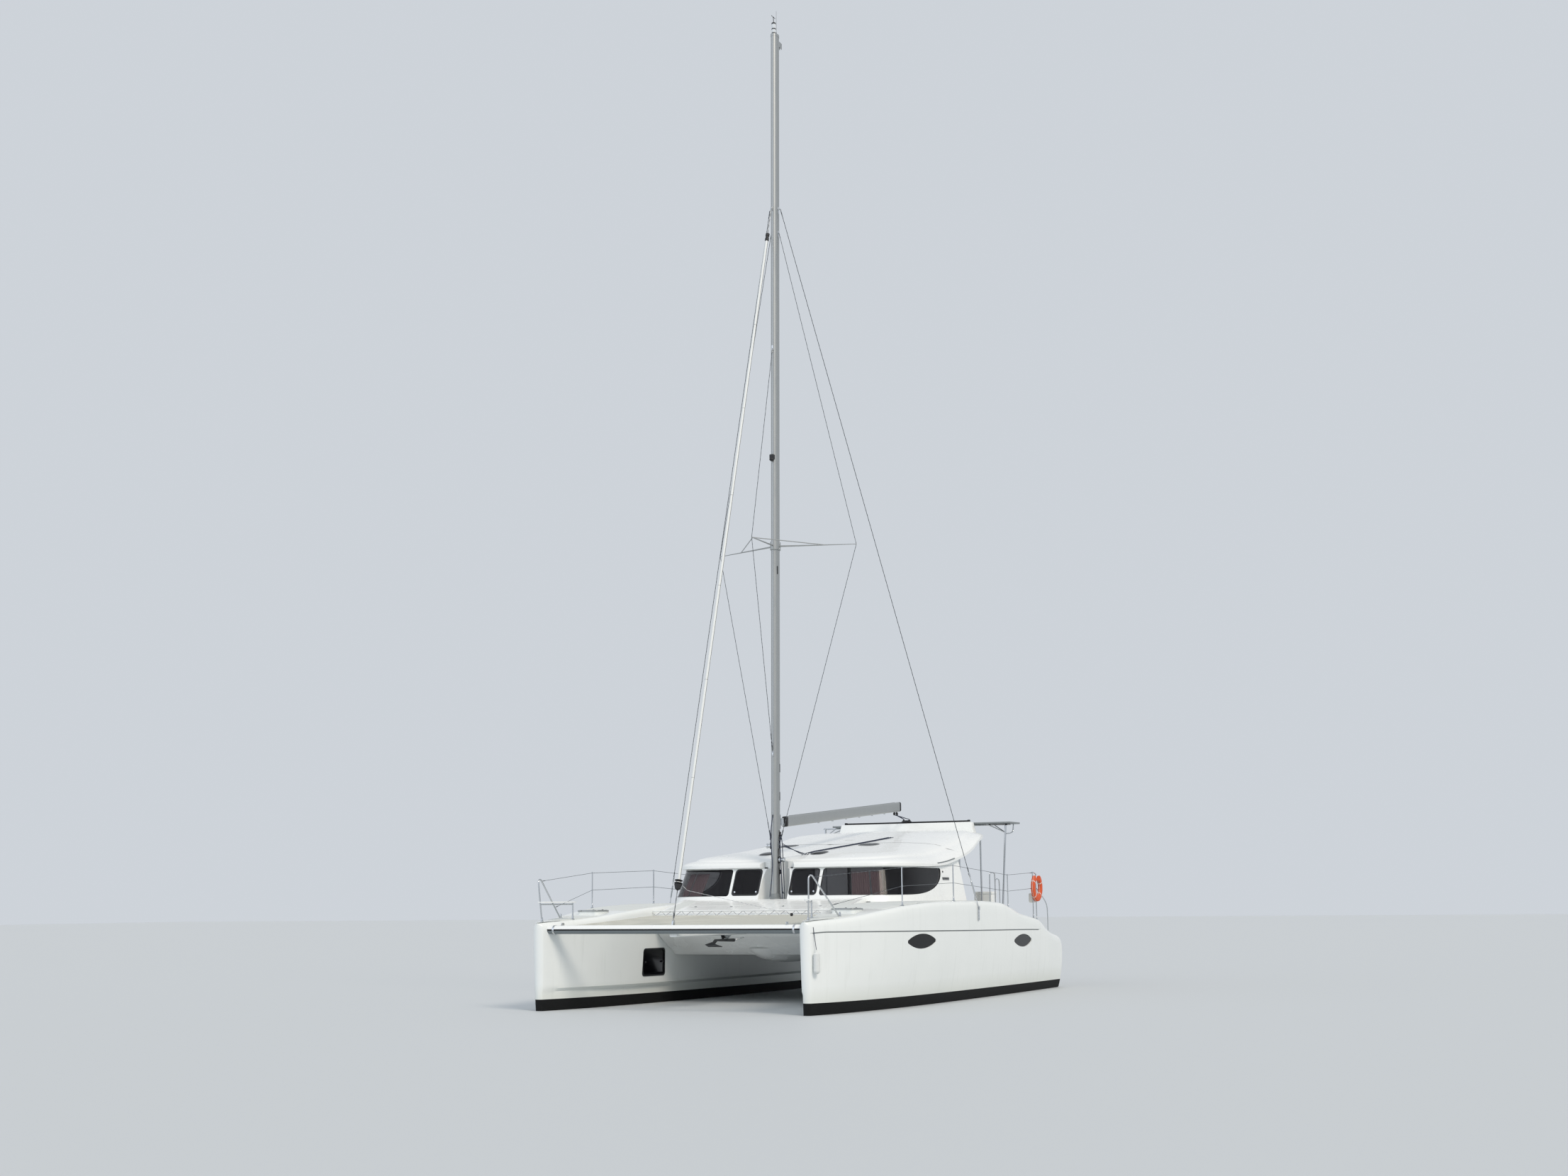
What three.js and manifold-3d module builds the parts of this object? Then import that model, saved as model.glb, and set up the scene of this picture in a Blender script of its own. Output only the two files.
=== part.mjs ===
// Cruising sailing catamaran, afloat. Millimetres, +X towards the bows, +Y to port, +Z up.
// The origin lies on the waterline, on the centreline, halfway between stems and transoms.
import * as THREE from "three";
import { mergeVertices } from "three/addons/utils/BufferGeometryUtils.js";
import Module from "manifold-3d";

const wasm = await Module();
wasm.setup();

// Driving dimensions
const LENGTH_OVERALL = 13100;
const BOW_X = LENGTH_OVERALL / 2;
const STERN_X = -LENGTH_OVERALL / 2;
const HULL_Y = 2900; // centreline of each hull
const HULL_HALF_BEAM = 850;
const DRAUGHT = 1300;
const SEAT_GAP = 0.3; // between pieces that touch
const RUN_GAP = 6; // between pieces that move past each other
const BEARING_GAP = 0.4; // between a pin and its bore
const STEM_RAKE = 70;
const FLOOR_Z = 1220; // saloon and cockpit sole
const WING_DECK_Z = 980; // underside of the bridge between the hulls
const FOREDECK = { backX: 1950, backZ: 2130, frontX: 3300, frontZ: 1840 };
const BULKHEAD = { x: -2000, thickness: 60 };
const MAST = {
  footX: 1800,
  footZ: 2130,
  topZ: 21650,
  rake: 0.01701, // run aft per unit of height
  halfChord: 130,
  halfWidth: 83,
};
const BOOM = { frontX: 1490, frontZ: 3760, backX: -5080, backZ: 4340, depth: 225, width: 130 };
const HOUNDS_Z = 17460;
const SPREADER_Z = 9740;
const SPREADER_TIP = { x: 1080, y: 1660 };
const STRUT_TIP_X = 2810;
const CROSSBEAM = { x: 6320, z: 1565, halfLength: 2740, halfHeight: 85, halfDepth: 95 };
const OVERHEAD = 5000; // higher than anything that a cutting block must reach
const ABOVE_DECK = 2200; // higher than the hulls' decks
const CLEAR_Y = 4000; // outside the hulls

// Finishes
const FINISHES = {
  gelcoat: { color: "#edf0ee", roughness: 0.3, metalness: 0 },
  antifouling: { color: "#15181a", roughness: 0.85, metalness: 0 },
  tintedAcrylic: { color: "#15151c", roughness: 0.1, metalness: 0 },
  stainless: { color: "#c9cccd", roughness: 0.25, metalness: 1 },
  aluminium: { color: "#b9bbb8", roughness: 0.45, metalness: 1 },
  darkPlastic: { color: "#1f2124", roughness: 0.6, metalness: 0 },
  mesh: { color: "#e4e4dc", roughness: 0.9, metalness: 0 },
  upholstery: { color: "#c8bfae", roughness: 0.9, metalness: 0 },
  teak: { color: "#8a5d38", roughness: 0.6, metalness: 0 },
  lifebuoyOrange: { color: "#d9552a", roughness: 0.7, metalness: 0 },
  bronze: { color: "#9a7440", roughness: 0.4, metalness: 1 },
  enginePaint: { color: "#7c8488", roughness: 0.5, metalness: 0.2 },
  photovoltaic: { color: "#12151f", roughness: 0.2, metalness: 0 },
};

const boat = new THREE.Group();
const SIDES = [
  { label: "port", sign: 1 },
  { label: "starboard", sign: -1 },
];

// Solids from geometry

function solid(geometry) {
  const bare = geometry.index ? geometry.toNonIndexed() : geometry.clone();
  bare.deleteAttribute("normal");
  bare.deleteAttribute("uv");
  const merged = mergeVertices(bare, 1e-3);
  const mesh = new wasm.Mesh({
    numProp: 3,
    vertProperties: merged.attributes.position.array,
    triVerts: new Uint32Array(merged.index.array),
  });
  return new wasm.Manifold(mesh);
}

function join(...bodies) {
  return bodies.reduce((sum, body) => sum.add(body));
}

function cut(body, ...tools) {
  return tools.reduce((rest, tool) => rest.subtract(tool), body);
}

function geometryOf(body) {
  const mesh = body.getMesh();
  const positions = new Float32Array(mesh.numVert * 3);
  for (let i = 0; i < mesh.numVert; i++) {
    const start = i * mesh.numProp;
    positions.set(mesh.vertProperties.subarray(start, start + 3), i * 3);
  }
  const geometry = new THREE.BufferGeometry();
  geometry.setAttribute("position", new THREE.BufferAttribute(positions, 3));
  geometry.setIndex(new THREE.BufferAttribute(mesh.triVerts, 1));
  geometry.computeVertexNormals();
  return geometry;
}

function moved(body, x, y, z) {
  return solid(geometryOf(body).translate(x, y, z));
}

function addPiece(name, body, finish) {
  const mesh = new THREE.Mesh(geometryOf(body), new THREE.MeshStandardMaterial(FINISHES[finish]));
  mesh.name = name;
  boat.add(mesh);
}

// Newell's normal of a closed ring, which tells the plane that its cap is drawn in.
function ringNormal(ring) {
  const normal = new THREE.Vector3();
  ring.forEach((p, i) => {
    const q = ring[(i + 1) % ring.length];
    normal.x += (p.y - q.y) * (p.z + q.z);
    normal.y += (p.z - q.z) * (p.x + q.x);
    normal.z += (p.x - q.x) * (p.y + q.y);
  });
  return normal;
}

function capTriangles(ring) {
  const n = ringNormal(ring);
  const size = [Math.abs(n.x), Math.abs(n.y), Math.abs(n.z)];
  const drop = size.indexOf(Math.max(...size));
  const flat = ring.map((p) => {
    if (drop === 0) return new THREE.Vector2(p.y, p.z);
    if (drop === 1) return new THREE.Vector2(p.z, p.x);
    return new THREE.Vector2(p.x, p.y);
  });
  const ringTurn = Math.sign(THREE.ShapeUtils.area(flat));
  return THREE.ShapeUtils.triangulateShape(flat, []).map((tri) => {
    const turn = Math.sign(THREE.ShapeUtils.area(tri.map((i) => flat[i])));
    return turn === ringTurn ? tri : [tri[0], tri[2], tri[1]];
  });
}

// A closed body through rings of equally many points, capped at the first and the last ring.
function loft(rings) {
  const count = rings[0].length;
  const positions = rings.flat().flatMap((p) => [p.x, p.y, p.z]);
  const triangles = [];
  for (let r = 0; r + 1 < rings.length; r++) {
    for (let i = 0; i < count; i++) {
      const a = r * count + i;
      const b = r * count + ((i + 1) % count);
      triangles.push([a, b, b + count], [a, b + count, a + count]);
    }
  }
  capTriangles(rings[0]).forEach(([a, b, c]) => triangles.push([a, c, b]));
  const last = (rings.length - 1) * count;
  capTriangles(rings.at(-1)).forEach((tri) => triangles.push(tri.map((i) => i + last)));
  const at = (i) => new THREE.Vector3().fromArray(positions, i * 3);
  const volume = triangles.reduce((sum, [a, b, c]) => sum + at(a).dot(at(b).cross(at(c))), 0);
  const facing = volume < 0 ? triangles.map(([a, b, c]) => [a, c, b]) : triangles;
  const geometry = new THREE.BufferGeometry();
  geometry.setAttribute("position", new THREE.Float32BufferAttribute(positions, 3));
  geometry.setIndex(facing.flat());
  return solid(geometry);
}

function block(x0, x1, y0, y1, z0, z1) {
  const box = new THREE.BoxGeometry(x1 - x0, y1 - y0, z1 - z0);
  return solid(box.translate((x0 + x1) / 2, (y0 + y1) / 2, (z0 + z1) / 2));
}

// A round rod between two points; a second radius makes it a taper.
function rod(from, to, radius, sides = 10, endRadius = radius) {
  const start = new THREE.Vector3(...from);
  const end = new THREE.Vector3(...to);
  const geometry = new THREE.CylinderGeometry(endRadius, radius, start.distanceTo(end), sides);
  const direction = end.clone().sub(start).normalize();
  geometry.applyQuaternion(
    new THREE.Quaternion().setFromUnitVectors(new THREE.Vector3(0, 1, 0), direction),
  );
  const middle = start.add(end).multiplyScalar(0.5);
  return solid(geometry.translate(middle.x, middle.y, middle.z));
}

// A tube along a smooth curve through the points.
function bentTube(points, radius, steps, sides = 8) {
  const curve = new THREE.CatmullRomCurve3(points.map((p) => new THREE.Vector3(...p)));
  const section = new THREE.Shape().absarc(0, 0, radius, 0, 2 * Math.PI);
  const shape = new THREE.Shape(section.getPoints(sides).slice(0, -1));
  return solid(new THREE.ExtrudeGeometry(shape, { steps, extrudePath: curve, bevelEnabled: false }));
}

// A straight-sided tube with mitred corners: each ring is the last one, slid along its stretch.
function jointedTube(points, radius, sides = 8) {
  const path = points.map((p) => new THREE.Vector3(...p));
  const headings = path.slice(1).map((p, i) => p.clone().sub(path[i]).normalize());
  const across = new THREE.Vector3(0.31, 0.87, 0.38).cross(headings[0]).normalize();
  const rings = [];
  for (let i = 0; i < path.length; i++) {
    const before = headings[Math.max(0, i - 1)];
    const after = headings[Math.min(i, headings.length - 1)];
    const facing = before.clone().add(after).normalize();
    const slide = (p) => {
      const off = p.clone().sub(path[i]).dot(facing) / before.dot(facing);
      return p.clone().addScaledVector(before, -off);
    };
    const first = Array.from({ length: sides }, (_, k) => {
      const turned = across.clone().applyAxisAngle(headings[0], (2 * Math.PI * k) / sides);
      return turned.multiplyScalar(radius).add(path[0]);
    });
    rings.push(i === 0 ? first : rings[i - 1].map(slide));
  }
  return loft(rings);
}

// Outlines drawn in the plane square to one axis and extruded along it.
const AXIS_BASES = {
  x: [new THREE.Vector3(0, 1, 0), new THREE.Vector3(0, 0, 1), new THREE.Vector3(1, 0, 0)],
  y: [new THREE.Vector3(0, 0, 1), new THREE.Vector3(1, 0, 0), new THREE.Vector3(0, 1, 0)],
  z: [new THREE.Vector3(1, 0, 0), new THREE.Vector3(0, 1, 0), new THREE.Vector3(0, 0, 1)],
};

// The shape's own two axes are y,z along x, z,x along y, and x,y along z.
function extruded(shape, axis, from, to, curveSegments = 6) {
  const options = { depth: to - from, bevelEnabled: false, curveSegments };
  const geometry = new THREE.ExtrudeGeometry(shape, options).translate(0, 0, from);
  return solid(geometry.applyMatrix4(new THREE.Matrix4().makeBasis(...AXIS_BASES[axis])));
}

function polygon(points) {
  return new THREE.Shape(points.map(([a, b]) => new THREE.Vector2(a, b)));
}

function roundedRectangle(a0, a1, b0, b1, radius) {
  const shape = new THREE.Shape();
  shape.moveTo(a0 + radius, b0);
  shape.lineTo(a1 - radius, b0);
  shape.absarc(a1 - radius, b0 + radius, radius, -Math.PI / 2, 0);
  shape.lineTo(a1, b1 - radius);
  shape.absarc(a1 - radius, b1 - radius, radius, 0, Math.PI / 2);
  shape.lineTo(a0 + radius, b1);
  shape.absarc(a0 + radius, b1 - radius, radius, Math.PI / 2, Math.PI);
  shape.lineTo(a0, b0 + radius);
  shape.absarc(a0 + radius, b0 + radius, radius, Math.PI, 1.5 * Math.PI);
  return shape;
}

// Value of a table's column at x, the rows running from high x to low x.
function along(rows, column, x) {
  const next = rows.findIndex((row) => row.x <= x);
  if (next <= 0) return rows.at(next)[column];
  const [high, low] = [rows[next - 1], rows[next]];
  return THREE.MathUtils.mapLinear(x, low.x, high.x, low[column], high[column]);
}

// Hulls

// Stations from the stem aft: deck edge height, half-breadths at deck and waterline, body depth.
const STATIONS = [
  { x: BOW_X, sheer: 1700, deck: 96, water: 70, keel: -150 },
  { x: 6400, sheer: 1712, deck: 150, water: 98, keel: -270 },
  { x: 6000, sheer: 1732, deck: 300, water: 190, keel: -380 },
  { x: 5200, sheer: 1790, deck: 515, water: 340, keel: -470 },
  { x: 4200, sheer: 1895, deck: 690, water: 470, keel: -530 },
  { x: 3200, sheer: 1985, deck: 785, water: 560, keel: -560 },
  { x: 1600, sheer: 2045, deck: 838, water: 630, keel: -580 },
  { x: -400, sheer: 2050, deck: HULL_HALF_BEAM, water: 655, keel: -570 },
  { x: -1900, sheer: 2010, deck: HULL_HALF_BEAM, water: 655, keel: -520 },
  { x: -2600, sheer: 1900, deck: 845, water: 650, keel: -490 },
  { x: -3200, sheer: 1775, deck: 835, water: 645, keel: -455 },
  { x: -4000, sheer: 1690, deck: 810, water: 635, keel: -390 },
  { x: -4700, sheer: 1610, deck: 780, water: 622, keel: -315 },
  { x: -5200, sheer: 1430, deck: 755, water: 612, keel: -250 },
  { x: -5800, sheer: 1290, deck: 715, water: 598, keel: -170 },
  { x: -6300, sheer: 1230, deck: 680, water: 585, keel: -95 },
  { x: STERN_X, sheer: 1200, deck: 665, water: 578, keel: -60 },
];
const KNUCKLE_Z = 430; // step in the inner topsides

// Half-section of the topsides: share of the flare from the waterline to the deck at each height.
const OUTER_SIDE = [
  { height: 0.13, flare: 0.36 },
  { height: 0.42, flare: 0.78 },
  { height: 0.72, flare: 0.97 },
];

function stationRing(station, side) {
  const { sheer, deck, water, keel } = station;
  const flared = (share) => water + share * (deck - water);
  const outer = OUTER_SIDE.map(({ height, flare }) => [flared(flare), height * sheer]);
  const inner = [
    [flared(0.1), KNUCKLE_Z - 60],
    [flared(0.62), KNUCKLE_Z],
    [flared(0.78), 0.45 * sheer],
    [flared(0.97), 0.75 * sheer],
  ];
  const bilge = [
    [0.45 * water, 0.94 * keel],
    [0.8 * water, 0.68 * keel],
    [0.95 * water, 0.32 * keel],
    [water, 0],
  ];
  const gunwale = [
    [deck, sheer - 170],
    [deck - 14, sheer - 70],
    [deck - 66, sheer - 10],
  ];
  const mirrored = (points) => points.map(([u, z]) => [-u, z]).reverse();
  const outline = [
    [0, keel],
    ...bilge,
    ...outer,
    ...gunwale,
    [0, sheer + 12],
    ...mirrored([...bilge, ...inner, ...gunwale]),
  ];
  return outline.map(([u, z]) => {
    const x = station.x + endShift(station, z);
    return new THREE.Vector3(x, side.sign * (HULL_Y + u), z);
  });
}

// The stem rakes aft towards the water, and the transom bulges aft at mid-height.
function endShift(station, z) {
  if (station.x === BOW_X) return (-STEM_RAKE * (station.sheer - z)) / station.sheer;
  if (station.x !== STERN_X) return 0;
  const fromBulge = z - 780;
  return fromBulge > 0 ? 0.0008 * fromBulge ** 2 : 0.0002 * fromBulge ** 2;
}

const hullForms = {};
for (const side of SIDES) {
  hullForms[side.label] = loft(STATIONS.map((station) => stationRing(station, side)));
}

function deckHeight(x) {
  return along(STATIONS, "sheer", x);
}

// Eye-shaped windows on the outer topsides, and square escape hatches on the inner ones
// Each window's centre on the hull's skin, and how its plane turns with the hull's plan and flare
const HULL_WINDOWS = [
  { label: "fore", x: 2710, y: 3682, z: 1270, halfLength: 675, halfHeight: 148, yaw: -2.6, tilt: -4 },
  { label: "aft", x: -3290, y: 3717, z: 1165, halfLength: 620, halfHeight: 142, yaw: 2.1, tilt: -4 },
];
const EYE = { blunt: 22, fullness: 0.42, steps: 10, cutReach: 200 };
const PANE = { back: -22, front: -8, margin: 3 };
// The escape hatch's recess is turned about its middle, to lie along the hull's inner side.
const ESCAPE_HATCH = {
  x: 3175, y: 2215, z: 852, halfLength: 435, halfHeight: 287, recess: 315, thickness: 24, yaw: 3.3,
};

// A pointed oval with blunt tips, extruded along the hull's outward normal.
function eyeBody(side, eye, margin, from, to) {
  const tip = eye.halfLength - margin;
  const blunt = EYE.blunt - margin;
  const bulge = (4 * (eye.halfHeight - margin) - blunt) / 3;
  const shoulder = EYE.fullness * tip;
  const shape = new THREE.Shape();
  shape.moveTo(-tip, -blunt);
  shape.bezierCurveTo(-shoulder, -bulge, shoulder, -bulge, tip, -blunt);
  shape.lineTo(tip, blunt);
  shape.bezierCurveTo(shoulder, bulge, -shoulder, bulge, -tip, blunt);
  const options = { depth: to - from, bevelEnabled: false, curveSegments: EYE.steps };
  const geometry = new THREE.ExtrudeGeometry(shape, options).translate(0, 0, from);
  const outward = new THREE.Matrix4().makeBasis(
    new THREE.Vector3(-side.sign, 0, 0),
    new THREE.Vector3(0, 0, 1),
    new THREE.Vector3(0, side.sign, 0),
  );
  geometry.applyMatrix4(outward);
  geometry.rotateX(THREE.MathUtils.degToRad(eye.tilt) * side.sign);
  geometry.rotateZ(THREE.MathUtils.degToRad(eye.yaw) * side.sign);
  return solid(geometry.translate(eye.x, side.sign * eye.y, eye.z));
}

function sideBlock(side, x0, x1, y0, y1, z0, z1) {
  const [low, high] = side.sign > 0 ? [y0, y1] : [-y1, -y0];
  return block(x0, x1, low, high, z0, z1);
}

// A block of the escape hatch's outline, between two depths from its recess's floor.
function hatchBlock(side, margin, inner, outer) {
  const { x, y, z, halfLength, halfHeight, yaw } = ESCAPE_HATCH;
  const long = halfLength - margin;
  const high = halfHeight - margin;
  const flat = sideBlock(side, -long, long, inner, outer, -high, high);
  return moved(flat.rotate([0, 0, side.sign * yaw]), x, side.sign * y, z);
}

// Engine wells with lidded hatches, boarding steps, rudder trunks and deck hatch wells
const WELL = { x0: -4600, x1: -3900, halfWidth: 265, floorZ: -50 };
const ENGINE = { x0: -4540, x1: -3960, halfWidth: 215, height: 600 };
const ENGINE_LID = { x0: -4640, x1: -3860, halfWidth: 305, thickness: 34, seatZ: 1632 };
const STEPS = [
  { x0: -5600, x1: -5150, z: 1130 },
  { x0: -5950, x1: -5600, z: 800 },
  { x0: STERN_X - 100, x1: -5950, z: 450 },
];
const STEP_Y = { inner: 2480, outer: 3380 };
const RUDDER = { stockX: -5480, stockRadius: 24, topZ: 60, stockFootZ: -535, trunkFootZ: -600 };
const DECK_HATCH = {
  x: 4500, y: 2860, lidHalf: 250, wellHalf: 210, lidThickness: 36, wellDepth: 300,
  coaming: 40, coamingWidth: 30, coamingDepth: 190,
};

for (const side of SIDES) {
  let hull = hullForms[side.label];
  for (const eye of HULL_WINDOWS) {
    hull = cut(hull, eyeBody(side, eye, 0, PANE.back, EYE.cutReach));
    const pane = eyeBody(side, eye, PANE.margin, PANE.back + SEAT_GAP, PANE.front);
    addPiece(`hull_window_${side.label}_${eye.label}`, pane, "tintedAcrylic");
  }
  hull = cut(hull, hatchBlock(side, 0, -ESCAPE_HATCH.recess, 0));
  const hatchPane = hatchBlock(side, PANE.margin, -ESCAPE_HATCH.thickness, -SEAT_GAP);
  addPiece(`escape_hatch_${side.label}`, hatchPane, "tintedAcrylic");

  const wellInner = HULL_Y - WELL.halfWidth;
  const wellOuter = HULL_Y + WELL.halfWidth;
  hull = cut(
    hull,
    sideBlock(side, WELL.x0, WELL.x1, wellInner, wellOuter, WELL.floorZ, ABOVE_DECK),
    sideBlock(
      side, ENGINE_LID.x0 - RUN_GAP, ENGINE_LID.x1 + RUN_GAP,
      HULL_Y - ENGINE_LID.halfWidth - RUN_GAP, HULL_Y + ENGINE_LID.halfWidth + RUN_GAP,
      ENGINE_LID.seatZ, ABOVE_DECK,
    ),
  );
  for (const step of STEPS) {
    const tread = sideBlock(side, step.x0, step.x1, STEP_Y.inner, STEP_Y.outer, step.z, ABOVE_DECK);
    hull = cut(hull, tread);
  }
  const trunk = rod(
    [RUDDER.stockX, side.sign * HULL_Y, RUDDER.trunkFootZ],
    [RUDDER.stockX, side.sign * HULL_Y, RUDDER.topZ + RUN_GAP],
    RUDDER.stockRadius + BEARING_GAP, 24,
  );
  hull = cut(hull, trunk);
  const coamingZ = deckHeight(DECK_HATCH.x) + DECK_HATCH.coaming;
  const squareOnDeck = (half, lowZ, highZ) => sideBlock(
    side, DECK_HATCH.x - half, DECK_HATCH.x + half, DECK_HATCH.y - half, DECK_HATCH.y + half,
    lowZ, highZ,
  );
  const coaming = squareOnDeck(
    DECK_HATCH.wellHalf + DECK_HATCH.coamingWidth, coamingZ - DECK_HATCH.coamingDepth, coamingZ,
  );
  const well = squareOnDeck(DECK_HATCH.wellHalf, coamingZ - DECK_HATCH.wellDepth, ABOVE_DECK);
  hull = cut(join(hull, coaming), well);
  addPiece(`hull_${side.label}`, hull, "gelcoat");

  const lid = squareOnDeck(
    DECK_HATCH.lidHalf, coamingZ + SEAT_GAP, coamingZ + DECK_HATCH.lidThickness,
  );
  addPiece(`deck_hatch_${side.label}`, lid, "tintedAcrylic");
  const engineLid = sideBlock(
    side, ENGINE_LID.x0, ENGINE_LID.x1,
    HULL_Y - ENGINE_LID.halfWidth, HULL_Y + ENGINE_LID.halfWidth,
    ENGINE_LID.seatZ + SEAT_GAP, ENGINE_LID.seatZ + ENGINE_LID.thickness,
  );
  addPiece(`engine_hatch_${side.label}`, engineLid, "gelcoat");
  const engine = sideBlock(
    side, ENGINE.x0, ENGINE.x1, HULL_Y - ENGINE.halfWidth, HULL_Y + ENGINE.halfWidth,
    WELL.floorZ + SEAT_GAP, WELL.floorZ + ENGINE.height,
  );
  addPiece(`engine_${side.label}`, engine, "enginePaint");
}

// Appendages under water

// A symmetric foil section in plan, thickest a third of the way back.
const FOIL_OUTLINE = [
  { back: 0, half: 0 },
  { back: 0.03, half: 0.45 },
  { back: 0.12, half: 0.82 },
  { back: 0.33, half: 1 },
  { back: 0.62, half: 0.72 },
  { back: 0.85, half: 0.32 },
  { back: 1, half: 0.05 },
];

function foilRing({ lead, chord, thick, z }, y) {
  const outer = FOIL_OUTLINE.map(({ back, half }) => [lead - back * chord, (half * thick) / 2]);
  const points = [...outer, ...outer.slice(1).reverse().map(([x, offset]) => [x, -offset])];
  return points.map(([x, offset]) => new THREE.Vector3(x, y + offset, z));
}

// Sections from the root down to the tip: leading edge, chord, thickness and height.
const KEEL_SECTIONS = [
  { lead: 1750, chord: 2700, thick: 300, z: -300 },
  { lead: 1600, chord: 2350, thick: 250, z: -900 },
  { lead: 1400, chord: 1950, thick: 210, z: -DRAUGHT + 60 },
  { lead: 1330, chord: 1810, thick: 150, z: -DRAUGHT },
];
const RUDDER_SECTIONS = [
  { lead: -5370, chord: 460, thick: 64, z: -285 },
  { lead: -5385, chord: 410, thick: 52, z: -760 },
  { lead: -5410, chord: 330, thick: 36, z: -1130 },
];
const LEG_SECTIONS = [
  { lead: -4020, chord: 410, thick: 120, z: -200 },
  { lead: -4080, chord: 290, thick: 90, z: -520 },
  { lead: -4080, chord: 290, thick: 90, z: -980 },
];
const SAILDRIVE = {
  shaftZ: -860, shaftRadius: 14, shaftEndX: -4700,
  podX: -4040, podEndX: -4480, podRadius: 68, tailRadius: 60, noseX: -3940, noseRadius: 26,
};
const PROPELLER = { x: -4620, hubRadius: 52, hubEndRadius: 42, hubLength: 110, blades: 3 };
// Blade sections from the hub out: distance from the shaft, width, thickness and twist in radians.
const BLADE_SECTIONS = [
  { reach: 30, width: 70, thickness: 16, pitch: 0.95 },
  { reach: 95, width: 118, thickness: 12, pitch: 0.72 },
  { reach: 165, width: 128, thickness: 9, pitch: 0.55 },
  { reach: 225, width: 60, thickness: 6, pitch: 0.45 },
];
const BLADE_SHORTENING = 0.6; // the blades fold slightly along the shaft

// One propeller blade: sections that twist from hub to tip, turned by its angle about the shaft.
function propellerBlade(y, angle) {
  const rings = BLADE_SECTIONS.map(({ reach, width, thickness, pitch }) => {
    const corners = [
      [-width / 2, 0],
      [0, -thickness / 2],
      [width / 2, 0],
      [0, thickness / 2],
    ];
    return corners.map(([across, deep]) => {
      const x = deep * Math.cos(pitch) - across * Math.sin(pitch) * BLADE_SHORTENING;
      const t = across * Math.cos(pitch) + deep * Math.sin(pitch);
      return new THREE.Vector3(x, t, reach)
        .applyAxisAngle(new THREE.Vector3(1, 0, 0), angle)
        .add(new THREE.Vector3(PROPELLER.x, y, SAILDRIVE.shaftZ));
    });
  });
  return loft(rings);
}

for (const side of SIDES) {
  const y = side.sign * HULL_Y;
  const seated = moved(hullForms[side.label], 0, 0, -SEAT_GAP);
  const foil = (sections) => loft(sections.map((section) => foilRing(section, y)));
  const onShaft = (x) => [x, y, SAILDRIVE.shaftZ];
  const keel = foil(KEEL_SECTIONS);
  addPiece(`keel_${side.label}`, cut(keel, seated), "antifouling");

  const stock = rod(
    [RUDDER.stockX, y, RUDDER.stockFootZ], [RUDDER.stockX, y, RUDDER.topZ],
    RUDDER.stockRadius, 24,
  );
  addPiece(`rudder_${side.label}`, join(foil(RUDDER_SECTIONS), stock), "antifouling");

  const { podX, podEndX, podRadius, tailRadius, noseX, noseRadius } = SAILDRIVE;
  const pod = rod(onShaft(podX), onShaft(podEndX), podRadius, 16, tailRadius);
  const nose = rod(onShaft(noseX), onShaft(podX - 1), noseRadius, 16, podRadius);
  const shaft = rod(onShaft(podEndX + 10), onShaft(SAILDRIVE.shaftEndX), SAILDRIVE.shaftRadius, 16);
  const drive = join(foil(LEG_SECTIONS), pod, nose, shaft);
  addPiece(`saildrive_${side.label}`, cut(drive, seated), "enginePaint");

  const hub = rod(
    onShaft(PROPELLER.x + PROPELLER.hubLength / 2), onShaft(PROPELLER.x - PROPELLER.hubLength / 2),
    PROPELLER.hubRadius, 18, PROPELLER.hubEndRadius,
  );
  const blades = [];
  for (let i = 0; i < PROPELLER.blades; i++) {
    blades.push(propellerBlade(y, (i * 2 * Math.PI) / PROPELLER.blades));
  }
  const bore = rod(
    onShaft(PROPELLER.x + PROPELLER.hubLength), onShaft(PROPELLER.x - PROPELLER.hubLength),
    SAILDRIVE.shaftRadius + BEARING_GAP, 16,
  );
  addPiece(`propeller_${side.label}`, cut(join(hub, ...blades), bore), "bronze");
}

// Bridge deck between the hulls: foredeck, sole of saloon and cockpit, aft beam and nacelle

const BRIDGE_HALF_WIDTH = 2110;
const bridgeProfile = [
  { x: FOREDECK.frontX, z: FOREDECK.frontZ },
  { x: FOREDECK.backX, z: FOREDECK.backZ },
  { x: 1420, z: FOREDECK.backZ },
  { x: 1420, z: FLOOR_Z },
  { x: -5640, z: FLOOR_Z },
  { x: -5640, z: 1600 },
  { x: -5960, z: 1600 },
  { x: -6000, z: 1080 },
  { x: -5700, z: WING_DECK_Z },
  { x: 2350, z: WING_DECK_Z },
  { x: 3050, z: 1380 },
  { x: FOREDECK.frontX, z: 1600 },
];
const NACELLE_STATIONS = [
  { x: 3060, half: 110, z: 1430 },
  { x: 2790, half: 270, z: 1180 },
  { x: 2400, half: 430, z: 960 },
  { x: 1900, half: 560, z: 850 },
  { x: 1200, half: 660, z: 805 },
  { x: -1600, half: 760, z: 830 },
  { x: -2600, half: 560, z: 970 },
];
// The nacelle's sides curve up to this height, inside the slab above it.
const NACELLE_SHOULDER = { z: 1500, power: 0.5 };

function nacelleRing({ x, half, z }) {
  const points = [];
  const steps = 12;
  for (let i = 0; i <= steps; i++) {
    const turn = (Math.PI * i) / steps;
    const y = -half * Math.cos(turn);
    const rise = (NACELLE_SHOULDER.z - z) * (1 - Math.sin(turn) ** NACELLE_SHOULDER.power);
    points.push(new THREE.Vector3(x, y, z + rise));
  }
  return points;
}

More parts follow.
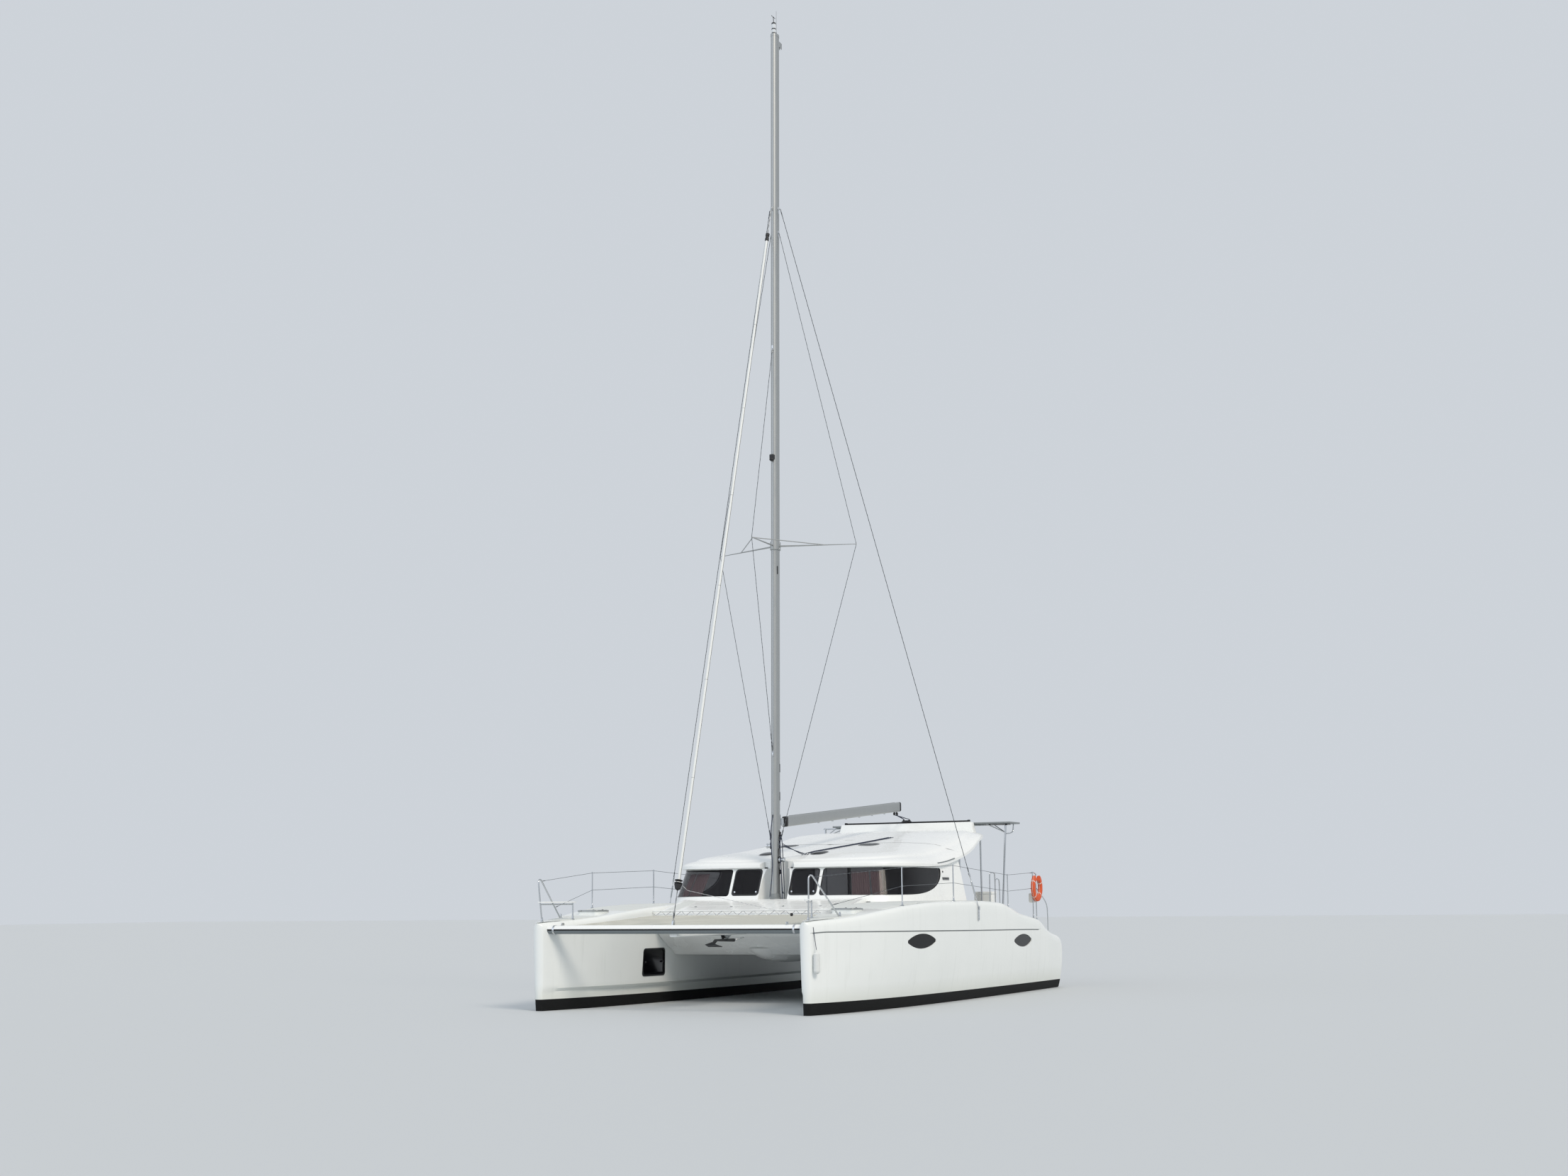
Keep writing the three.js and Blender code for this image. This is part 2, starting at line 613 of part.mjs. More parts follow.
const innerFaces = SIDES.map((side) => moved(hullForms[side.label], 0, -side.sign * SEAT_GAP, 0));
const deckTops = SIDES.map((side) => moved(hullForms[side.label], 0, 0, SEAT_GAP));
const bridgeShape = polygon(bridgeProfile.map(({ x, z }) => [z, x]));
const slab = extruded(bridgeShape, "y", -BRIDGE_HALF_WIDTH, BRIDGE_HALF_WIDTH);
const nacelle = loft(NACELLE_STATIONS.map(nacelleRing));
const aboveSlab = block(STERN_X, BOW_X, -CLEAR_Y, CLEAR_Y, FLOOR_Z - 100, OVERHEAD);
const nacelleUnder = cut(nacelle, aboveSlab);
const STERN_LOCKER = { x0: -5200, x1: -4850, y0: 1980, y1: 2420, topZ: 2260 };
const sternLocker = block(
  STERN_LOCKER.x0, STERN_LOCKER.x1, STERN_LOCKER.y0, STERN_LOCKER.y1, FLOOR_Z - 20, STERN_LOCKER.topZ,
);
const bridge = cut(join(slab, nacelleUnder, sternLocker), ...innerFaces, ...deckTops);
addPiece("bridgedeck", bridge, "gelcoat");
const bridgeTop = moved(bridge, 0, 0, SEAT_GAP);

// Coachroof and hardtop: one roof skin, split at the aft bulkhead

const WALL = {
  topZ: 2795, footZ: FLOOR_Z + SEAT_GAP, thickness: 45, midX: -900, backX: -2600, squareness: 5.2,
};
const WALL_FRONT = { x: 1935, z: 2210, slope: 0.474 }; // the foot of the raked windows
const WALL_SIDE = { y: 2820, z: 2200, slope: 0.2 }; // the foot of the side windows
const WINDOW_Z = { low: 2195, high: 2765 };
const frontAt = (z) => WALL_FRONT.x - WALL_FRONT.slope * (z - WALL_FRONT.z);
const halfWidthAt = (z) => WALL_SIDE.y - WALL_SIDE.slope * (z - WALL_SIDE.z);

// Plan outline of the deckhouse walls at a height, drawn in from the outer face.
function wallRing(z, inset) {
  const reach = frontAt(z) - inset - WALL.midX;
  const half = halfWidthAt(z) - inset;
  const points = [new THREE.Vector3(WALL.backX, -half, z)];
  const steps = 26;
  for (let i = 0; i <= steps; i++) {
    const turn = -Math.PI / 2 + (Math.PI * i) / steps;
    const across = Math.sign(turn) * Math.abs(Math.sin(turn)) ** (2 / WALL.squareness);
    const ahead = Math.max(0, Math.cos(turn)) ** (2 / WALL.squareness);
    points.push(new THREE.Vector3(WALL.midX + reach * ahead, half * across, z));
  }
  points.push(new THREE.Vector3(WALL.backX, half, z));
  return points;
}

function wallSolid(inset, top) {
  return loft([wallRing(WALL.footZ, inset), wallRing(top, inset)]);
}

const ROOF = {
  frontX: 1735, halfWidth: 2780, midX: -900, backX: -5950, frontPower: 5.2, backPower: 4.6,
  backTaper: 0.2, // share of the breadth that is lost at the aft edge
  spineBackX: -3600, spineFrontX: 300, // ends of the ridge that the rings close in on
};
const CROWN = [
  { x: 1800, z: 2935 },
  { x: 1000, z: 3095 },
  { x: 0, z: 3215 },
  { x: -1000, z: 3330 },
  { x: -2000, z: 3450 },
  { x: -3000, z: 3575 },
  { x: -4000, z: 3690 },
  { x: -5000, z: 3760 },
  { x: -5600, z: 3770 },
];
const crownAt = (x) => along(CROWN, "z", x);
const LIP = [
  { x: -400, z: 2785 },
  { x: -1000, z: 2835 },
  { x: -1500, z: 2905 },
  { x: -2000, z: 2985 },
  { x: -2500, z: 3080 },
  { x: -3000, z: 3200 },
  { x: -3500, z: 3350 },
  { x: -4000, z: 3455 },
  { x: -4600, z: 3510 },
  { x: -5950, z: 3530 },
];
const lipAt = (x) => along(LIP, "z", x);

// Roof rings from the lip inwards: share of the way out from the spine, height above the lip
// in millimetres, and then the share of the rest of the rise to the crown.
const ROOF_RINGS = [
  { out: 0.88, up: 0, rise: 0 },
  { out: 1, up: 0, rise: 0 },
  { out: 1, up: 70, rise: 0 },
  { out: 0.985, up: 110, rise: 0 },
  { out: 0.95, up: 120, rise: 0.2 },
  { out: 0.86, up: 120, rise: 0.5 },
  { out: 0.72, up: 120, rise: 0.76 },
  { out: 0.48, up: 120, rise: 0.94 },
  { out: 0.16, up: 120, rise: 1 },
];

function roofEdge(inset) {
  const points = [];
  const steps = 36;
  for (let i = 0; i < steps; i++) {
    const turn = (2 * Math.PI * i) / steps;
    const ahead = Math.cos(turn) > 0;
    const power = ahead ? ROOF.frontPower : ROOF.backPower;
    const reach = ahead ? ROOF.frontX - ROOF.midX : ROOF.midX - ROOF.backX;
    const x = Math.sign(Math.cos(turn)) * Math.abs(Math.cos(turn)) ** (2 / power);
    const y = Math.sign(Math.sin(turn)) * Math.abs(Math.sin(turn)) ** (2 / power);
    const narrow = ahead ? 1 : 1 - ROOF.backTaper * x * x;
    points.push([ROOF.midX + x * (reach - inset), y * narrow * (ROOF.halfWidth - inset)]);
  }
  return points;
}

// The roof as a solid. Where it reaches down, its foot lies that far below the lip.
function roofSolid(inset, drop, reachDown = 0, spread = 1) {
  const edge = roofEdge(inset);
  const ringAt = ({ out, up, rise }, lower) => edge.map(([x, y]) => {
    const spine = THREE.MathUtils.clamp(x, ROOF.spineBackX, ROOF.spineFrontX);
    const px = spine + out * (x - spine);
    const lip = lipAt(px) + up;
    const z = lip + rise * (crownAt(px) - lip) - lower;
    return new THREE.Vector3(px, out * y, z);
  });
  const rings = ROOF_RINGS.map((row) => ringAt(row, drop));
  if (reachDown > 0) {
    const foot = { out: spread, up: 0, rise: 0 };
    const brim = { out: spread, up: 70, rise: 0 };
    rings.splice(0, 2, ringAt(foot, reachDown), ...(spread > 1 ? [ringAt(brim, drop)] : []));
  }
  return loft(rings);
}

const ROOF_THICKNESS = 60;
const EAVE_WIDTH = 130; // of the solid rim round the hardtop's underside
const TALL = 3400; // above the brow, below the crown aft
const FAR_BELOW = { room: 1600, walls: 2200 };
const roofOuter = roofSolid(0, 0, 0);
const roofInner = roofSolid(EAVE_WIDTH, ROOF_THICKNESS, FAR_BELOW.room);

// Walls that rise to the roof and are trimmed by its surface.
function wallsUnderRoof(inset, drop) {
  return wallSolid(inset, TALL).intersect(roofSolid(0, drop, FAR_BELOW.walls, 1.2));
}

const house = join(wallsUnderRoof(0, 10), roofOuter);
const houseRoom = wallsUnderRoof(WALL.thickness, ROOF_THICKNESS);

// The mast stands in a half-round alcove that is open to the front and to the sky.
const ALCOVE = { x: 1880, openX: 2580, radius: 340, wall: 40, floorZ: FOREDECK.backZ - 20, topZ: 3600 };
function alcoveTool(radius, lowZ) {
  const shape = new THREE.Shape();
  shape.moveTo(ALCOVE.openX, -radius);
  shape.lineTo(ALCOVE.openX, radius);
  shape.lineTo(ALCOVE.x, radius);
  shape.absarc(ALCOVE.x, 0, radius, Math.PI / 2, 1.5 * Math.PI);
  return extruded(shape, "z", lowZ, ALCOVE.topZ, 10);
}

// The brow's inner corners curve back into the alcove.
const BROW_MOUTH = { x: 1610, radius: 150, lowZ: 2772 };
const MOUTH_STEPS = 6;
const mouthPoints = [];
for (let i = 0; i <= MOUTH_STEPS; i++) {
  const turn = (Math.PI * i) / (2 * MOUTH_STEPS);
  const x = BROW_MOUTH.x + BROW_MOUTH.radius * Math.sin(turn);
  const y = ALCOVE.radius + BROW_MOUTH.radius * (1 - Math.cos(turn));
  mouthPoints.push([x, y]);
}
const mirrorPoints = mouthPoints.map(([x, y]) => [x, -y]).reverse();
const browMouth = extruded(polygon([...mirrorPoints, ...mouthPoints]), "z", BROW_MOUTH.lowZ, TALL);

const alcoveLining = alcoveTool(ALCOVE.radius + ALCOVE.wall, ALCOVE.floorZ).intersect(house);
const FOREDECK_CAVITY = { x0: 1300, half: 2200, topZ: 2060 }; // the deckhouse front stops above it
const foredeckClearance = block(
  FOREDECK_CAVITY.x0, FOREDECK.frontX, -FOREDECK_CAVITY.half, FOREDECK_CAVITY.half,
  0, FOREDECK_CAVITY.topZ,
);
const aheadOfBulkhead = block(BULKHEAD.x, BOW_X, -CLEAR_Y, CLEAR_Y, 0, OVERHEAD);
const shell = join(cut(house, houseRoom), alcoveLining);

// Window openings, as the outline seen from ahead and the outline seen from the side
const OPENING_PORT = { inner: 350, outer: 1000, radius: 70, sillRise: 10 };
const LONG_WINDOW = {
  inner: 1065, backX: -830, radius: 60,
  corner: { x: 30, z: 40 }, // chamfer at the top of the aft edge
  sweep: { startZ: 330, startX: 40, endX: 700, lowX: 1100 }, // of the aft edge down to the sill
};
const GLASS_INSET = { outer: 8, inner: 20 };

function longWindowPrism(side, margin) {
  const { inner, radius, corner, sweep } = LONG_WINDOW;
  const backX = LONG_WINDOW.backX + margin;
  const low = WINDOW_Z.low + margin;
  const high = WINDOW_Z.high - margin;
  const fromAhead = roundedRectangle(inner + margin, CLEAR_Y, low, high, radius);
  const front = extruded(fromAhead, "x", STERN_X, BOW_X);
  const profile = new THREE.Shape();
  profile.moveTo(low, BOW_X);
  profile.lineTo(high, BOW_X);
  profile.lineTo(high, backX + corner.x);
  profile.lineTo(WINDOW_Z.high - corner.z, backX);
  profile.bezierCurveTo(
    WINDOW_Z.high - sweep.startZ, backX + sweep.startX, low, backX + sweep.endX, low, sweep.lowX,
  );
  const flank = extruded(profile, "y", 0, CLEAR_Y, 10);
  const port = front.intersect(flank);
  return side.sign > 0 ? port : mirrored(port);
}

function mirrored(body) {
  const geometry = geometryOf(body).scale(1, -1, 1);
  const order = geometry.index.array;
  for (let i = 0; i < order.length; i += 3) {
    [order[i + 1], order[i + 2]] = [order[i + 2], order[i + 1]];
  }
  return solid(geometry);
}

function openingPortPrism(side, margin) {
  const { inner, outer, radius, sillRise } = OPENING_PORT;
  const [low, high] = [WINDOW_Z.low + sillRise + margin, WINDOW_Z.high - margin];
  const outline = roundedRectangle(inner + margin, outer - margin, low, high, radius);
  const port = extruded(outline, "x", 0, BOW_X);
  return side.sign > 0 ? port : mirrored(port);
}

const glassShell = cut(
  wallSolid(GLASS_INSET.outer, WALL.topZ), wallSolid(GLASS_INSET.inner, WALL.topZ),
);
let coachroof = cut(
  shell.intersect(aheadOfBulkhead),
  alcoveTool(ALCOVE.radius, ALCOVE.floorZ),
  browMouth,
  foredeckClearance,
  bridgeTop,
  ...deckTops,
);
for (const side of SIDES) {
  coachroof = cut(coachroof, longWindowPrism(side, 0), openingPortPrism(side, 0));
  const longPane = glassShell.intersect(longWindowPrism(side, SEAT_GAP));
  addPiece(`window_long_${side.label}`, longPane, "tintedAcrylic");
  const openingPane = glassShell.intersect(openingPortPrism(side, SEAT_GAP));
  addPiece(`window_opening_${side.label}`, openingPane, "tintedAcrylic");
}
addPiece("coachroof", coachroof, "gelcoat");

// Aft bulkhead with a wide doorway and a door that slides across it
const DOORWAY = { half: 900, lowZ: FLOOR_Z + 60, highZ: 3080 };
const DOOR = { width: 960, thickness: 34, lowZ: FLOOR_Z + 40, highZ: 3130 };
const DOOR_LAP = 40; // the closed door reaches past the doorway's middle
const FIXED_LIGHT = { x0: -2040, x1: -2024, lap: 10, edgeY: -20 };
const SILL = { reach: 60, length: 1950 };
const bulkheadBack = BULKHEAD.x - BULKHEAD.thickness;
const bulkheadSlab = block(
  bulkheadBack, BULKHEAD.x - SEAT_GAP, -CLEAR_Y, CLEAR_Y, FLOOR_Z + SEAT_GAP, OVERHEAD,
);
const doorway = block(
  bulkheadBack - 100, BULKHEAD.x + 100, -DOORWAY.half, DOORWAY.half, DOORWAY.lowZ, DOORWAY.highZ,
);
const fixedLight = block(
  FIXED_LIGHT.x0, FIXED_LIGHT.x1, -DOORWAY.half - FIXED_LIGHT.lap, FIXED_LIGHT.edgeY,
  DOORWAY.lowZ - FIXED_LIGHT.lap, DOORWAY.highZ + FIXED_LIGHT.lap,
);
const bulkhead = cut(house.intersect(bulkheadSlab), doorway, ...deckTops, ...innerFaces);
const sill = block(
  bulkheadBack - SILL.reach, bulkheadBack + 10, -SILL.length / 2, SILL.length / 2,
  FLOOR_Z + SEAT_GAP, DOOR.lowZ - SEAT_GAP,
);
addPiece("aft_bulkhead", join(bulkhead, fixedLight, sill), "gelcoat");
const doorX = bulkheadBack - RUN_GAP;
const door = block(
  doorX - DOOR.thickness, doorX, -DOOR_LAP, DOOR.width - DOOR_LAP, DOOR.lowZ, DOOR.highZ,
);
addPiece("saloon_door", door, "tintedAcrylic");

// Hardtop over the cockpit, with the traveller's plinth and its four posts
const PLINTH = { x0: -5670, x1: -5430, half: 1800, endSlope: 90, footZ: 3620, topZ: 3945 };
const HARDTOP_POSTS = [
  { x: -2160, y: 2660 },
  { x: -4780, y: 2200 },
];
const HARDTOP_POST = { radius: 21, sunk: 60, footZ: 1400 };
const aftOfBulkhead = block(
  STERN_X, bulkheadBack - SEAT_GAP, -CLEAR_Y, CLEAR_Y, 0, OVERHEAD,
);
const plinthOutline = polygon([
  [-PLINTH.half, PLINTH.footZ],
  [PLINTH.half, PLINTH.footZ],
  [PLINTH.half - PLINTH.endSlope, PLINTH.topZ],
  [-PLINTH.half + PLINTH.endSlope, PLINTH.topZ],
]);
const hardtopSkin = cut(roofOuter, roofInner).intersect(aftOfBulkhead);
const plinth = cut(extruded(plinthOutline, "x", PLINTH.x0, PLINTH.x1), roofInner);
const posts = [];
for (const side of SIDES) {
  for (const { x, y } of HARDTOP_POSTS) {
    const foot = [x, side.sign * y, HARDTOP_POST.footZ];
    const top = [x, side.sign * y, lipAt(x) + HARDTOP_POST.sunk];
    posts.push(rod(foot, top, HARDTOP_POST.radius, 12));
  }
}
const hardtop = cut(join(hardtopSkin, plinth, ...posts), ...deckTops);
addPiece("hardtop", hardtop, "gelcoat");

const TRACK = { half: 1660, width: 46, height: 42 };
const CAR = { halfLength: 60, halfWidth: 110, sunk: 20, height: 90 };
const trackX = (PLINTH.x0 + PLINTH.x1) / 2;
const track = block(
  trackX - TRACK.width / 2, trackX + TRACK.width / 2, -TRACK.half, TRACK.half,
  PLINTH.topZ + SEAT_GAP, PLINTH.topZ + TRACK.height,
);
const car = block(
  trackX - CAR.halfLength, trackX + CAR.halfLength, -CAR.halfWidth, CAR.halfWidth,
  PLINTH.topZ + TRACK.height - CAR.sunk, PLINTH.topZ + CAR.height,
);
addPiece("traveller", join(track, car), "darkPlastic");

// Mast, with the gooseneck's two lugs and pin, the masthead crane and the wind instruments
const mastX = (z) => MAST.footX - MAST.rake * (z - MAST.footZ);

function mastRing(z, grow = 0) {
  const points = [];
  const steps = 20;
  for (let i = 0; i < steps; i++) {
    const turn = (2 * Math.PI * i) / steps;
    const x = mastX(z) + (MAST.halfChord + grow) * Math.cos(turn);
    points.push(new THREE.Vector3(x, (MAST.halfWidth + grow) * Math.sin(turn), z));
  }
  return points;
}

const goosePin = { x: BOOM.frontX, z: BOOM.frontZ, radius: 14, noseRadius: 46 };
const LUG = { gap: 76, halfThickness: 9, halfWidth: 42, reach: 40 };
const lugs = [1, -1].map((up) => {
  const z = goosePin.z + up * LUG.gap;
  return block(
    goosePin.x - LUG.reach, mastX(goosePin.z), -LUG.halfWidth, LUG.halfWidth,
    z - LUG.halfThickness, z + LUG.halfThickness,
  );
});
const pin = rod(
  [goosePin.x, 0, goosePin.z - LUG.gap], [goosePin.x, 0, goosePin.z + LUG.gap],
  goosePin.radius, 16,
);
const HEAD = { x: mastX(MAST.topZ), sunk: 20, lampX: 60, lampRadius: 50, lampHeight: 280 };
const CRANE = { reach: 300, halfWidth: 28, lowZ: -240, highZ: -80 };
const VANE = { height: 420, lean: 20, radius: 8, armDrop: 15, armBack: -20, armAhead: 160, armRadius: 9 };
const WHIP = { x: -80, radius: 6, height: 620 };
const TANG = {
  reach: 120, radius: 16, stayZ: HOUNDS_Z - 60, plateHeight: 80, plateLength: 250, plateHalf: 8,
};
const onHead = (x, z) => [HEAD.x + x, 0, MAST.topZ + z];
const crane = block(
  HEAD.x - CRANE.reach, HEAD.x, -CRANE.halfWidth, CRANE.halfWidth,
  MAST.topZ + CRANE.lowZ, MAST.topZ + CRANE.highZ,
);
const lampStem = rod(
  onHead(HEAD.lampX, -HEAD.sunk), onHead(HEAD.lampX, HEAD.lampHeight), HEAD.lampRadius, 12,
);
const vane = rod(
  onHead(HEAD.lampX, HEAD.lampHeight - HEAD.sunk), onHead(HEAD.lampX + VANE.lean, VANE.height),
  VANE.radius, 8,
);
const vaneArmZ = VANE.height - VANE.armDrop;
const vaneArm = rod(
  onHead(VANE.armBack, vaneArmZ), onHead(VANE.armAhead, vaneArmZ), VANE.armRadius, 8,
);
const whip = rod(onHead(WHIP.x, -HEAD.sunk), onHead(WHIP.x, WHIP.height), WHIP.radius, 6);
const houndsX = mastX(HOUNDS_Z);
const stayPlateAloft = block(
  houndsX, houndsX + TANG.plateLength, -TANG.plateHalf, TANG.plateHalf,
  TANG.stayZ, TANG.stayZ + TANG.plateHeight,
);
const shroudTang = rod(
  [houndsX, -TANG.reach, HOUNDS_Z], [houndsX, TANG.reach, HOUNDS_Z], TANG.radius, 8,
);
const mastTube = loft([mastRing(MAST.footZ + SEAT_GAP), mastRing(MAST.topZ)]);
addPiece(
  "mast",
  join(mastTube, ...lugs, pin, crane, lampStem, vane, vaneArm, whip, stayPlateAloft, shroudTang),
  "aluminium",
);

// Boom: a rounded box section that rises aft, its nose turning on the gooseneck pin
const BOOM_END = { x: goosePin.x - 140, share: 0.02, corner: 40, cornerSteps: 3 };
const LINK = { backX: goosePin.x - 150, frontX: goosePin.x - 20, halfWidth: 26, halfHeight: 50 };

function boomRing(x, share) {
  const z = THREE.MathUtils.lerp(BOOM.frontZ, BOOM.backZ, share);
  const [across, deep] = [BOOM.width / 2, BOOM.depth / 2];
  const outline = roundedRectangle(-across, across, -deep, deep, BOOM_END.corner);
  const points = outline.extractPoints(BOOM_END.cornerSteps).shape;
  return points.map((p) => new THREE.Vector3(x, p.x, z + p.y));
}

const boomTube = loft([boomRing(BOOM_END.x, BOOM_END.share), boomRing(BOOM.backX, 1)]);
const noseHeight = LUG.gap - LUG.halfThickness - RUN_GAP;
const nose = rod(
  [goosePin.x, 0, goosePin.z - noseHeight], [goosePin.x, 0, goosePin.z + noseHeight],
  goosePin.noseRadius, 16,
);
const noseLink = block(
  LINK.backX, LINK.frontX, -LINK.halfWidth, LINK.halfWidth,
  goosePin.z - LINK.halfHeight, goosePin.z + LINK.halfHeight,
);
const boomBore = rod(
  [goosePin.x, 0, goosePin.z - BOOM.depth], [goosePin.x, 0, goosePin.z + BOOM.depth],
  goosePin.radius + BEARING_GAP, 16,
);
addPiece("boom", cut(join(boomTube, nose, noseLink), boomBore), "aluminium");

// Spreaders with the forward strut and its braces, all carried by a collar on the mast
const STAY_RADIUS = 6;
const TIP_RADIUS = 11;
const TIP_OFFSET = 8.8; // from a tip's end to the stay that runs over it
const ARM_SWEEP = 0.37; // run aft per unit of reach, which the tip's offset follows
const DIAMOND = { lowZ: 3300, highZ: 16900, offset: 14 };
const JUMPER = { lowZ: 5200, highZ: 14200, offset: 8 };
const COLLAR = { halfHeight: 90, wall: 22, boreGap: 0.5 };
const ARM_RADIUS = 30;
const STRUT = { radius: 18, z: SPREADER_Z + 20 };
const BRACE = { radius: 11, share: 0.62, fromTip: 40 };
const rootX = mastX(SPREADER_Z);
const besideMast = (z) => [mastX(z), MAST.halfWidth + DIAMOND.offset, z];
const aheadOfMast = (z) => [mastX(z) + MAST.halfChord + JUMPER.offset, 0, z];
const diamondPoints = [
  besideMast(DIAMOND.highZ),
  [SPREADER_TIP.x - ARM_SWEEP * TIP_OFFSET, SPREADER_TIP.y + TIP_OFFSET, SPREADER_Z],
  besideMast(DIAMOND.lowZ),
];
const jumperPoints = [
  aheadOfMast(JUMPER.highZ),
  [STRUT_TIP_X + TIP_OFFSET, 0, STRUT.z],
  aheadOfMast(JUMPER.lowZ),
];
const mastSleeve = (halfHeight, grow) => loft([
  mastRing(SPREADER_Z - halfHeight, grow), mastRing(SPREADER_Z + halfHeight, grow),
]);
const collar = mastSleeve(COLLAR.halfHeight, COLLAR.wall);
const portArm = rod(
  [rootX, 0, SPREADER_Z], [SPREADER_TIP.x, SPREADER_TIP.y, SPREADER_Z], ARM_RADIUS, 10, TIP_RADIUS,
);
const arms = [portArm, mirrored(portArm)];
const braces = SIDES.map(({ sign }) => {
  const x = THREE.MathUtils.lerp(rootX, SPREADER_TIP.x, BRACE.share);
  const onArm = [x, sign * BRACE.share * SPREADER_TIP.y, SPREADER_Z];
  return rod([STRUT_TIP_X - BRACE.fromTip, 0, STRUT.z], onArm, BRACE.radius, 8);
});
const strut = rod(
  [rootX, 0, SPREADER_Z], [STRUT_TIP_X, 0, STRUT.z], STRUT.radius, 10, TIP_RADIUS,
);
const mastClearance = mastSleeve(4 * COLLAR.halfHeight, COLLAR.boreGap);
addPiece("spreaders", cut(join(collar, strut, ...arms, ...braces), mastClearance), "aluminium");

// Stays and shrouds: each shroud runs from a strap on the hull's side to the tang aloft
const SHROUD = {
  footX: -330, footY: HULL_Y + HULL_HALF_BEAM + 25, footZ: 1890, topY: 132, topZ: HOUNDS_Z - 8,
  radius: STAY_RADIUS + 1,
};
const SCREW = { lowZ: 2050, highZ: 2620, radius: 19 };
const STRAP = { halfLength: 35, thickness: 26, lowZ: 1640, highZ: 1920 };
const diamondStay = jointedTube(diamondPoints, STAY_RADIUS, 6);
for (const side of SIDES) {
  const { label, sign } = side;
  addPiece(`diamond_stay_${label}`, sign > 0 ? diamondStay : mirrored(diamondStay), "stainless");
  const foot = new THREE.Vector3(SHROUD.footX, sign * SHROUD.footY, SHROUD.footZ);
  const top = new THREE.Vector3(houndsX, sign * SHROUD.topY, SHROUD.topZ);
  const onShroud = (z) => foot.clone().lerp(top, (z - foot.z) / (top.z - foot.z)).toArray();
  const wire = rod(foot.toArray(), top.toArray(), SHROUD.radius, 6);
  const screw = rod(onShroud(SCREW.lowZ), onShroud(SCREW.highZ), SCREW.radius, 8);
  const skinY = HULL_Y + HULL_HALF_BEAM;
  const strap = sideBlock(
    side, SHROUD.footX - STRAP.halfLength, SHROUD.footX + STRAP.halfLength,
    skinY + SEAT_GAP, skinY + STRAP.thickness, STRAP.lowZ, STRAP.highZ,
  );
  addPiece(`shroud_${label}`, join(wire, screw, strap), "stainless");
}
addPiece("jumper_stay", jointedTube(jumperPoints, STAY_RADIUS, 6), "stainless");

// Forestay: aluminium foil with its furling drum, from the crossbeam to the mast's forward tang
const { x: beamX, z: beamZ, halfLength, halfDepth, halfHeight } = CROSSBEAM;
const FORESTAY = { footX: 6262, footZ: 1740, topX: 1745, topZ: TANG.stayZ - 3, radius: 8 };
const FOIL = { lowZ: 2480, highZ: 16600, radius: 32 };
const DRUM = { coneZ: 2330, lowZ: 2430, highZ: 2500, coneRadius: 60, radius: 82 };
const SWIVEL = { lowZ: 16590, highZ: 16800, radius: 44 };
const onForestay = (z) => {
  const share = (z - FORESTAY.footZ) / (FORESTAY.topZ - FORESTAY.footZ);
  return [THREE.MathUtils.lerp(FORESTAY.footX, FORESTAY.topX, share), 0, z];
};
const forestay = cut(
  join(
    rod(onForestay(FORESTAY.footZ), onForestay(FORESTAY.topZ), FORESTAY.radius, 8),
    rod(onForestay(FOIL.lowZ), onForestay(FOIL.highZ), FOIL.radius, 10),
    rod(onForestay(DRUM.lowZ), onForestay(DRUM.highZ), DRUM.radius, 16),
    rod(onForestay(DRUM.coneZ), onForestay(DRUM.lowZ), DRUM.coneRadius, 16, DRUM.radius),
    rod(onForestay(SWIVEL.lowZ), onForestay(SWIVEL.highZ), SWIVEL.radius, 12),
  ),
  block(beamX - 200, beamX + 200, -100, 100, beamZ, FORESTAY.footZ),
);
addPiece("forestay", forestay, "aluminium");

// Forward crossbeam with the forestay's bridle plate, and the longeron that runs aft to the foredeck
function ovalRing(x, y, z, halfX, halfZ, steps = 16) {
  const points = [];
  for (let i = 0; i < steps; i++) {
    const turn = (2 * Math.PI * i) / steps;
    points.push(new THREE.Vector3(x + halfX * Math.cos(turn), y, z + halfZ * Math.sin(turn)));
  }
  return points;
}

const BEAM_END_REACH = 120; // into the hulls, before their skins trim it
const STAY_PLATE = { backX: beamX - 110, frontX: beamX - 10, half: 14, lowZ: beamZ + 60 };
const tubeEnd = halfLength + BEAM_END_REACH;
const beamTube = loft([
  ovalRing(beamX, -tubeEnd, beamZ, halfDepth, halfHeight),
  ovalRing(beamX, tubeEnd, beamZ, halfDepth, halfHeight),
]);
const stayPlate = block(
  STAY_PLATE.backX, STAY_PLATE.frontX, -STAY_PLATE.half, STAY_PLATE.half,
  STAY_PLATE.lowZ, FORESTAY.footZ - SEAT_GAP,
);
addPiece("crossbeam", cut(join(beamTube, stayPlate), ...innerFaces), "aluminium");

const LONGERON = { frontX: beamX - halfDepth + 40, halfWidth: 80, topZ: 1590, depth: 170 };
const longeronBar = block(
  FOREDECK.frontX + SEAT_GAP, LONGERON.frontX, -LONGERON.halfWidth, LONGERON.halfWidth,
  LONGERON.topZ - LONGERON.depth, LONGERON.topZ,
);
const CHEEK = { inner: 40, outer: 52 };
const CHEEK_OUTLINE = [
  { x: 4230, z: 1440 },
  { x: 4190, z: 1340 },
  { x: 4090, z: 1340 },
  { x: 3900, z: 1440 },
];
const outlineOf = (points) => polygon(points.map(({ x, z }) => [z, x]));
const cheekPort = extruded(outlineOf(CHEEK_OUTLINE), "y", CHEEK.inner, CHEEK.outer);
const ROLLER = { x: 4140, z: 1378, radius: 32, half: 39, pinRadius: 12 };
const rollerRod = (half, radius, sides) => {
  return rod([ROLLER.x, -half, ROLLER.z], [ROLLER.x, half, ROLLER.z], radius, sides);
};
const rollerPin = rollerRod(CHEEK.outer, ROLLER.pinRadius, 10);
const roller = rollerRod(ROLLER.half, ROLLER.radius, 14);
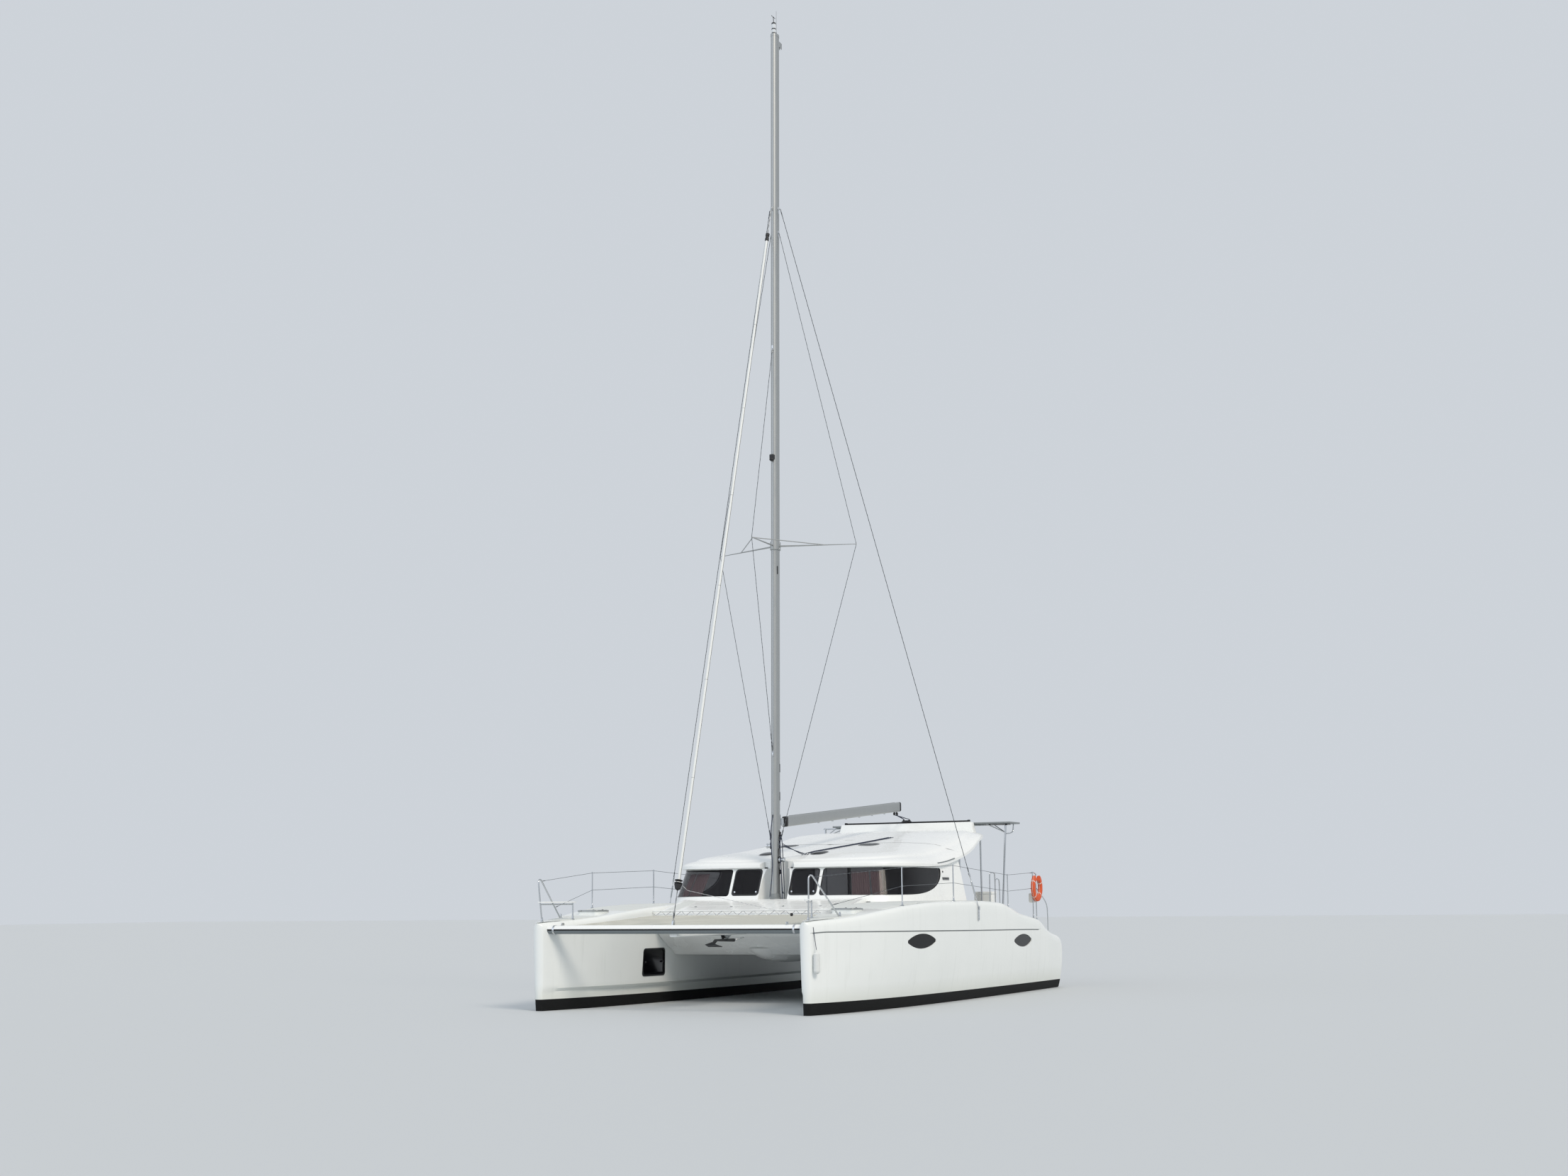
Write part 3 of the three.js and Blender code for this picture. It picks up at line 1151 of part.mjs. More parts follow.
const beamClearance = loft([
  ovalRing(beamX, -halfLength, beamZ, halfDepth + SEAT_GAP, halfHeight + SEAT_GAP),
  ovalRing(beamX, halfLength, beamZ, halfDepth + SEAT_GAP, halfHeight + SEAT_GAP),
]);
const longeron = join(longeronBar, cheekPort, mirrored(cheekPort), rollerPin, roller);
addPiece("longeron", cut(longeron, beamClearance), "aluminium");

// Plough anchor stowed under the longeron, its shank lying on the roller
const SHANK_HALF = 13;
const SHANK_OUTLINE = [
  { x: 4560, z: 1346 },
  { x: 3740, z: 1346 },
  { x: 3690, z: 1304 },
  { x: 3740, z: 1280 },
  { x: 4480, z: 1304 },
  { x: 4640, z: 1226 },
  { x: 4690, z: 1268 },
];
// Cross-sections of the fluke from heel to tip: ridge, the two edges and the hollow under the ridge.
const FLUKE_SECTIONS = [
  { ridge: [4700, 1290], edge: [4740, 136, 1244], hollow: [4680, 1232] },
  { ridge: [4560, 1250], edge: [4540, 160, 1196], hollow: [4550, 1202] },
  { ridge: [4260, 1202], edge: [4260, 12, 1190], hollow: [4260, 1187] },
];
const shank = extruded(outlineOf(SHANK_OUTLINE), "y", -SHANK_HALF, SHANK_HALF);
const fluke = loft(FLUKE_SECTIONS.map(({ ridge, edge: [x, y, z], hollow }) => [
  new THREE.Vector3(ridge[0], 0, ridge[1]),
  new THREE.Vector3(x, y, z),
  new THREE.Vector3(hollow[0], 0, hollow[1]),
  new THREE.Vector3(x, -y, z),
]));
const rollerClearance = rollerRod(ROLLER.half + 1, ROLLER.radius + SEAT_GAP, 14);
addPiece("anchor", cut(join(shank, fluke), rollerClearance), "stainless");

// Trampoline net between crossbeam, hulls and foredeck
const NET = {
  frontX: 6300, frontZ: 1600, backX: FOREDECK.frontX + SEAT_GAP, backZ: 1800, thickness: 14,
};
// Half-widths that reach into the hulls, before their skins trim the net.
const NET_WIDTHS = [
  { x: NET.frontX, half: 2720 },
  { x: 5200, half: 2500 },
  { x: 4200, half: 2330 },
  { x: NET.backX, half: 2230 },
];
const netHeight = (x) => {
  return THREE.MathUtils.mapLinear(x, NET.backX, NET.frontX, NET.backZ, NET.frontZ);
};
const netRing = ({ x, half }) => {
  const z = netHeight(x);
  return [
    new THREE.Vector3(x, -half, z),
    new THREE.Vector3(x, half, z),
    new THREE.Vector3(x, half, z + NET.thickness),
    new THREE.Vector3(x, -half, z + NET.thickness),
  ];
};
const netSheet = loft(NET_WIDTHS.map(netRing));
const plateClearance = block(
  STAY_PLATE.backX - 3, beamX, -STAY_PLATE.half - 3, STAY_PLATE.half + 3, beamZ, FORESTAY.footZ,
);
addPiece("trampoline", cut(netSheet, beamClearance, plateClearance, ...innerFaces), "mesh");

// Pulpits with their seats
const PULPIT = { radius: 15, seatZ: 2090, seatThickness: 22, postX: 5650, postY: 2640, postFootZ: 1720 };
const PULPIT_RAIL = [
  [6360, 2905, 1700],
  [6430, 2950, 2470],
  [6400, 2958, 2540],
  [6320, 2970, 2548],
  [5350, 3100, 1750],
];
const PULPIT_SEAT = [
  [6420, 2850],
  [6420, 3000],
  [5780, 3060],
  [5560, 2600],
  [5700, 2560],
];
for (const { label, sign } of SIDES) {
  const railing = jointedTube(PULPIT_RAIL.map(([x, y, z]) => [x, sign * y, z]), PULPIT.radius);
  const post = rod(
    [PULPIT.postX, sign * PULPIT.postY, PULPIT.postFootZ],
    [PULPIT.postX, sign * PULPIT.postY, PULPIT.seatZ + PULPIT.seatThickness / 2],
    PULPIT.radius, 8,
  );
  const seatOutline = polygon(PULPIT_SEAT.map(([x, y]) => [x, sign * y]));
  const seat = extruded(seatOutline, "z", PULPIT.seatZ, PULPIT.seatZ + PULPIT.seatThickness);
  addPiece(`pulpit_${label}`, cut(join(railing, post, seat), ...deckTops), "stainless");
}

// Stanchions, lifelines and stern rail of each side
const STANCHIONS = [
  { x: 3400, y: 3560, height: 760 },
  { x: 700, y: 3600, height: 760 },
  { x: -2700, y: 3590, height: 760 },
  { x: -4580, y: 3540, height: 1080 },
  { x: -4810, y: 3540, height: 1080 },
];
const POST = { radius: 13, sunk: 40 };
// Each line's distance below the posts' tops, and how far down the pulpit's brace it ends.
const LIFELINES = [
  { drop: 20, braceShare: 0.04 },
  { drop: 380, braceShare: 0.69 },
];
const LIFELINE_RADIUS = 5;
const HOOP = { radius: 12, startDrop: 320, steps: 8 };
const HOOP_PATH = [
  [-5700, 3470, 2000],
  [-5900, 3440, 1700],
  [-5930, 3430, 1230],
];
for (const { label, sign } of SIDES) {
  const tops = STANCHIONS.map(({ x, y, height }) => [x, sign * y, deckHeight(x) + height]);
  const bodies = STANCHIONS.map(({ x, y }, i) => {
    return rod([x, sign * y, deckHeight(x) - POST.sunk], tops[i], POST.radius, 8);
  });
  const [braceTop, braceFoot] = PULPIT_RAIL.slice(-2);
  for (const { drop, braceShare } of LIFELINES) {
    const [x, y, z] = braceTop.map((a, i) => THREE.MathUtils.lerp(a, braceFoot[i], braceShare));
    const points = tops.slice(0, 4).map(([postX, postY, postZ]) => [postX, postY, postZ - drop]);
    bodies.push(jointedTube([[x, sign * y, z], ...points], LIFELINE_RADIUS, 6));
  }
  const [lastX, lastY, lastZ] = tops[4];
  bodies.push(rod(tops[3], tops[4], POST.radius, 8));
  const hoop = bentTube(
    [[lastX, lastY, lastZ - HOOP.startDrop], ...HOOP_PATH.map(([x, y, z]) => [x, sign * y, z])],
    HOOP.radius, HOOP.steps, 6,
  );
  bodies.push(hoop);
  const railPath = PULPIT_RAIL.map(([x, y, z]) => [x, sign * y, z]);
  const railClearance = jointedTube(railPath, PULPIT.radius + SEAT_GAP);
  addPiece(`lifelines_${label}`, cut(join(...bodies), ...deckTops, railClearance), "stainless");
}

// Horseshoe lifebuoy against the outside of the two port rail posts, its gap at the top
const LIFEBUOY = {
  x: -4695, y: STANCHIONS[3].y + POST.radius + SEAT_GAP, z: 2350,
  outer: 325, inner: 180, thickness: 90, halfGap: THREE.MathUtils.degToRad(32),
};
const buoyShape = new THREE.Shape();
buoyShape.absarc(0, 0, LIFEBUOY.outer, LIFEBUOY.halfGap, 2 * Math.PI - LIFEBUOY.halfGap);
buoyShape.absarc(0, 0, LIFEBUOY.inner, 2 * Math.PI - LIFEBUOY.halfGap, LIFEBUOY.halfGap, true);
const buoy = extruded(buoyShape, "y", LIFEBUOY.y, LIFEBUOY.y + LIFEBUOY.thickness, 10);
addPiece("lifebuoy", moved(buoy, LIFEBUOY.x, 0, LIFEBUOY.z), "lifebuoyOrange");

// Stern arch: two poles on the aft beam and a solar panel across them
const PANEL = { x0: -6500, x1: -5760, y0: -2100, y1: 2600, z: 3900, thickness: 38 };
const ARCH = {
  footX: -5820, footY: 2300, footZ: 1100, topX: -6000, topY: 2410, radius: 24,
  tubeRadius: 20, tubeLap: 2, tubeStartY: -2450, tubeEndY: 2540,
};
const tubeZ = PANEL.z - ARCH.tubeRadius + ARCH.tubeLap;
const archPoles = SIDES.map(({ sign }) => {
  const foot = [ARCH.footX, sign * ARCH.footY, ARCH.footZ];
  return rod(foot, [ARCH.topX, sign * ARCH.topY, tubeZ], ARCH.radius, 10);
});
const crossTube = rod(
  [ARCH.topX, ARCH.tubeStartY, tubeZ], [ARCH.topX, ARCH.tubeEndY, tubeZ], ARCH.tubeRadius, 10,
);
const solarPanel = block(PANEL.x0, PANEL.x1, PANEL.y0, PANEL.y1, PANEL.z, PANEL.z + PANEL.thickness);
const arch = join(solarPanel, crossTube, ...archPoles);
addPiece("stern_arch", cut(arch, bridgeTop, ...deckTops), "photovoltaic");

// Cockpit and saloon furniture
const sole = FLOOR_Z + SEAT_GAP;
const SEAT_TOP = { cockpit: FLOOR_Z + 420, saloon: FLOOR_Z + 430, helm: 1900 };
const TABLE = { topZ: FLOOR_Z + 730, lowZ: FLOOR_Z + 690, halfColumn: 50, halfFoot: 200, footHeight: 30 };

// A table top on one column with a square foot.
function pedestalTable(x0, x1, y0, y1, columnX) {
  const columnY = (y0 + y1) / 2;
  const square = (half, lowZ, highZ) => block(
    columnX - half, columnX + half, columnY - half, columnY + half, lowZ, highZ,
  );
  return join(
    block(x0, x1, y0, y1, TABLE.lowZ, TABLE.topZ),
    square(TABLE.halfColumn, sole, TABLE.lowZ + 10),
    square(TABLE.halfFoot, sole, FLOOR_Z + TABLE.footHeight),
  );
}

const cockpitSeat = join(
  block(-5600, -3300, -2000, -1450, sole, SEAT_TOP.cockpit),
  block(-5600, -5050, -2000, 300, sole, SEAT_TOP.cockpit),
);
addPiece("cockpit_settee", cockpitSeat, "upholstery");
addPiece("cockpit_table", pedestalTable(-4750, -3750, -1150, -350, -4250), "teak");
const saloonSeat = join(
  block(-900, 1250, -1980, -1400, sole, SEAT_TOP.saloon),
  block(750, 1250, -1980, 200, sole, SEAT_TOP.saloon),
);
addPiece("saloon_settee", saloonSeat, "upholstery");
addPiece("saloon_table", pedestalTable(-600, 500, -1150, -450, -50), "teak");
addPiece("galley", block(-1700, 1200, 1350, 1980, sole, FLOOR_Z + 900), "teak");

// Helm station by the aft bulkhead: console, wheel shaft and seat
const HELM = { y: 1700, innerY: 1370, outerY: 1980, axleX0: -2300, axleX1: -2500, axleRadius: 12 };
const WHEEL = {
  x: -2462, z: 2150, radius: 330, rimRadius: 14, spokes: 5, spokeRadius: 8,
  hubRadius: 45, hubHalf: 26, boreHalf: 60,
};
const CONSOLE_PROFILE = [
  { x: -2110, z: sole },
  { x: -2400, z: sole },
  { x: -2380, z: 2250 },
  { x: -2110, z: 2400 },
];
const HELM_SEAT = { x0: -3350, x1: -2950, innerY: 1350 };
const onWheelAxis = (x) => [x, HELM.y, WHEEL.z];
const consoleBody = extruded(outlineOf(CONSOLE_PROFILE), "y", HELM.innerY, HELM.outerY);
const axle = rod(onWheelAxis(HELM.axleX0), onWheelAxis(HELM.axleX1), HELM.axleRadius, 16);
addPiece("helm_console", join(consoleBody, axle), "gelcoat");
const helmSeat = block(
  HELM_SEAT.x0, HELM_SEAT.x1, HELM_SEAT.innerY, HELM.outerY, sole, SEAT_TOP.helm,
);
addPiece("helm_seat", helmSeat, "upholstery");

const rim = new THREE.TorusGeometry(WHEEL.radius, WHEEL.rimRadius, 6, 24).rotateY(Math.PI / 2);
const spokes = [];
for (let i = 0; i < WHEEL.spokes; i++) {
  const turn = (2 * Math.PI * i) / WHEEL.spokes;
  const y = HELM.y + WHEEL.radius * Math.sin(turn);
  const z = WHEEL.z + WHEEL.radius * Math.cos(turn);
  spokes.push(rod(onWheelAxis(WHEEL.x), [WHEEL.x, y, z], WHEEL.spokeRadius, 6));
}
const alongWheelAxis = (half, radius) => {
  return rod(onWheelAxis(WHEEL.x - half), onWheelAxis(WHEEL.x + half), radius, 16);
};
const wheelHub = alongWheelAxis(WHEEL.hubHalf, WHEEL.hubRadius);
const wheelBore = alongWheelAxis(WHEEL.boreHalf, HELM.axleRadius + BEARING_GAP);
const wheelRim = solid(rim.translate(WHEEL.x, HELM.y, WHEEL.z));
addPiece("steering_wheel", cut(join(wheelRim, wheelHub, ...spokes), wheelBore), "stainless");

// Fender that lies against the port bow, hung by its line from the gunwale
const FENDER = {
  x: 6430, y: 3098, z: 750, radius: 62, length: 440, shoulder: 80, neckRadius: 25, eyeRadius: 14,
  lineRadius: 6, lineLap: 20, hangY: 3036, hangZ: 1610,
};
const FENDER_PROFILE = [
  { radius: 0, height: 0 },
  { radius: FENDER.neckRadius, height: 8 },
  { radius: FENDER.radius, height: 40 },
  { radius: FENDER.radius, height: FENDER.length - FENDER.shoulder },
  { radius: FENDER.neckRadius, height: FENDER.length - 0.6 * FENDER.shoulder },
  { radius: FENDER.eyeRadius, height: FENDER.length },
  { radius: 0, height: FENDER.length },
];
const fenderProfile = FENDER_PROFILE.map(({ radius, height }) => new THREE.Vector2(radius, height));
const fenderBody = new THREE.LatheGeometry(fenderProfile, 14);
fenderBody.rotateX(Math.PI / 2).translate(FENDER.x, FENDER.y, FENDER.z);
const fenderLine = rod(
  [FENDER.x, FENDER.y, FENDER.z + FENDER.length - FENDER.lineLap],
  [FENDER.x, FENDER.hangY, FENDER.hangZ],
  FENDER.lineRadius, 8,
);
const portSkin = moved(hullForms.port, 0, SEAT_GAP, 0);
addPiece("fender", cut(join(solid(fenderBody), fenderLine), portSkin), "mesh");

export default boat;
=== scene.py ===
"""Sailing catamaran afloat: detailed pieces, finishes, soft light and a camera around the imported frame."""
import logging
import math
from dataclasses import dataclass
from enum import Enum
from functools import cached_property
from typing import Callable, Iterable, Sequence

import bmesh
import bpy
from mathutils import Matrix, Vector
from mathutils.bvhtree import BVHTree


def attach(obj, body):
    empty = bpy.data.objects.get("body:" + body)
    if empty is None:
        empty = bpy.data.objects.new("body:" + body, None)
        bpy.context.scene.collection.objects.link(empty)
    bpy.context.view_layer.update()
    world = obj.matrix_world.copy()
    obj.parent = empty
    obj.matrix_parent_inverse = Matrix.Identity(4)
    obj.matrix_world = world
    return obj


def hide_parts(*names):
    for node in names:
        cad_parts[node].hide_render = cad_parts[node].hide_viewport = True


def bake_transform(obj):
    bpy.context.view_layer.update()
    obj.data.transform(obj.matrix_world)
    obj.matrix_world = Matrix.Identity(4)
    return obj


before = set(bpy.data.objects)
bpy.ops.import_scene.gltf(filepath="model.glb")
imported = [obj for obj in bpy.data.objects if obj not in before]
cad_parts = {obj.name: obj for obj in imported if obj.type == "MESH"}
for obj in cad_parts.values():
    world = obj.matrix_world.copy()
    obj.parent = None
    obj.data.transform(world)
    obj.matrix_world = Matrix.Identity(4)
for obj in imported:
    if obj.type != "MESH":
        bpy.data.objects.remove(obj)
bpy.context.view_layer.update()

log = logging.getLogger("catamaran")
Shape = tuple[list[Vector], list[tuple[int, ...]]]
Point = Sequence[float]
Outline = Sequence[tuple[float, float]]
Object = bpy.types.Object
Socket = bpy.types.NodeSocket
Tree = bpy.types.NodeTree

# Radius that a turned body's closed end is left with, so that its cap stays a face
POLE_RADIUS = 0.0004

# Driving sizes in metres, the same as the solids'
BOW_X = 6.55
STERN_X = -6.55
HULL_Y = 2.9
FLOOR_Z = 1.22
BULKHEAD_X = -2.0
MAST_FOOT = Vector((1.8, 0.0, 2.13))
MAST_TOP_Z = 21.65
MAST_RAKE = 0.01701
HALF_CHORD = 0.13
HALF_WIDTH = 0.083
MAST_POINTS = 40
HOUNDS_Z = 17.46
SPREADER_Z = 9.74
SPREADER_TIP = Vector((1.08, 1.66, SPREADER_Z))
STRUT_TIP = (2.81, 0.0, 9.76)
GOOSENECK_X, GOOSENECK_Z = 1.49, 3.76
BOOM_END_X, BOOM_END_Z = -5.08, 4.34
SHEET_X = -4.86
CROSSBEAM = Vector((6.32, 0.0, 1.565))


class Side(Enum):
    """The two sides of the boat, with the sign of Y."""

    PORT = 1
    STARBOARD = -1

    @property
    def label(self) -> str:
        """Name of the side as the nodes write it."""
        return self.name.lower()


# Small mathematics


def linear(hex_colour: str) -> tuple[float, float, float, float]:
    """Turn an sRGB hex colour into linear RGBA.

    Args:
        hex_colour: Colour such as "#c9cccd".

    Returns:
        Linear red, green and blue, with alpha 1.
    """
    channels = [int(hex_colour[i:i + 2], 16) / 255 for i in (1, 3, 5)]
    red, green, blue = [c / 12.92 if c <= 0.04045 else ((c + 0.055) / 1.055) ** 2.4 for c in channels]
    return red, green, blue, 1.0


def lerp(a: float, b: float, share: float) -> float:
    """Value at a share of the way from a to b."""
    return a + (b - a) * share


def smooth_table(rows: Sequence[Sequence[float]], x: float, column: int) -> float:
    """Read a column of a table at x along a smooth curve through its rows.

    Args:
        rows: Rows whose first value is x, falling from row to row.
        x: Where to read.
        column: Which value of the row.

    Returns:
        The value on a monotone cubic through the neighbouring rows.
    """
    if x >= rows[0][0]:
        return rows[0][column]
    if x <= rows[-1][0]:
        return rows[-1][column]
    i = next(k for k in range(len(rows) - 1) if rows[k + 1][0] <= x)
    gap = rows[i][0] - rows[i + 1][0]
    share = (rows[i][0] - x) / gap

    def slope(k: int) -> float:
        """Slope of the curve at row k, flat where the table turns back.

        Args:
            k: Number of the row.

        Returns:
            The slope there.
        """
        if k == 0 or k == len(rows) - 1:
            j = 0 if k == 0 else k - 1
            return (rows[j + 1][column] - rows[j][column]) / (rows[j + 1][0] - rows[j][0])
        before = (rows[k][column] - rows[k - 1][column]) / (rows[k][0] - rows[k - 1][0])
        after = (rows[k + 1][column] - rows[k][column]) / (rows[k + 1][0] - rows[k][0])
        return 0.0 if before * after <= 0 else 2 * before * after / (before + after)

    start, end = rows[i][column], rows[i + 1][column]
    square, cube = share * share, share ** 3
    return (
        (2 * cube - 3 * square + 1) * start
        - (cube - 2 * square + share) * gap * slope(i)
        + (3 * square - 2 * cube) * end
        - (cube - square) * gap * slope(i + 1)
    )


def spline(points: Sequence[Point], steps: int) -> list[Vector]:
    """Points on a Catmull-Rom curve through the given ones.

    Args:
        points: Two or more points of the same length.
        steps: Stretches that each gap is divided into.

    Returns:
        The dense points, both ends included.
    """
    known = [Vector(p) for p in points]
    ends = [known[0] * 2 - known[1], *known, known[-1] * 2 - known[-2]]
    dense = []
    for i in range(1, len(ends) - 2):
        a, b, c, d = ends[i - 1:i + 3]
        for k in range(steps):
            t = k / steps
            dense.append(0.5 * (2 * b + (c - a) * t + (2 * a - 5 * b + 4 * c - d) * t * t
                                + (3 * b - a - 3 * c + d) * t ** 3))
    return [*dense, known[-1]]


def resampled(points: Sequence[Vector], count: int) -> list[Vector]:
    """Evenly spaced points along a polyline, both ends included.

    Args:
        points: The polyline.
        count: How many points are wanted.

    Returns:
        The even points.
    """
    lengths = [0.0]
    for a, b in zip(points, points[1:]):
        lengths.append(lengths[-1] + (b - a).length)
    out = []
    k = 0
    for i in range(count):
        wanted = lengths[-1] * i / (count - 1)
        while k < len(points) - 2 and lengths[k + 1] < wanted:
            k += 1
        span = lengths[k + 1] - lengths[k]
        out.append(points[k].lerp(points[k + 1], (wanted - lengths[k]) / span if span else 0.0))
    return out


# Shapes: closed bodies as vertices and faces


def loft(rings: Sequence[Sequence[Point]]) -> Shape:
    """A closed body through rings of equally many points, capped at both ends.

    Args:
        rings: The rings, first to last.

    Returns:
        The body, its caps one face each.
    """
    count = len(rings[0])
    verts = [Vector(p) for ring in rings for p in ring]
    faces: list[tuple[int, ...]] = []
    for r in range(len(rings) - 1):
        for i in range(count):
            a, b = r * count + i, r * count + (i + 1) % count
            faces.append((a, b, b + count, a + count))
    faces.append(tuple(reversed(range(count))))
    last = (len(rings) - 1) * count
    faces.append(tuple(range(last, last + count)))
    return verts, faces


def joined(shapes: Iterable[Shape]) -> Shape:
    """Several shapes as one list of vertices and faces.

    Args:
        shapes: The shapes, in order.

    Returns:
        One shape that holds them all.
    """
    verts: list[Vector] = []
    faces: list[tuple[int, ...]] = []
    for more_verts, more_faces in shapes:
        start = len(verts)
        verts += more_verts
        faces += [tuple(i + start for i in face) for face in more_faces]
    return verts, faces


def moved(shape: Shape, x: float = 0.0, y: float = 0.0, z: float = 0.0) -> Shape:
    """The shape, shifted."""
    return [v + Vector((x, y, z)) for v in shape[0]], shape[1]


def turned(shape: Shape, angle: float, axis: str, about: Point) -> Shape:
    """The shape, turned about an axis through a point, in degrees.

    Args:
        shape: What is turned.
        angle: Degrees, by the right hand.
        axis: Direction of the axis.
        about: A point of the axis.

    Returns:
        The turned shape.
    """
    spin = Matrix.Rotation(math.radians(angle), 3, axis)
    centre = Vector(about)
    return [spin @ (v - centre) + centre for v in shape[0]], shape[1]


def to_side(shape: Shape, side: Side) -> Shape:
    """The shape as drawn for port, or mirrored to starboard.

    Args:
        shape: As drawn for port.
        side: Port or starboard.

    Returns:
        The shape on its side, with its faces outwards.
    """
    if side is Side.PORT:
        return shape
    return [Vector((v.x, -v.y, v.z)) for v in shape[0]], [tuple(reversed(face)) for face in shape[1]]


def both_sides(shape: Shape) -> Shape:
    """The shape and its mirror image together."""
    return joined([shape, to_side(shape, Side.STARBOARD)])


def on_circle(number: float, count: float, size: float = 1.0) -> tuple[float, float]:
    """Cosine and sine of one of the places that divide a circle evenly, times a size."""
    turn = math.tau * number / count
    return size * math.cos(turn), size * math.sin(turn)


def boom_z(x: float) -> float:
    """Height of the boom's middle at x."""
    return lerp(GOOSENECK_Z, BOOM_END_Z, (GOOSENECK_X - x) / (GOOSENECK_X - BOOM_END_X))


def frame_along(direction: Vector) -> tuple[Vector, Vector]:
    """Two unit vectors square to a direction and to each other.

    Args:
        direction: The direction, of any length.

    Returns:
        The two unit vectors.
    """
    helper = Vector((0, 0, 1)) if abs(direction.z) < 0.9 else Vector((1, 0, 0))
    across = direction.cross(helper).normalized()
    return across, across.cross(direction).normalized()


def tube(points: Sequence[Point], radius: float, sides: int = 10, end_radius: float | None = None) -> Shape:
    """A round tube along a polyline, with mitred rings and flat ends.

    Args:
        points: The line that the tube follows.
        radius: Radius at the start.
        sides: Sides of the section.
        end_radius: Radius at the end, where it tapers.

    Returns:
        The closed tube.
    """
    path = [Vector(p) for p in points]
    headings = [(b - a).normalized() for a, b in zip(path, path[1:])]
    across, up = frame_along(headings[0])
    last = radius if end_radius is None else end_radius
    rings = []
    for i, p in enumerate(path):
        before = headings[max(0, i - 1)]
        after = headings[min(i, len(headings) - 1)]
        facing = (before + after).normalized()
        if i:
            across = (across - facing * across.dot(facing)).normalized()
            up = across.cross(facing).normalized() * (1 if across.cross(facing).dot(up) > 0 else -1)
        size = lerp(radius, last, i / (len(path) - 1))
        rings.append([p + across * c + up * s for c, s in (on_circle(k, sides, size) for k in range(sides))])
    return loft(rings)


def bent(points: Sequence[Point], radius: float, steps: int = 6, sides: int = 10) -> Shape:
    """A round tube along a smooth curve through the points."""
    return tube(spline(points, steps), radius, sides)


def lathe(profile: Outline, foot: Point, axis: Point, sides: int = 20) -> Shape:
    """A turned body: pairs of radius and height along an axis from a foot point.

    Args:
        profile: Pairs of radius and height.
        foot: Where the height is nothing.
        axis: Direction of the height.
        sides: Points round the axis.

    Returns:
        The closed body.
    """
    direction = Vector(axis).normalized()
    across, up = frame_along(direction)
    start = Vector(foot)
    rings = []
    for radius, height in profile:
        size = max(radius, POLE_RADIUS)
        rings.append([start + direction * height + across * c + up * s
                      for c, s in (on_circle(k, sides, size) for k in range(sides))])
    return loft(rings)


def ball(centre: Point, radius: float, sides: int = 12) -> Shape:
    """A round ball.

    Args:
        centre: Its middle.
        radius: Its radius.
        sides: Points round it.

    Returns:
        The closed ball.
    """
    steps = sides // 2
    profile = [
        (radius * math.sin(math.pi * k / steps), -radius * math.cos(math.pi * k / steps))
        for k in range(steps + 1)
    ]
    return lathe(profile, centre, (0, 0, 1), sides)


def box(low: Point, high: Point, bevel: float = 0.004, segments: int = 2) -> Shape:
    """A block between two corners with rounded edges.

    Args:
        low: The corner of the least coordinates.
        high: The corner of the greatest.
        bevel: Width of the rounding.
        segments: Steps of the rounding.

    Returns:
        The closed block.
    """
    bm = bmesh.new()
    bmesh.ops.create_cube(bm, size=1.0)
    lo, hi = Vector(low), Vector(high)
    for v in bm.verts:
        v.co = Vector([lerp(lo[i], hi[i], v.co[i] + 0.5) for i in range(3)])
    if bevel:
        size = min(bevel, 0.49 * min(hi - lo))
        bmesh.ops.bevel(bm, geom=list(bm.edges), offset=size, segments=segments, profile=0.5, affect="EDGES")
    return taken(bm)


def taken(bm: bmesh.types.BMesh) -> Shape:
    """Turn a bmesh into a shape and free it.

    Args:
        bm: The bmesh, freed after this.

    Returns:
        Its points and faces.
    """
    bm.verts.index_update()
    shape = [v.co.copy() for v in bm.verts], [tuple(v.index for v in f.verts) for f in bm.faces]
    bm.free()
    return shape


def prism(outline: Outline, axis: str, low: float, high: float, bevel: float = 0.0) -> Shape:
    """An outline extruded along an axis.

    Args:
        outline: Points in y,z along x; in x,z along y; in x,y along z.
        axis: The axis to extrude along.
        low: Where it starts.
        high: Where it ends.
        bevel: Rounding of the two ends' edges.

    Returns:
        The closed prism.
    """
    place = {
        "x": lambda a, b, c: Vector((c, a, b)),
        "y": lambda a, b, c: Vector((a, c, b)),
        "z": lambda a, b, c: Vector((a, b, c)),
    }[axis]
    if not bevel:
        return loft([[place(a, b, c) for a, b in outline] for c in (low, high)])
    middle = Vector((sum(p[0] for p in outline), sum(p[1] for p in outline))) / len(outline)
    rings = []
    for c, inset in ((low, 1.0), (low + 0.3 * bevel, 0.3), (low + bevel, 0.0),
                     (high - bevel, 0.0), (high - 0.3 * bevel, 0.3), (high, 1.0)):
        ring = []
        for a, b in outline:
            off = Vector((a, b)) - middle
            shrunk = middle + off * max(0.1, 1 - inset * bevel / max(off.length, 1e-6))
            ring.append(place(shrunk.x, shrunk.y, c))
        rings.append(ring)
    return loft(rings)


def rounded(a0: float, a1: float, b0: float, b1: float, radius: float,
            steps: int = 6) -> list[tuple[float, float]]:
    """Outline of a rectangle with round corners.

    Args:
        a0: Least of the first coordinate.
        a1: Greatest of the first.
        b0: Least of the second.
        b1: Greatest of the second.
        radius: Of the corners.
        steps: Steps of each corner.

    Returns:
        Points of the outline, anticlockwise.
    """
    corners = ((a1 - radius, b0 + radius, -90), (a1 - radius, b1 - radius, 0),
               (a0 + radius, b1 - radius, 90), (a0 + radius, b0 + radius, 180))
    return [
        (a + radius * math.cos(math.radians(start + 90 * k / steps)),
         b + radius * math.sin(math.radians(start + 90 * k / steps)))
        for a, b, start in corners for k in range(steps + 1)
    ]


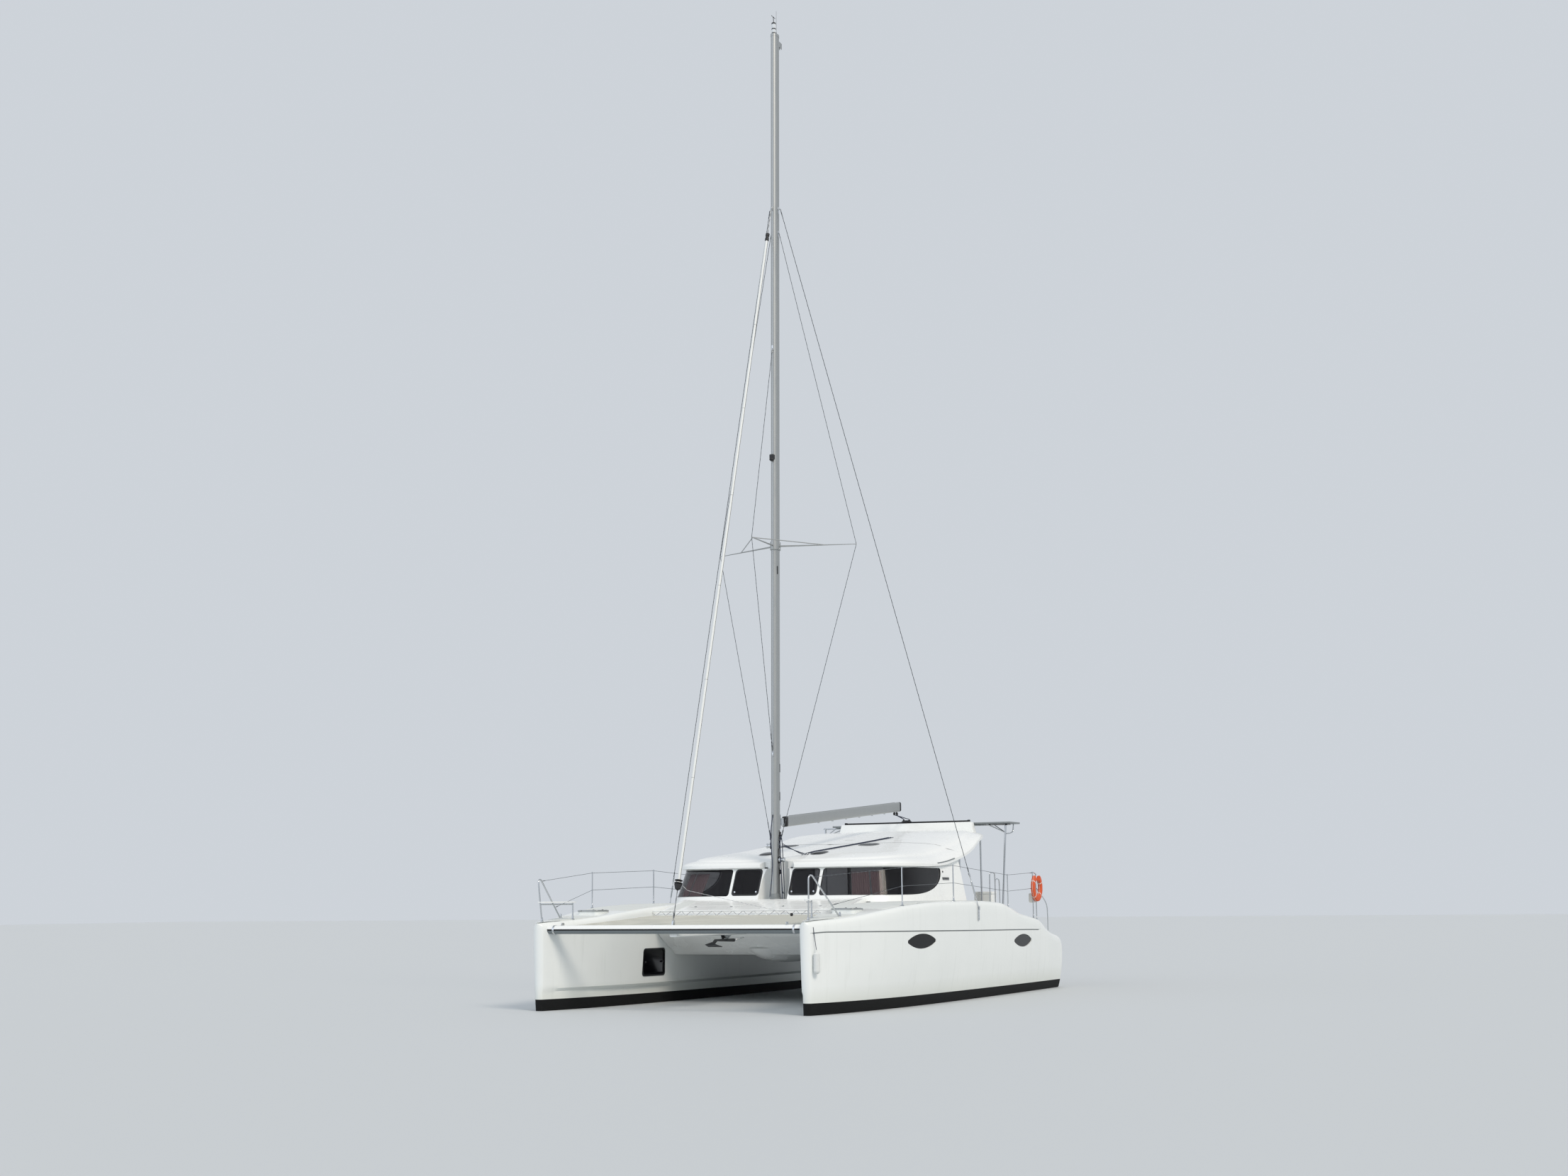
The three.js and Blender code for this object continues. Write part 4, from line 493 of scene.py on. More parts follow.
def ring_of(centre: Point, axis: Point, radius: float, thickness: float, steps: int = 36,
            sides: int = 10) -> Shape:
    """A closed ring of round section about an axis.

    Args:
        centre: Its middle.
        axis: What it goes round.
        radius: From the axis to the middle of the section.
        thickness: Radius of the section.
        steps: Points round the axis.
        sides: Points round the section.

    Returns:
        The closed ring.
    """
    direction = Vector(axis).normalized()
    across, up = frame_along(direction)
    verts, faces = [], []
    for i in range(steps):
        c, s = on_circle(i, steps)
        out = across * c + up * s
        for c, s in (on_circle(k, sides, thickness) for k in range(sides)):
            verts.append(Vector(centre) + out * (radius + c) + direction * s)
    for i in range(steps):
        for k in range(sides):
            j, m = (i + 1) % steps, (k + 1) % sides
            faces.append((i * sides + k, j * sides + k, j * sides + m, i * sides + m))
    return verts, faces


def filleted(outline: Outline, radius: float, steps: int = 4) -> list[tuple[float, float]]:
    """The outline with its corners rounded.

    Args:
        outline: Points of the closed outline.
        radius: Of the corners.
        steps: Steps of each corner.

    Returns:
        Points of the rounded outline.
    """
    count = len(outline)
    out = []
    for i, corner in enumerate(outline):
        here = Vector(corner)
        before, after = Vector(outline[i - 1]) - here, Vector(outline[(i + 1) % count]) - here
        start = here + before.normalized() * min(radius, 0.45 * before.length)
        end = here + after.normalized() * min(radius, 0.45 * after.length)
        for k in range(steps + 1):
            t = k / steps
            point = start * (1 - t) ** 2 + here * 2 * t * (1 - t) + end * t * t
            out.append((point.x, point.y))
    return out


def mat_on(rows: Sequence[tuple[float, float, float]], height: Callable[[float, float], float],
           thickness: float = 0.006, across: int = 6) -> Shape:
    """A thin mat that lies on a surface.

    Args:
        rows: For each x, the mat's two ends in y.
        height: The surface's height at x and y.
        thickness: How far the mat stands proud.
        across: Points across the mat.

    Returns:
        The closed mat.
    """
    rings = []
    for x, low, high in rows:
        ys = [lerp(low, high, k / across) for k in range(across + 1)]
        top = [Vector((x, y, height(x, y) + thickness)) for y in ys]
        rings.append([*top, *(p - Vector((0, 0, thickness + 0.006)) for p in reversed(top))])
    return loft(rings)


def cleat(place: Point, length: float) -> Shape:
    """A two-horned cleat on two feet, its horns along X.

    Args:
        place: Middle of its feet.
        length: Over the horns.

    Returns:
        The closed body.
    """
    half = length / 2
    horns = tube(spline([(-half, 0, 0.055), (-0.5 * half, 0, 0.05), (0, 0, 0.046),
                         (0.5 * half, 0, 0.05), (half, 0, 0.055)], 3), 0.011, 10)
    feet = [lathe([(0.026, 0), (0.022, 0.006), (0.011, 0.02), (0.011, 0.05)], (x, 0, 0), (0, 0, 1), 12)
            for x in (-0.3 * half, 0.3 * half)]
    return moved(joined([horns, *feet]), *place)


def pulley(centre: Point, axis: Point, radius: float = 0.035) -> Shape:
    """A block: two cheeks, the sheave between them and its pin.

    Args:
        centre: Middle of the sheave.
        axis: What the sheave turns about.
        radius: Of the cheeks.

    Returns:
        The block as one shape.
    """
    place, way = Vector(centre), Vector(axis).normalized()
    cheeks = [lathe([(0.75 * radius, 0), (radius, 0.004), (radius, 0.008), (0.8 * radius, 0.012)],
                    place + way * offset, way, 18) for offset in (-0.017, 0.005)]
    sheave = lathe([(0.9 * radius, 0), (0.7 * radius, 0.005), (0.9 * radius, 0.01)], place - way * 0.005, way,
                   18)
    pin = lathe([(0.008, 0), (0.008, 0.044)], place - way * 0.022, way, 10)
    return joined([*cheeks, sheave, pin])


def foot(place: Point, radius: float = 0.013, spread: float = 0.045) -> Shape:
    """A post's flared foot with a flat flange.

    Args:
        place: Middle of the flange, on the deck.
        radius: Of the post.
        spread: Radius of the flange.

    Returns:
        The closed foot.
    """
    return lathe([(spread, 0), (spread, 0.008), (1.5 * radius, 0.022), (1.25 * radius, 0.085),
                  (radius, 0.09)], place, (0, 0, 1), 18)


def screw(low: Vector, high: Vector, radius: float = 0.012) -> Shape:
    """A rigging screw between two points: forks, threads and an open body.

    Args:
        low: Lower end.
        high: Upper end.
        radius: Of the forks.

    Returns:
        The screw as one shape.
    """
    way = (high - low).normalized()
    length = (high - low).length
    profile = [(0.4, 0), (0.7, 0.02), (0.7, 0.08), (0.45, 0.1), (0.45, 0.24), (0.9, 0.26), (1.0, 0.3),
               (1.0, 0.7),
               (0.9, 0.74), (0.45, 0.76), (0.45, 0.9), (0.75, 0.92), (0.75, 1.0)]
    return lathe([(r * radius, h * length) for r, h in profile], low, way, 14)


# Objects


def mesh_object(name: str, shape: Shape) -> Object:
    """Link a new object whose mesh holds the shape, with its faces turned outwards.

    Args:
        name: Name of the object and its mesh.
        shape: What the mesh holds.

    Returns:
        The linked object.
    """
    mesh = bpy.data.meshes.new(name)
    mesh.from_pydata([tuple(v) for v in shape[0]], [], shape[1])
    bm = bmesh.new()
    bm.from_mesh(mesh)
    bmesh.ops.recalc_face_normals(bm, faces=bm.faces)
    bm.to_mesh(mesh)
    bm.free()
    thing = bpy.data.objects.new(name, mesh)
    bpy.context.scene.collection.objects.link(thing)
    return thing


def baked(thing: Object) -> Object:
    """Turn an object's modifiers into its plain mesh.

    Args:
        thing: Object with live modifiers.

    Returns:
        The same object with the evaluated mesh and no modifier.
    """
    graph = bpy.context.evaluated_depsgraph_get()
    mesh = bpy.data.meshes.new_from_object(thing.evaluated_get(graph), depsgraph=graph)
    thing.modifiers.clear()
    thing.data = mesh
    return thing


class Cut(Enum):
    """What one shape does to another."""

    JOIN = "UNION"
    OFF = "DIFFERENCE"
    KEEP = "INTERSECT"


def carved(body: Shape, *steps: tuple[Cut, Shape]) -> Shape:
    """Work on a closed shape with others, one after the next.

    Args:
        body: The shape to begin with.
        *steps: What each further shape does, and that shape.

    Returns:
        The closed result.
    """
    work = mesh_object("carving", body)
    helpers = []
    for way, shape in steps:
        helper = mesh_object("tool", shape)
        helpers.append(helper)
        step = work.modifiers.new("step", "BOOLEAN")
        step.operation = way.value
        step.solver = "MANIFOLD"
        step.object = helper
    baked(work)
    result = ([v.co.copy() for v in work.data.vertices], [tuple(p.vertices) for p in work.data.polygons])
    for thing in (work, *helpers):
        mesh = thing.data
        bpy.data.objects.remove(thing)
        bpy.data.meshes.remove(mesh)
    if not result[0]:
        raise ValueError("a cut left nothing")
    return result


def add_node(
    tree: Tree,
    kind: str,
    links: dict[str | int, Socket] | None = None,
    values: dict[str | int, object] | None = None,
    **settings: object,
) -> bpy.types.Node:
    """Add one node with its settings, values and links.

    Args:
        tree: The tree to add it to.
        kind: The node's type.
        links: Input name or number to the socket that feeds it.
        values: Input name or number to its value.
        **settings: Properties of the node itself.

    Returns:
        The new node.
    """
    node = tree.nodes.new(kind)
    for name, value in settings.items():
        setattr(node, name, value)
    for key, value in (values or {}).items():
        node.inputs[key].default_value = value
    for key, socket in (links or {}).items():
        tree.links.new(socket, node.inputs[key])
    return node


# Finishes


class Pattern(Enum):
    """How a surface's fine structure is drawn."""

    CAST = "cast"
    PEEL = "peel"
    BRUSHED = "brushed"
    STIPPLE = "stipple"
    WOVEN = "woven"
    GRAINED = "grained"
    LAID = "laid"
    CELLS = "cells"


@dataclass(frozen=True)
class Finish:
    """One real surface: what it is made of and how it was made."""

    name: str
    slot: str
    colour: str
    second: str
    roughness: float
    pattern: Pattern
    scale_mm: float
    bump_mm: float = 0.1
    metallic: float = 0.0
    ior: float = 1.5
    coat: float = 0.0
    alpha: float = 1.0
    specular: float = 0.5

    def mask(self, tree: Tree, place: Socket) -> Socket:
        """Draw the pattern that mixes the two colours and lifts the bump.

        Args:
            tree: The material's tree.
            place: Coordinates in metres.

        Returns:
            A socket from 0 to 1.
        """
        per_metre = 1000 / self.scale_mm
        if self.pattern is Pattern.BRUSHED:
            drawn = add_node(tree, "ShaderNodeMapping", {"Vector": place}, {"Scale": (1.0, 1.0, 0.04)})
            return add_node(tree, "ShaderNodeTexNoise", {"Vector": drawn.outputs[0]},
                            {"Scale": per_metre, "Detail": 4.0}).outputs[0]
        if self.pattern is Pattern.STIPPLE:
            return add_node(tree, "ShaderNodeTexVoronoi", {"Vector": place}, {"Scale": per_metre},
                            feature="SMOOTH_F1").outputs[0]
        if self.pattern is Pattern.WOVEN:
            threads = [
                add_node(tree, "ShaderNodeTexWave", {"Vector": place},
                         {"Scale": per_metre / 20, "Distortion": 0.4}, bands_direction=way).outputs["Fac"]
                for way in ("X", "Y", "Z")
            ]
            pair = add_node(tree, "ShaderNodeMath", {0: threads[0], 1: threads[1]}, operation="MAXIMUM")
            return add_node(tree, "ShaderNodeMath", {0: pair.outputs[0], 1: threads[2]},
                            operation="MULTIPLY").outputs[0]
        if self.pattern is Pattern.GRAINED:
            drawn = add_node(tree, "ShaderNodeMapping", {"Vector": place}, {"Scale": (0.12, 1.0, 1.0)})
            return add_node(tree, "ShaderNodeTexWave", {"Vector": drawn.outputs[0]},
                            {"Scale": per_metre / 20, "Distortion": 6.0, "Detail": 3.0}).outputs["Fac"]
        if self.pattern is Pattern.LAID:
            return add_node(tree, "ShaderNodeTexWave", {"Vector": place},
                            {"Scale": per_metre / 20, "Distortion": 0.8},
                            bands_direction="DIAGONAL").outputs["Fac"]
        if self.pattern is Pattern.CELLS:
            return add_node(tree, "ShaderNodeTexBrick", {"Vector": place},
                            {"Scale": 1.0, "Mortar Size": 0.0025, "Brick Width": self.scale_mm / 1000,
                             "Row Height": self.scale_mm / 1000},
                            offset=0.0).outputs["Fac"]
        detail = 6.0 if self.pattern is Pattern.CAST else 2.0
        return add_node(tree, "ShaderNodeTexNoise", {"Vector": place},
                        {"Scale": per_metre, "Detail": detail}).outputs[0]

    def material(self) -> bpy.types.Material:
        """Build the finish's material once, and give it back after that.

        Returns:
            The material.
        """
        known = bpy.data.materials.get(self.name)
        if known:
            return known
        made = bpy.data.materials.new(self.name)
        made.use_nodes = True
        tree = made.node_tree
        shader = tree.nodes["Principled BSDF"]
        place = add_node(tree, "ShaderNodeTexCoord").outputs["Object"]
        mask = self.mask(tree, place)
        cloud = add_node(tree, "ShaderNodeTexNoise", {"Vector": place}, {"Scale": 1.7, "Detail": 5.0})
        mixed = self.mix(tree, mask, linear(self.colour), linear(self.second))
        tree.links.new(mixed, shader.inputs["Base Color"])
        rough = add_node(tree, "ShaderNodeMapRange", {"Value": cloud.outputs[0]},
                         {"From Min": 0.3, "From Max": 0.7,
                          "To Min": 0.88 * self.roughness, "To Max": 1.15 * self.roughness})
        tree.links.new(rough.outputs[0], shader.inputs["Roughness"])
        bump = add_node(tree, "ShaderNodeBump", {"Height": mask},
                        {"Distance": self.bump_mm / 1000, "Strength": 1.0})
        tree.links.new(bump.outputs[0], shader.inputs["Normal"])
        shader.inputs["Metallic"].default_value = self.metallic
        if not self.metallic:
            shader.inputs["IOR"].default_value = self.ior
        shader.inputs["Coat Weight"].default_value = self.coat
        shader.inputs["Coat Roughness"].default_value = 0.06
        shader.inputs["Alpha"].default_value = self.alpha
        shader.inputs["Specular IOR Level"].default_value = self.specular
        made.diffuse_color = linear(self.colour)
        return made

    @staticmethod
    def mix(
        tree: Tree,
        factor: Socket,
        first: tuple[float, ...] | Socket,
        second: tuple[float, ...] | Socket,
    ) -> Socket:
        """Mix two colours, each a value or a socket, by a factor.

        Args:
            tree: The node tree.
            factor: Share of the second colour.
            first: A value or a socket.
            second: A value or a socket.

        Returns:
            The mixed colour's socket.
        """
        node = tree.nodes.new("ShaderNodeMix")
        node.data_type = "RGBA"
        sockets = [s for s in node.inputs if s.type == "RGBA"]
        for socket, value in zip(sockets, (first, second)):
            if isinstance(value, Socket):
                tree.links.new(value, socket)
            else:
                socket.default_value = value
        tree.links.new(factor, node.inputs[0])
        return next(s for s in node.outputs if s.type == "RGBA")


# Polished gelcoat on moulded glass fibre: bright, hard gloss with a faint orange peel
GELCOAT = Finish("moulded_gelcoat", "gelcoat", "#f2f4f2", "#eff1ef", 0.26, Pattern.PEEL, 60, 0.05, coat=0.2)
# Moulded non-skid deck: the same gelcoat with a fine raised stipple that looks matt
NON_SKID = Finish("moulded_non_skid_gelcoat", "gelcoat", "#dfe2df", "#cdd1ce", 0.62, Pattern.STIPPLE, 9, 0.7)
# Seams and gaskets: black rubber pressed into the joints; also the black band painted as shade across the
# crossbeam
GASKET_AND_BEAM_SHADE = Finish("moulded_black_rubber", "dark_plastic", "#17181a", "#1e2022", 0.7, Pattern.CAST, 12, 0.05)
# Tinted cast acrylic: almost black, with a polished face
ACRYLIC = Finish("tinted_cast_acrylic", "tinted_acrylic", "#050508", "#08080b", 0.14, Pattern.PEEL, 400, 0.02,
                 ior=1.49, specular=0.15)
# Weathered galvanised iron of the anchor: dull, dark and blotched
IRON = Finish("weathered_galvanised_iron", "stainless", "#3b3e40", "#282a2b", 0.65, Pattern.CAST, 20, 0.4)
# Curtains: pinkish cotton behind the tinted panes
CURTAIN = Finish("washed_pink_cotton", "upholstery", "#e6cfd3", "#d9bcc2", 0.9, Pattern.WOVEN, 3, 0.1)
# Lamp lenses: clear moulded acrylic with a glossy face
LENS = Finish("lamp_lens_acrylic", "tinted_acrylic", "#dfe3e6", "#d4d9dc", 0.15, Pattern.PEEL, 300, 0.02,
              ior=1.49)
# The saloon windows: tinted acrylic that lets a little of the inside show
WINDOW = Finish("tinted_window_acrylic", "tinted_acrylic", "#0b080e", "#0f0b12", 0.1, Pattern.PEEL, 400, 0.02,
                ior=1.49, alpha=0.45, specular=0.2)
# Electropolished stainless tube: bright, with faint drawing marks
STAINLESS = Finish("polished_stainless_steel", "stainless", "#d3d6d8", "#c2c5c8", 0.16, Pattern.BRUSHED, 3,
                   0.01, metallic=1.0)
# Laid stainless wire: a spiral of strands, dull from salt
WIRE = Finish("laid_stainless_wire", "stainless", "#84888b", "#4b4e51", 0.36, Pattern.LAID, 8, 0.3,
              metallic=1.0)
# Anodised aluminium spar: satin grey extrusion with fine lengthwise lines
SPAR = Finish("anodised_aluminium_spar", "spar_aluminium", "#b4b6b5", "#a4a7a7", 0.42, Pattern.BRUSHED, 6,
              0.02, metallic=0.85)
# Painted grey of fittings cast in aluminium; also the grey line laid in the hull's groove as a painted shadow
CASTING_AND_GROOVE_SHADOW = Finish("painted_aluminium_casting", "spar_aluminium", "#8e9394", "#7f8486", 0.5, Pattern.CAST, 8,
                 0.1, metallic=0.3)
# Moulded black plastic of blocks, lights and knobs; also the black lines down the luff foil's sides, painted
# shade
BLACK_AND_FOIL_SHADE = Finish("moulded_black_plastic", "dark_plastic", "#1b1c1f", "#232427", 0.48, Pattern.CAST, 6, 0.08)
# Antifouling paint, rolled on: dead matt and slightly patchy
ANTIFOULING = Finish("rolled_antifouling_paint", "antifouling", "#060708", "#0e1011", 0.86, Pattern.CAST, 40,
                     0.3)
# Cast bronze of the propellers, brown from the sea
BRONZE = Finish("cast_bronze", "bronze", "#8f6b3c", "#6f5432", 0.42, Pattern.CAST, 25, 0.1, metallic=1.0)
# White powder coat of the luff foil: smooth and even
FOIL_PAINT = Finish("white_powder_coat", "spar_aluminium", "#e6e8e6", "#dcdfdd", 0.38, Pattern.PEEL, 20, 0.03)
# Stoved grey enamel of the drive legs: smooth and slightly shiny; also the crossbeam's lower part, painted
# grey as shade
ENAMEL_AND_BEAM_SHADE = Finish("stoved_grey_enamel", "drive_paint", "#7b8386", "#6d7578", 0.4, Pattern.PEEL, 20, 0.05)
# Grey enamel sprayed over the rough castings of the engines
ENGINE = Finish("engine_grey_enamel", "engine_iron", "#6c7376", "#5a6063", 0.5, Pattern.CAST, 30, 0.2)
# Knotted polyester cord of the net, greyed by the sun
NET_CORD = Finish("knotted_polyester_net_cord", "net_cord", "#d9d9d0", "#b9b9b0", 0.85, Pattern.LAID, 4, 0.3)
# Braided dark blue ropes
NAVY_ROPE = Finish("braided_navy_rope", "dark_plastic", "#1d2436", "#2c3650", 0.8, Pattern.LAID, 6, 0.5)
# Braided white ropes, greyed by use
WHITE_ROPE = Finish("braided_white_rope", "net_cord", "#d6d6d2", "#9fa3a8", 0.82, Pattern.LAID, 6, 0.5)
# Coated orange cloth of the lifebuoy's cover
ORANGE = Finish("coated_orange_cloth", "orange_cover", "#dd5b2c", "#c94e24", 0.6, Pattern.WOVEN, 3, 0.15)
# White coated cloth of the buoy's straps and pocket, and of the piping and stitching
WHITE_CLOTH = Finish("coated_white_cloth", "fender_vinyl", "#e4e4de", "#d6d6d0", 0.75, Pattern.WOVEN, 3, 0.15)
# Inflated vinyl: smooth, slightly shiny
VINYL = Finish("inflated_white_vinyl", "fender_vinyl", "#e2e4e1", "#d3d6d4", 0.34, Pattern.PEEL, 40, 0.05)
# Woven cushion covers
COVER = Finish("woven_beige_cover", "upholstery", "#c9c0ae", "#b5ab98", 0.86, Pattern.WOVEN, 4, 0.3)
# Varnished teak
TEAK = Finish("varnished_teak", "teak", "#94643b", "#6f4727", 0.34, Pattern.GRAINED, 14, 0.05, coat=0.4)
# Solar cells under glass
SOLAR = Finish("solar_cells_under_glass", "solar_panel", "#141a2a", "#9aa0a6", 0.12, Pattern.CELLS, 156, 0.02,
               coat=0.5)


@dataclass(frozen=True)
class HullPaint:
    """Gelcoat above the boot top and antifouling below it, with a paler band low on the topsides."""

    name: str = "hull_gelcoat_and_antifouling"
    boot_bow_z: float = 0.222
    boot_stern_z: float = 0.19
    band_z: float = 0.52

    def material(self) -> bpy.types.Material:
        """Build the hull's material once, and give it back after that.

        Returns:
            The material.
        """
        known = bpy.data.materials.get(self.name)
        if known:
            return known
        made = bpy.data.materials.new(self.name)
        made.use_nodes = True
        tree = made.node_tree
        shader = tree.nodes["Principled BSDF"]
        place = add_node(tree, "ShaderNodeTexCoord").outputs["Object"]
        axes = add_node(tree, "ShaderNodeSeparateXYZ", {0: place})
        line = add_node(tree, "ShaderNodeMapRange", {"Value": axes.outputs["X"]},
                        {"From Min": STERN_X, "From Max": BOW_X,
                         "To Min": self.boot_stern_z, "To Max": self.boot_bow_z})
        under = add_node(tree, "ShaderNodeMath", {0: axes.outputs["Z"], 1: line.outputs[0]},
                         operation="LESS_THAN")
        mottle = add_node(tree, "ShaderNodeTexNoise", {"Vector": place}, {"Scale": 0.9, "Detail": 6.0})
        runs_place = add_node(tree, "ShaderNodeMapping", {"Vector": place}, {"Scale": (9.0, 9.0, 0.5)})
        runs = add_node(tree, "ShaderNodeTexNoise", {"Vector": runs_place.outputs[0]},
                        {"Scale": 1.0, "Detail": 5.0})
        run_mask = add_node(tree, "ShaderNodeMapRange", {"Value": runs.outputs[0]},
                            {"From Min": 0.58, "From Max": 0.8, "To Min": 0.0, "To Max": 0.28})
        clean = Finish.mix(tree, mottle.outputs[0], linear("#eff2f0"), linear("#e7ebe9"))
        streaked = Finish.mix(tree, run_mask.outputs[0], clean, linear("#cfd3cf"))
        grime = add_node(tree, "ShaderNodeMapRange", {"Value": axes.outputs["Z"]},
                         {"From Min": self.boot_bow_z, "From Max": self.band_z, "To Min": 0.35,
                          "To Max": 0.0})
        grimed = Finish.mix(tree, grime.outputs[0], streaked, linear("#c9cdbf"))
        paint = Finish.mix(tree, mottle.outputs[0], linear("#060708"), linear("#0e1011"))
        tree.links.new(Finish.mix(tree, under.outputs[0], grimed, paint), shader.inputs["Base Color"])
        rough = add_node(tree, "ShaderNodeMapRange", {"Value": under.outputs[0]},
                         {"To Min": 0.2, "To Max": 0.8})
        tree.links.new(rough.outputs[0], shader.inputs["Roughness"])
        peel = add_node(tree, "ShaderNodeTexNoise", {"Vector": place}, {"Scale": 14.0, "Detail": 2.0})
        bump = add_node(tree, "ShaderNodeBump", {"Height": peel.outputs[0]}, {"Distance": 0.0004})
        tree.links.new(bump.outputs[0], shader.inputs["Normal"])
        shader.inputs["Specular IOR Level"].default_value = 0.3
        return made


HULL_PAINT = HullPaint()


def shade(thing: Object, angle: float = 32.0) -> None:
    """Shade smooth, with edges sharper than an angle in degrees kept crisp.

    Args:
        thing: The object.
        angle: Degrees from which an edge is crisp.
    """
    mesh = thing.data
    bm = bmesh.new()
    bm.from_mesh(mesh)
    limit = math.radians(angle)
    for face in bm.faces:
        face.smooth = True
    for edge in bm.edges:
        edge.smooth = len(edge.link_faces) == 2 and edge.calc_face_angle(0.0) < limit
    bm.to_mesh(mesh)
    bm.free()


def finished(
    name: str,
    shape: Shape | Object,
    finish: Finish | HullPaint,
    body: str = "boat",
    replaces: Sequence[str] = (),
    slot: str | None = None,
    angle: float = 32.0,
) -> Object:
    """Make a piece of the object, dress it and say what it rides on.

    Args:
        name: The piece's name.
        shape: Its shape, or an object that holds it already.
        finish: Its surface.
        body: The body that it moves with.
        replaces: The solids that it stands for.
        slot: The record's slot, where it isn't the finish's own; not used.
        angle: Edges sharper than this stay crisp.

    Returns:
        The finished object.
    """
    thing = shape if isinstance(shape, Object) else mesh_object(name, shape)
    thing.name = name
    thing.data.materials.clear()
    thing.data.materials.append(finish.material())
    shade(thing, angle)
    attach(thing, body)
    slot or getattr(finish, "slot", "gelcoat")
    if replaces:
        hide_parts(*replaces)
    log.info("%s: %d faces, %s", name, len(thing.data.polygons), finish.name)
    return thing


# Hulls


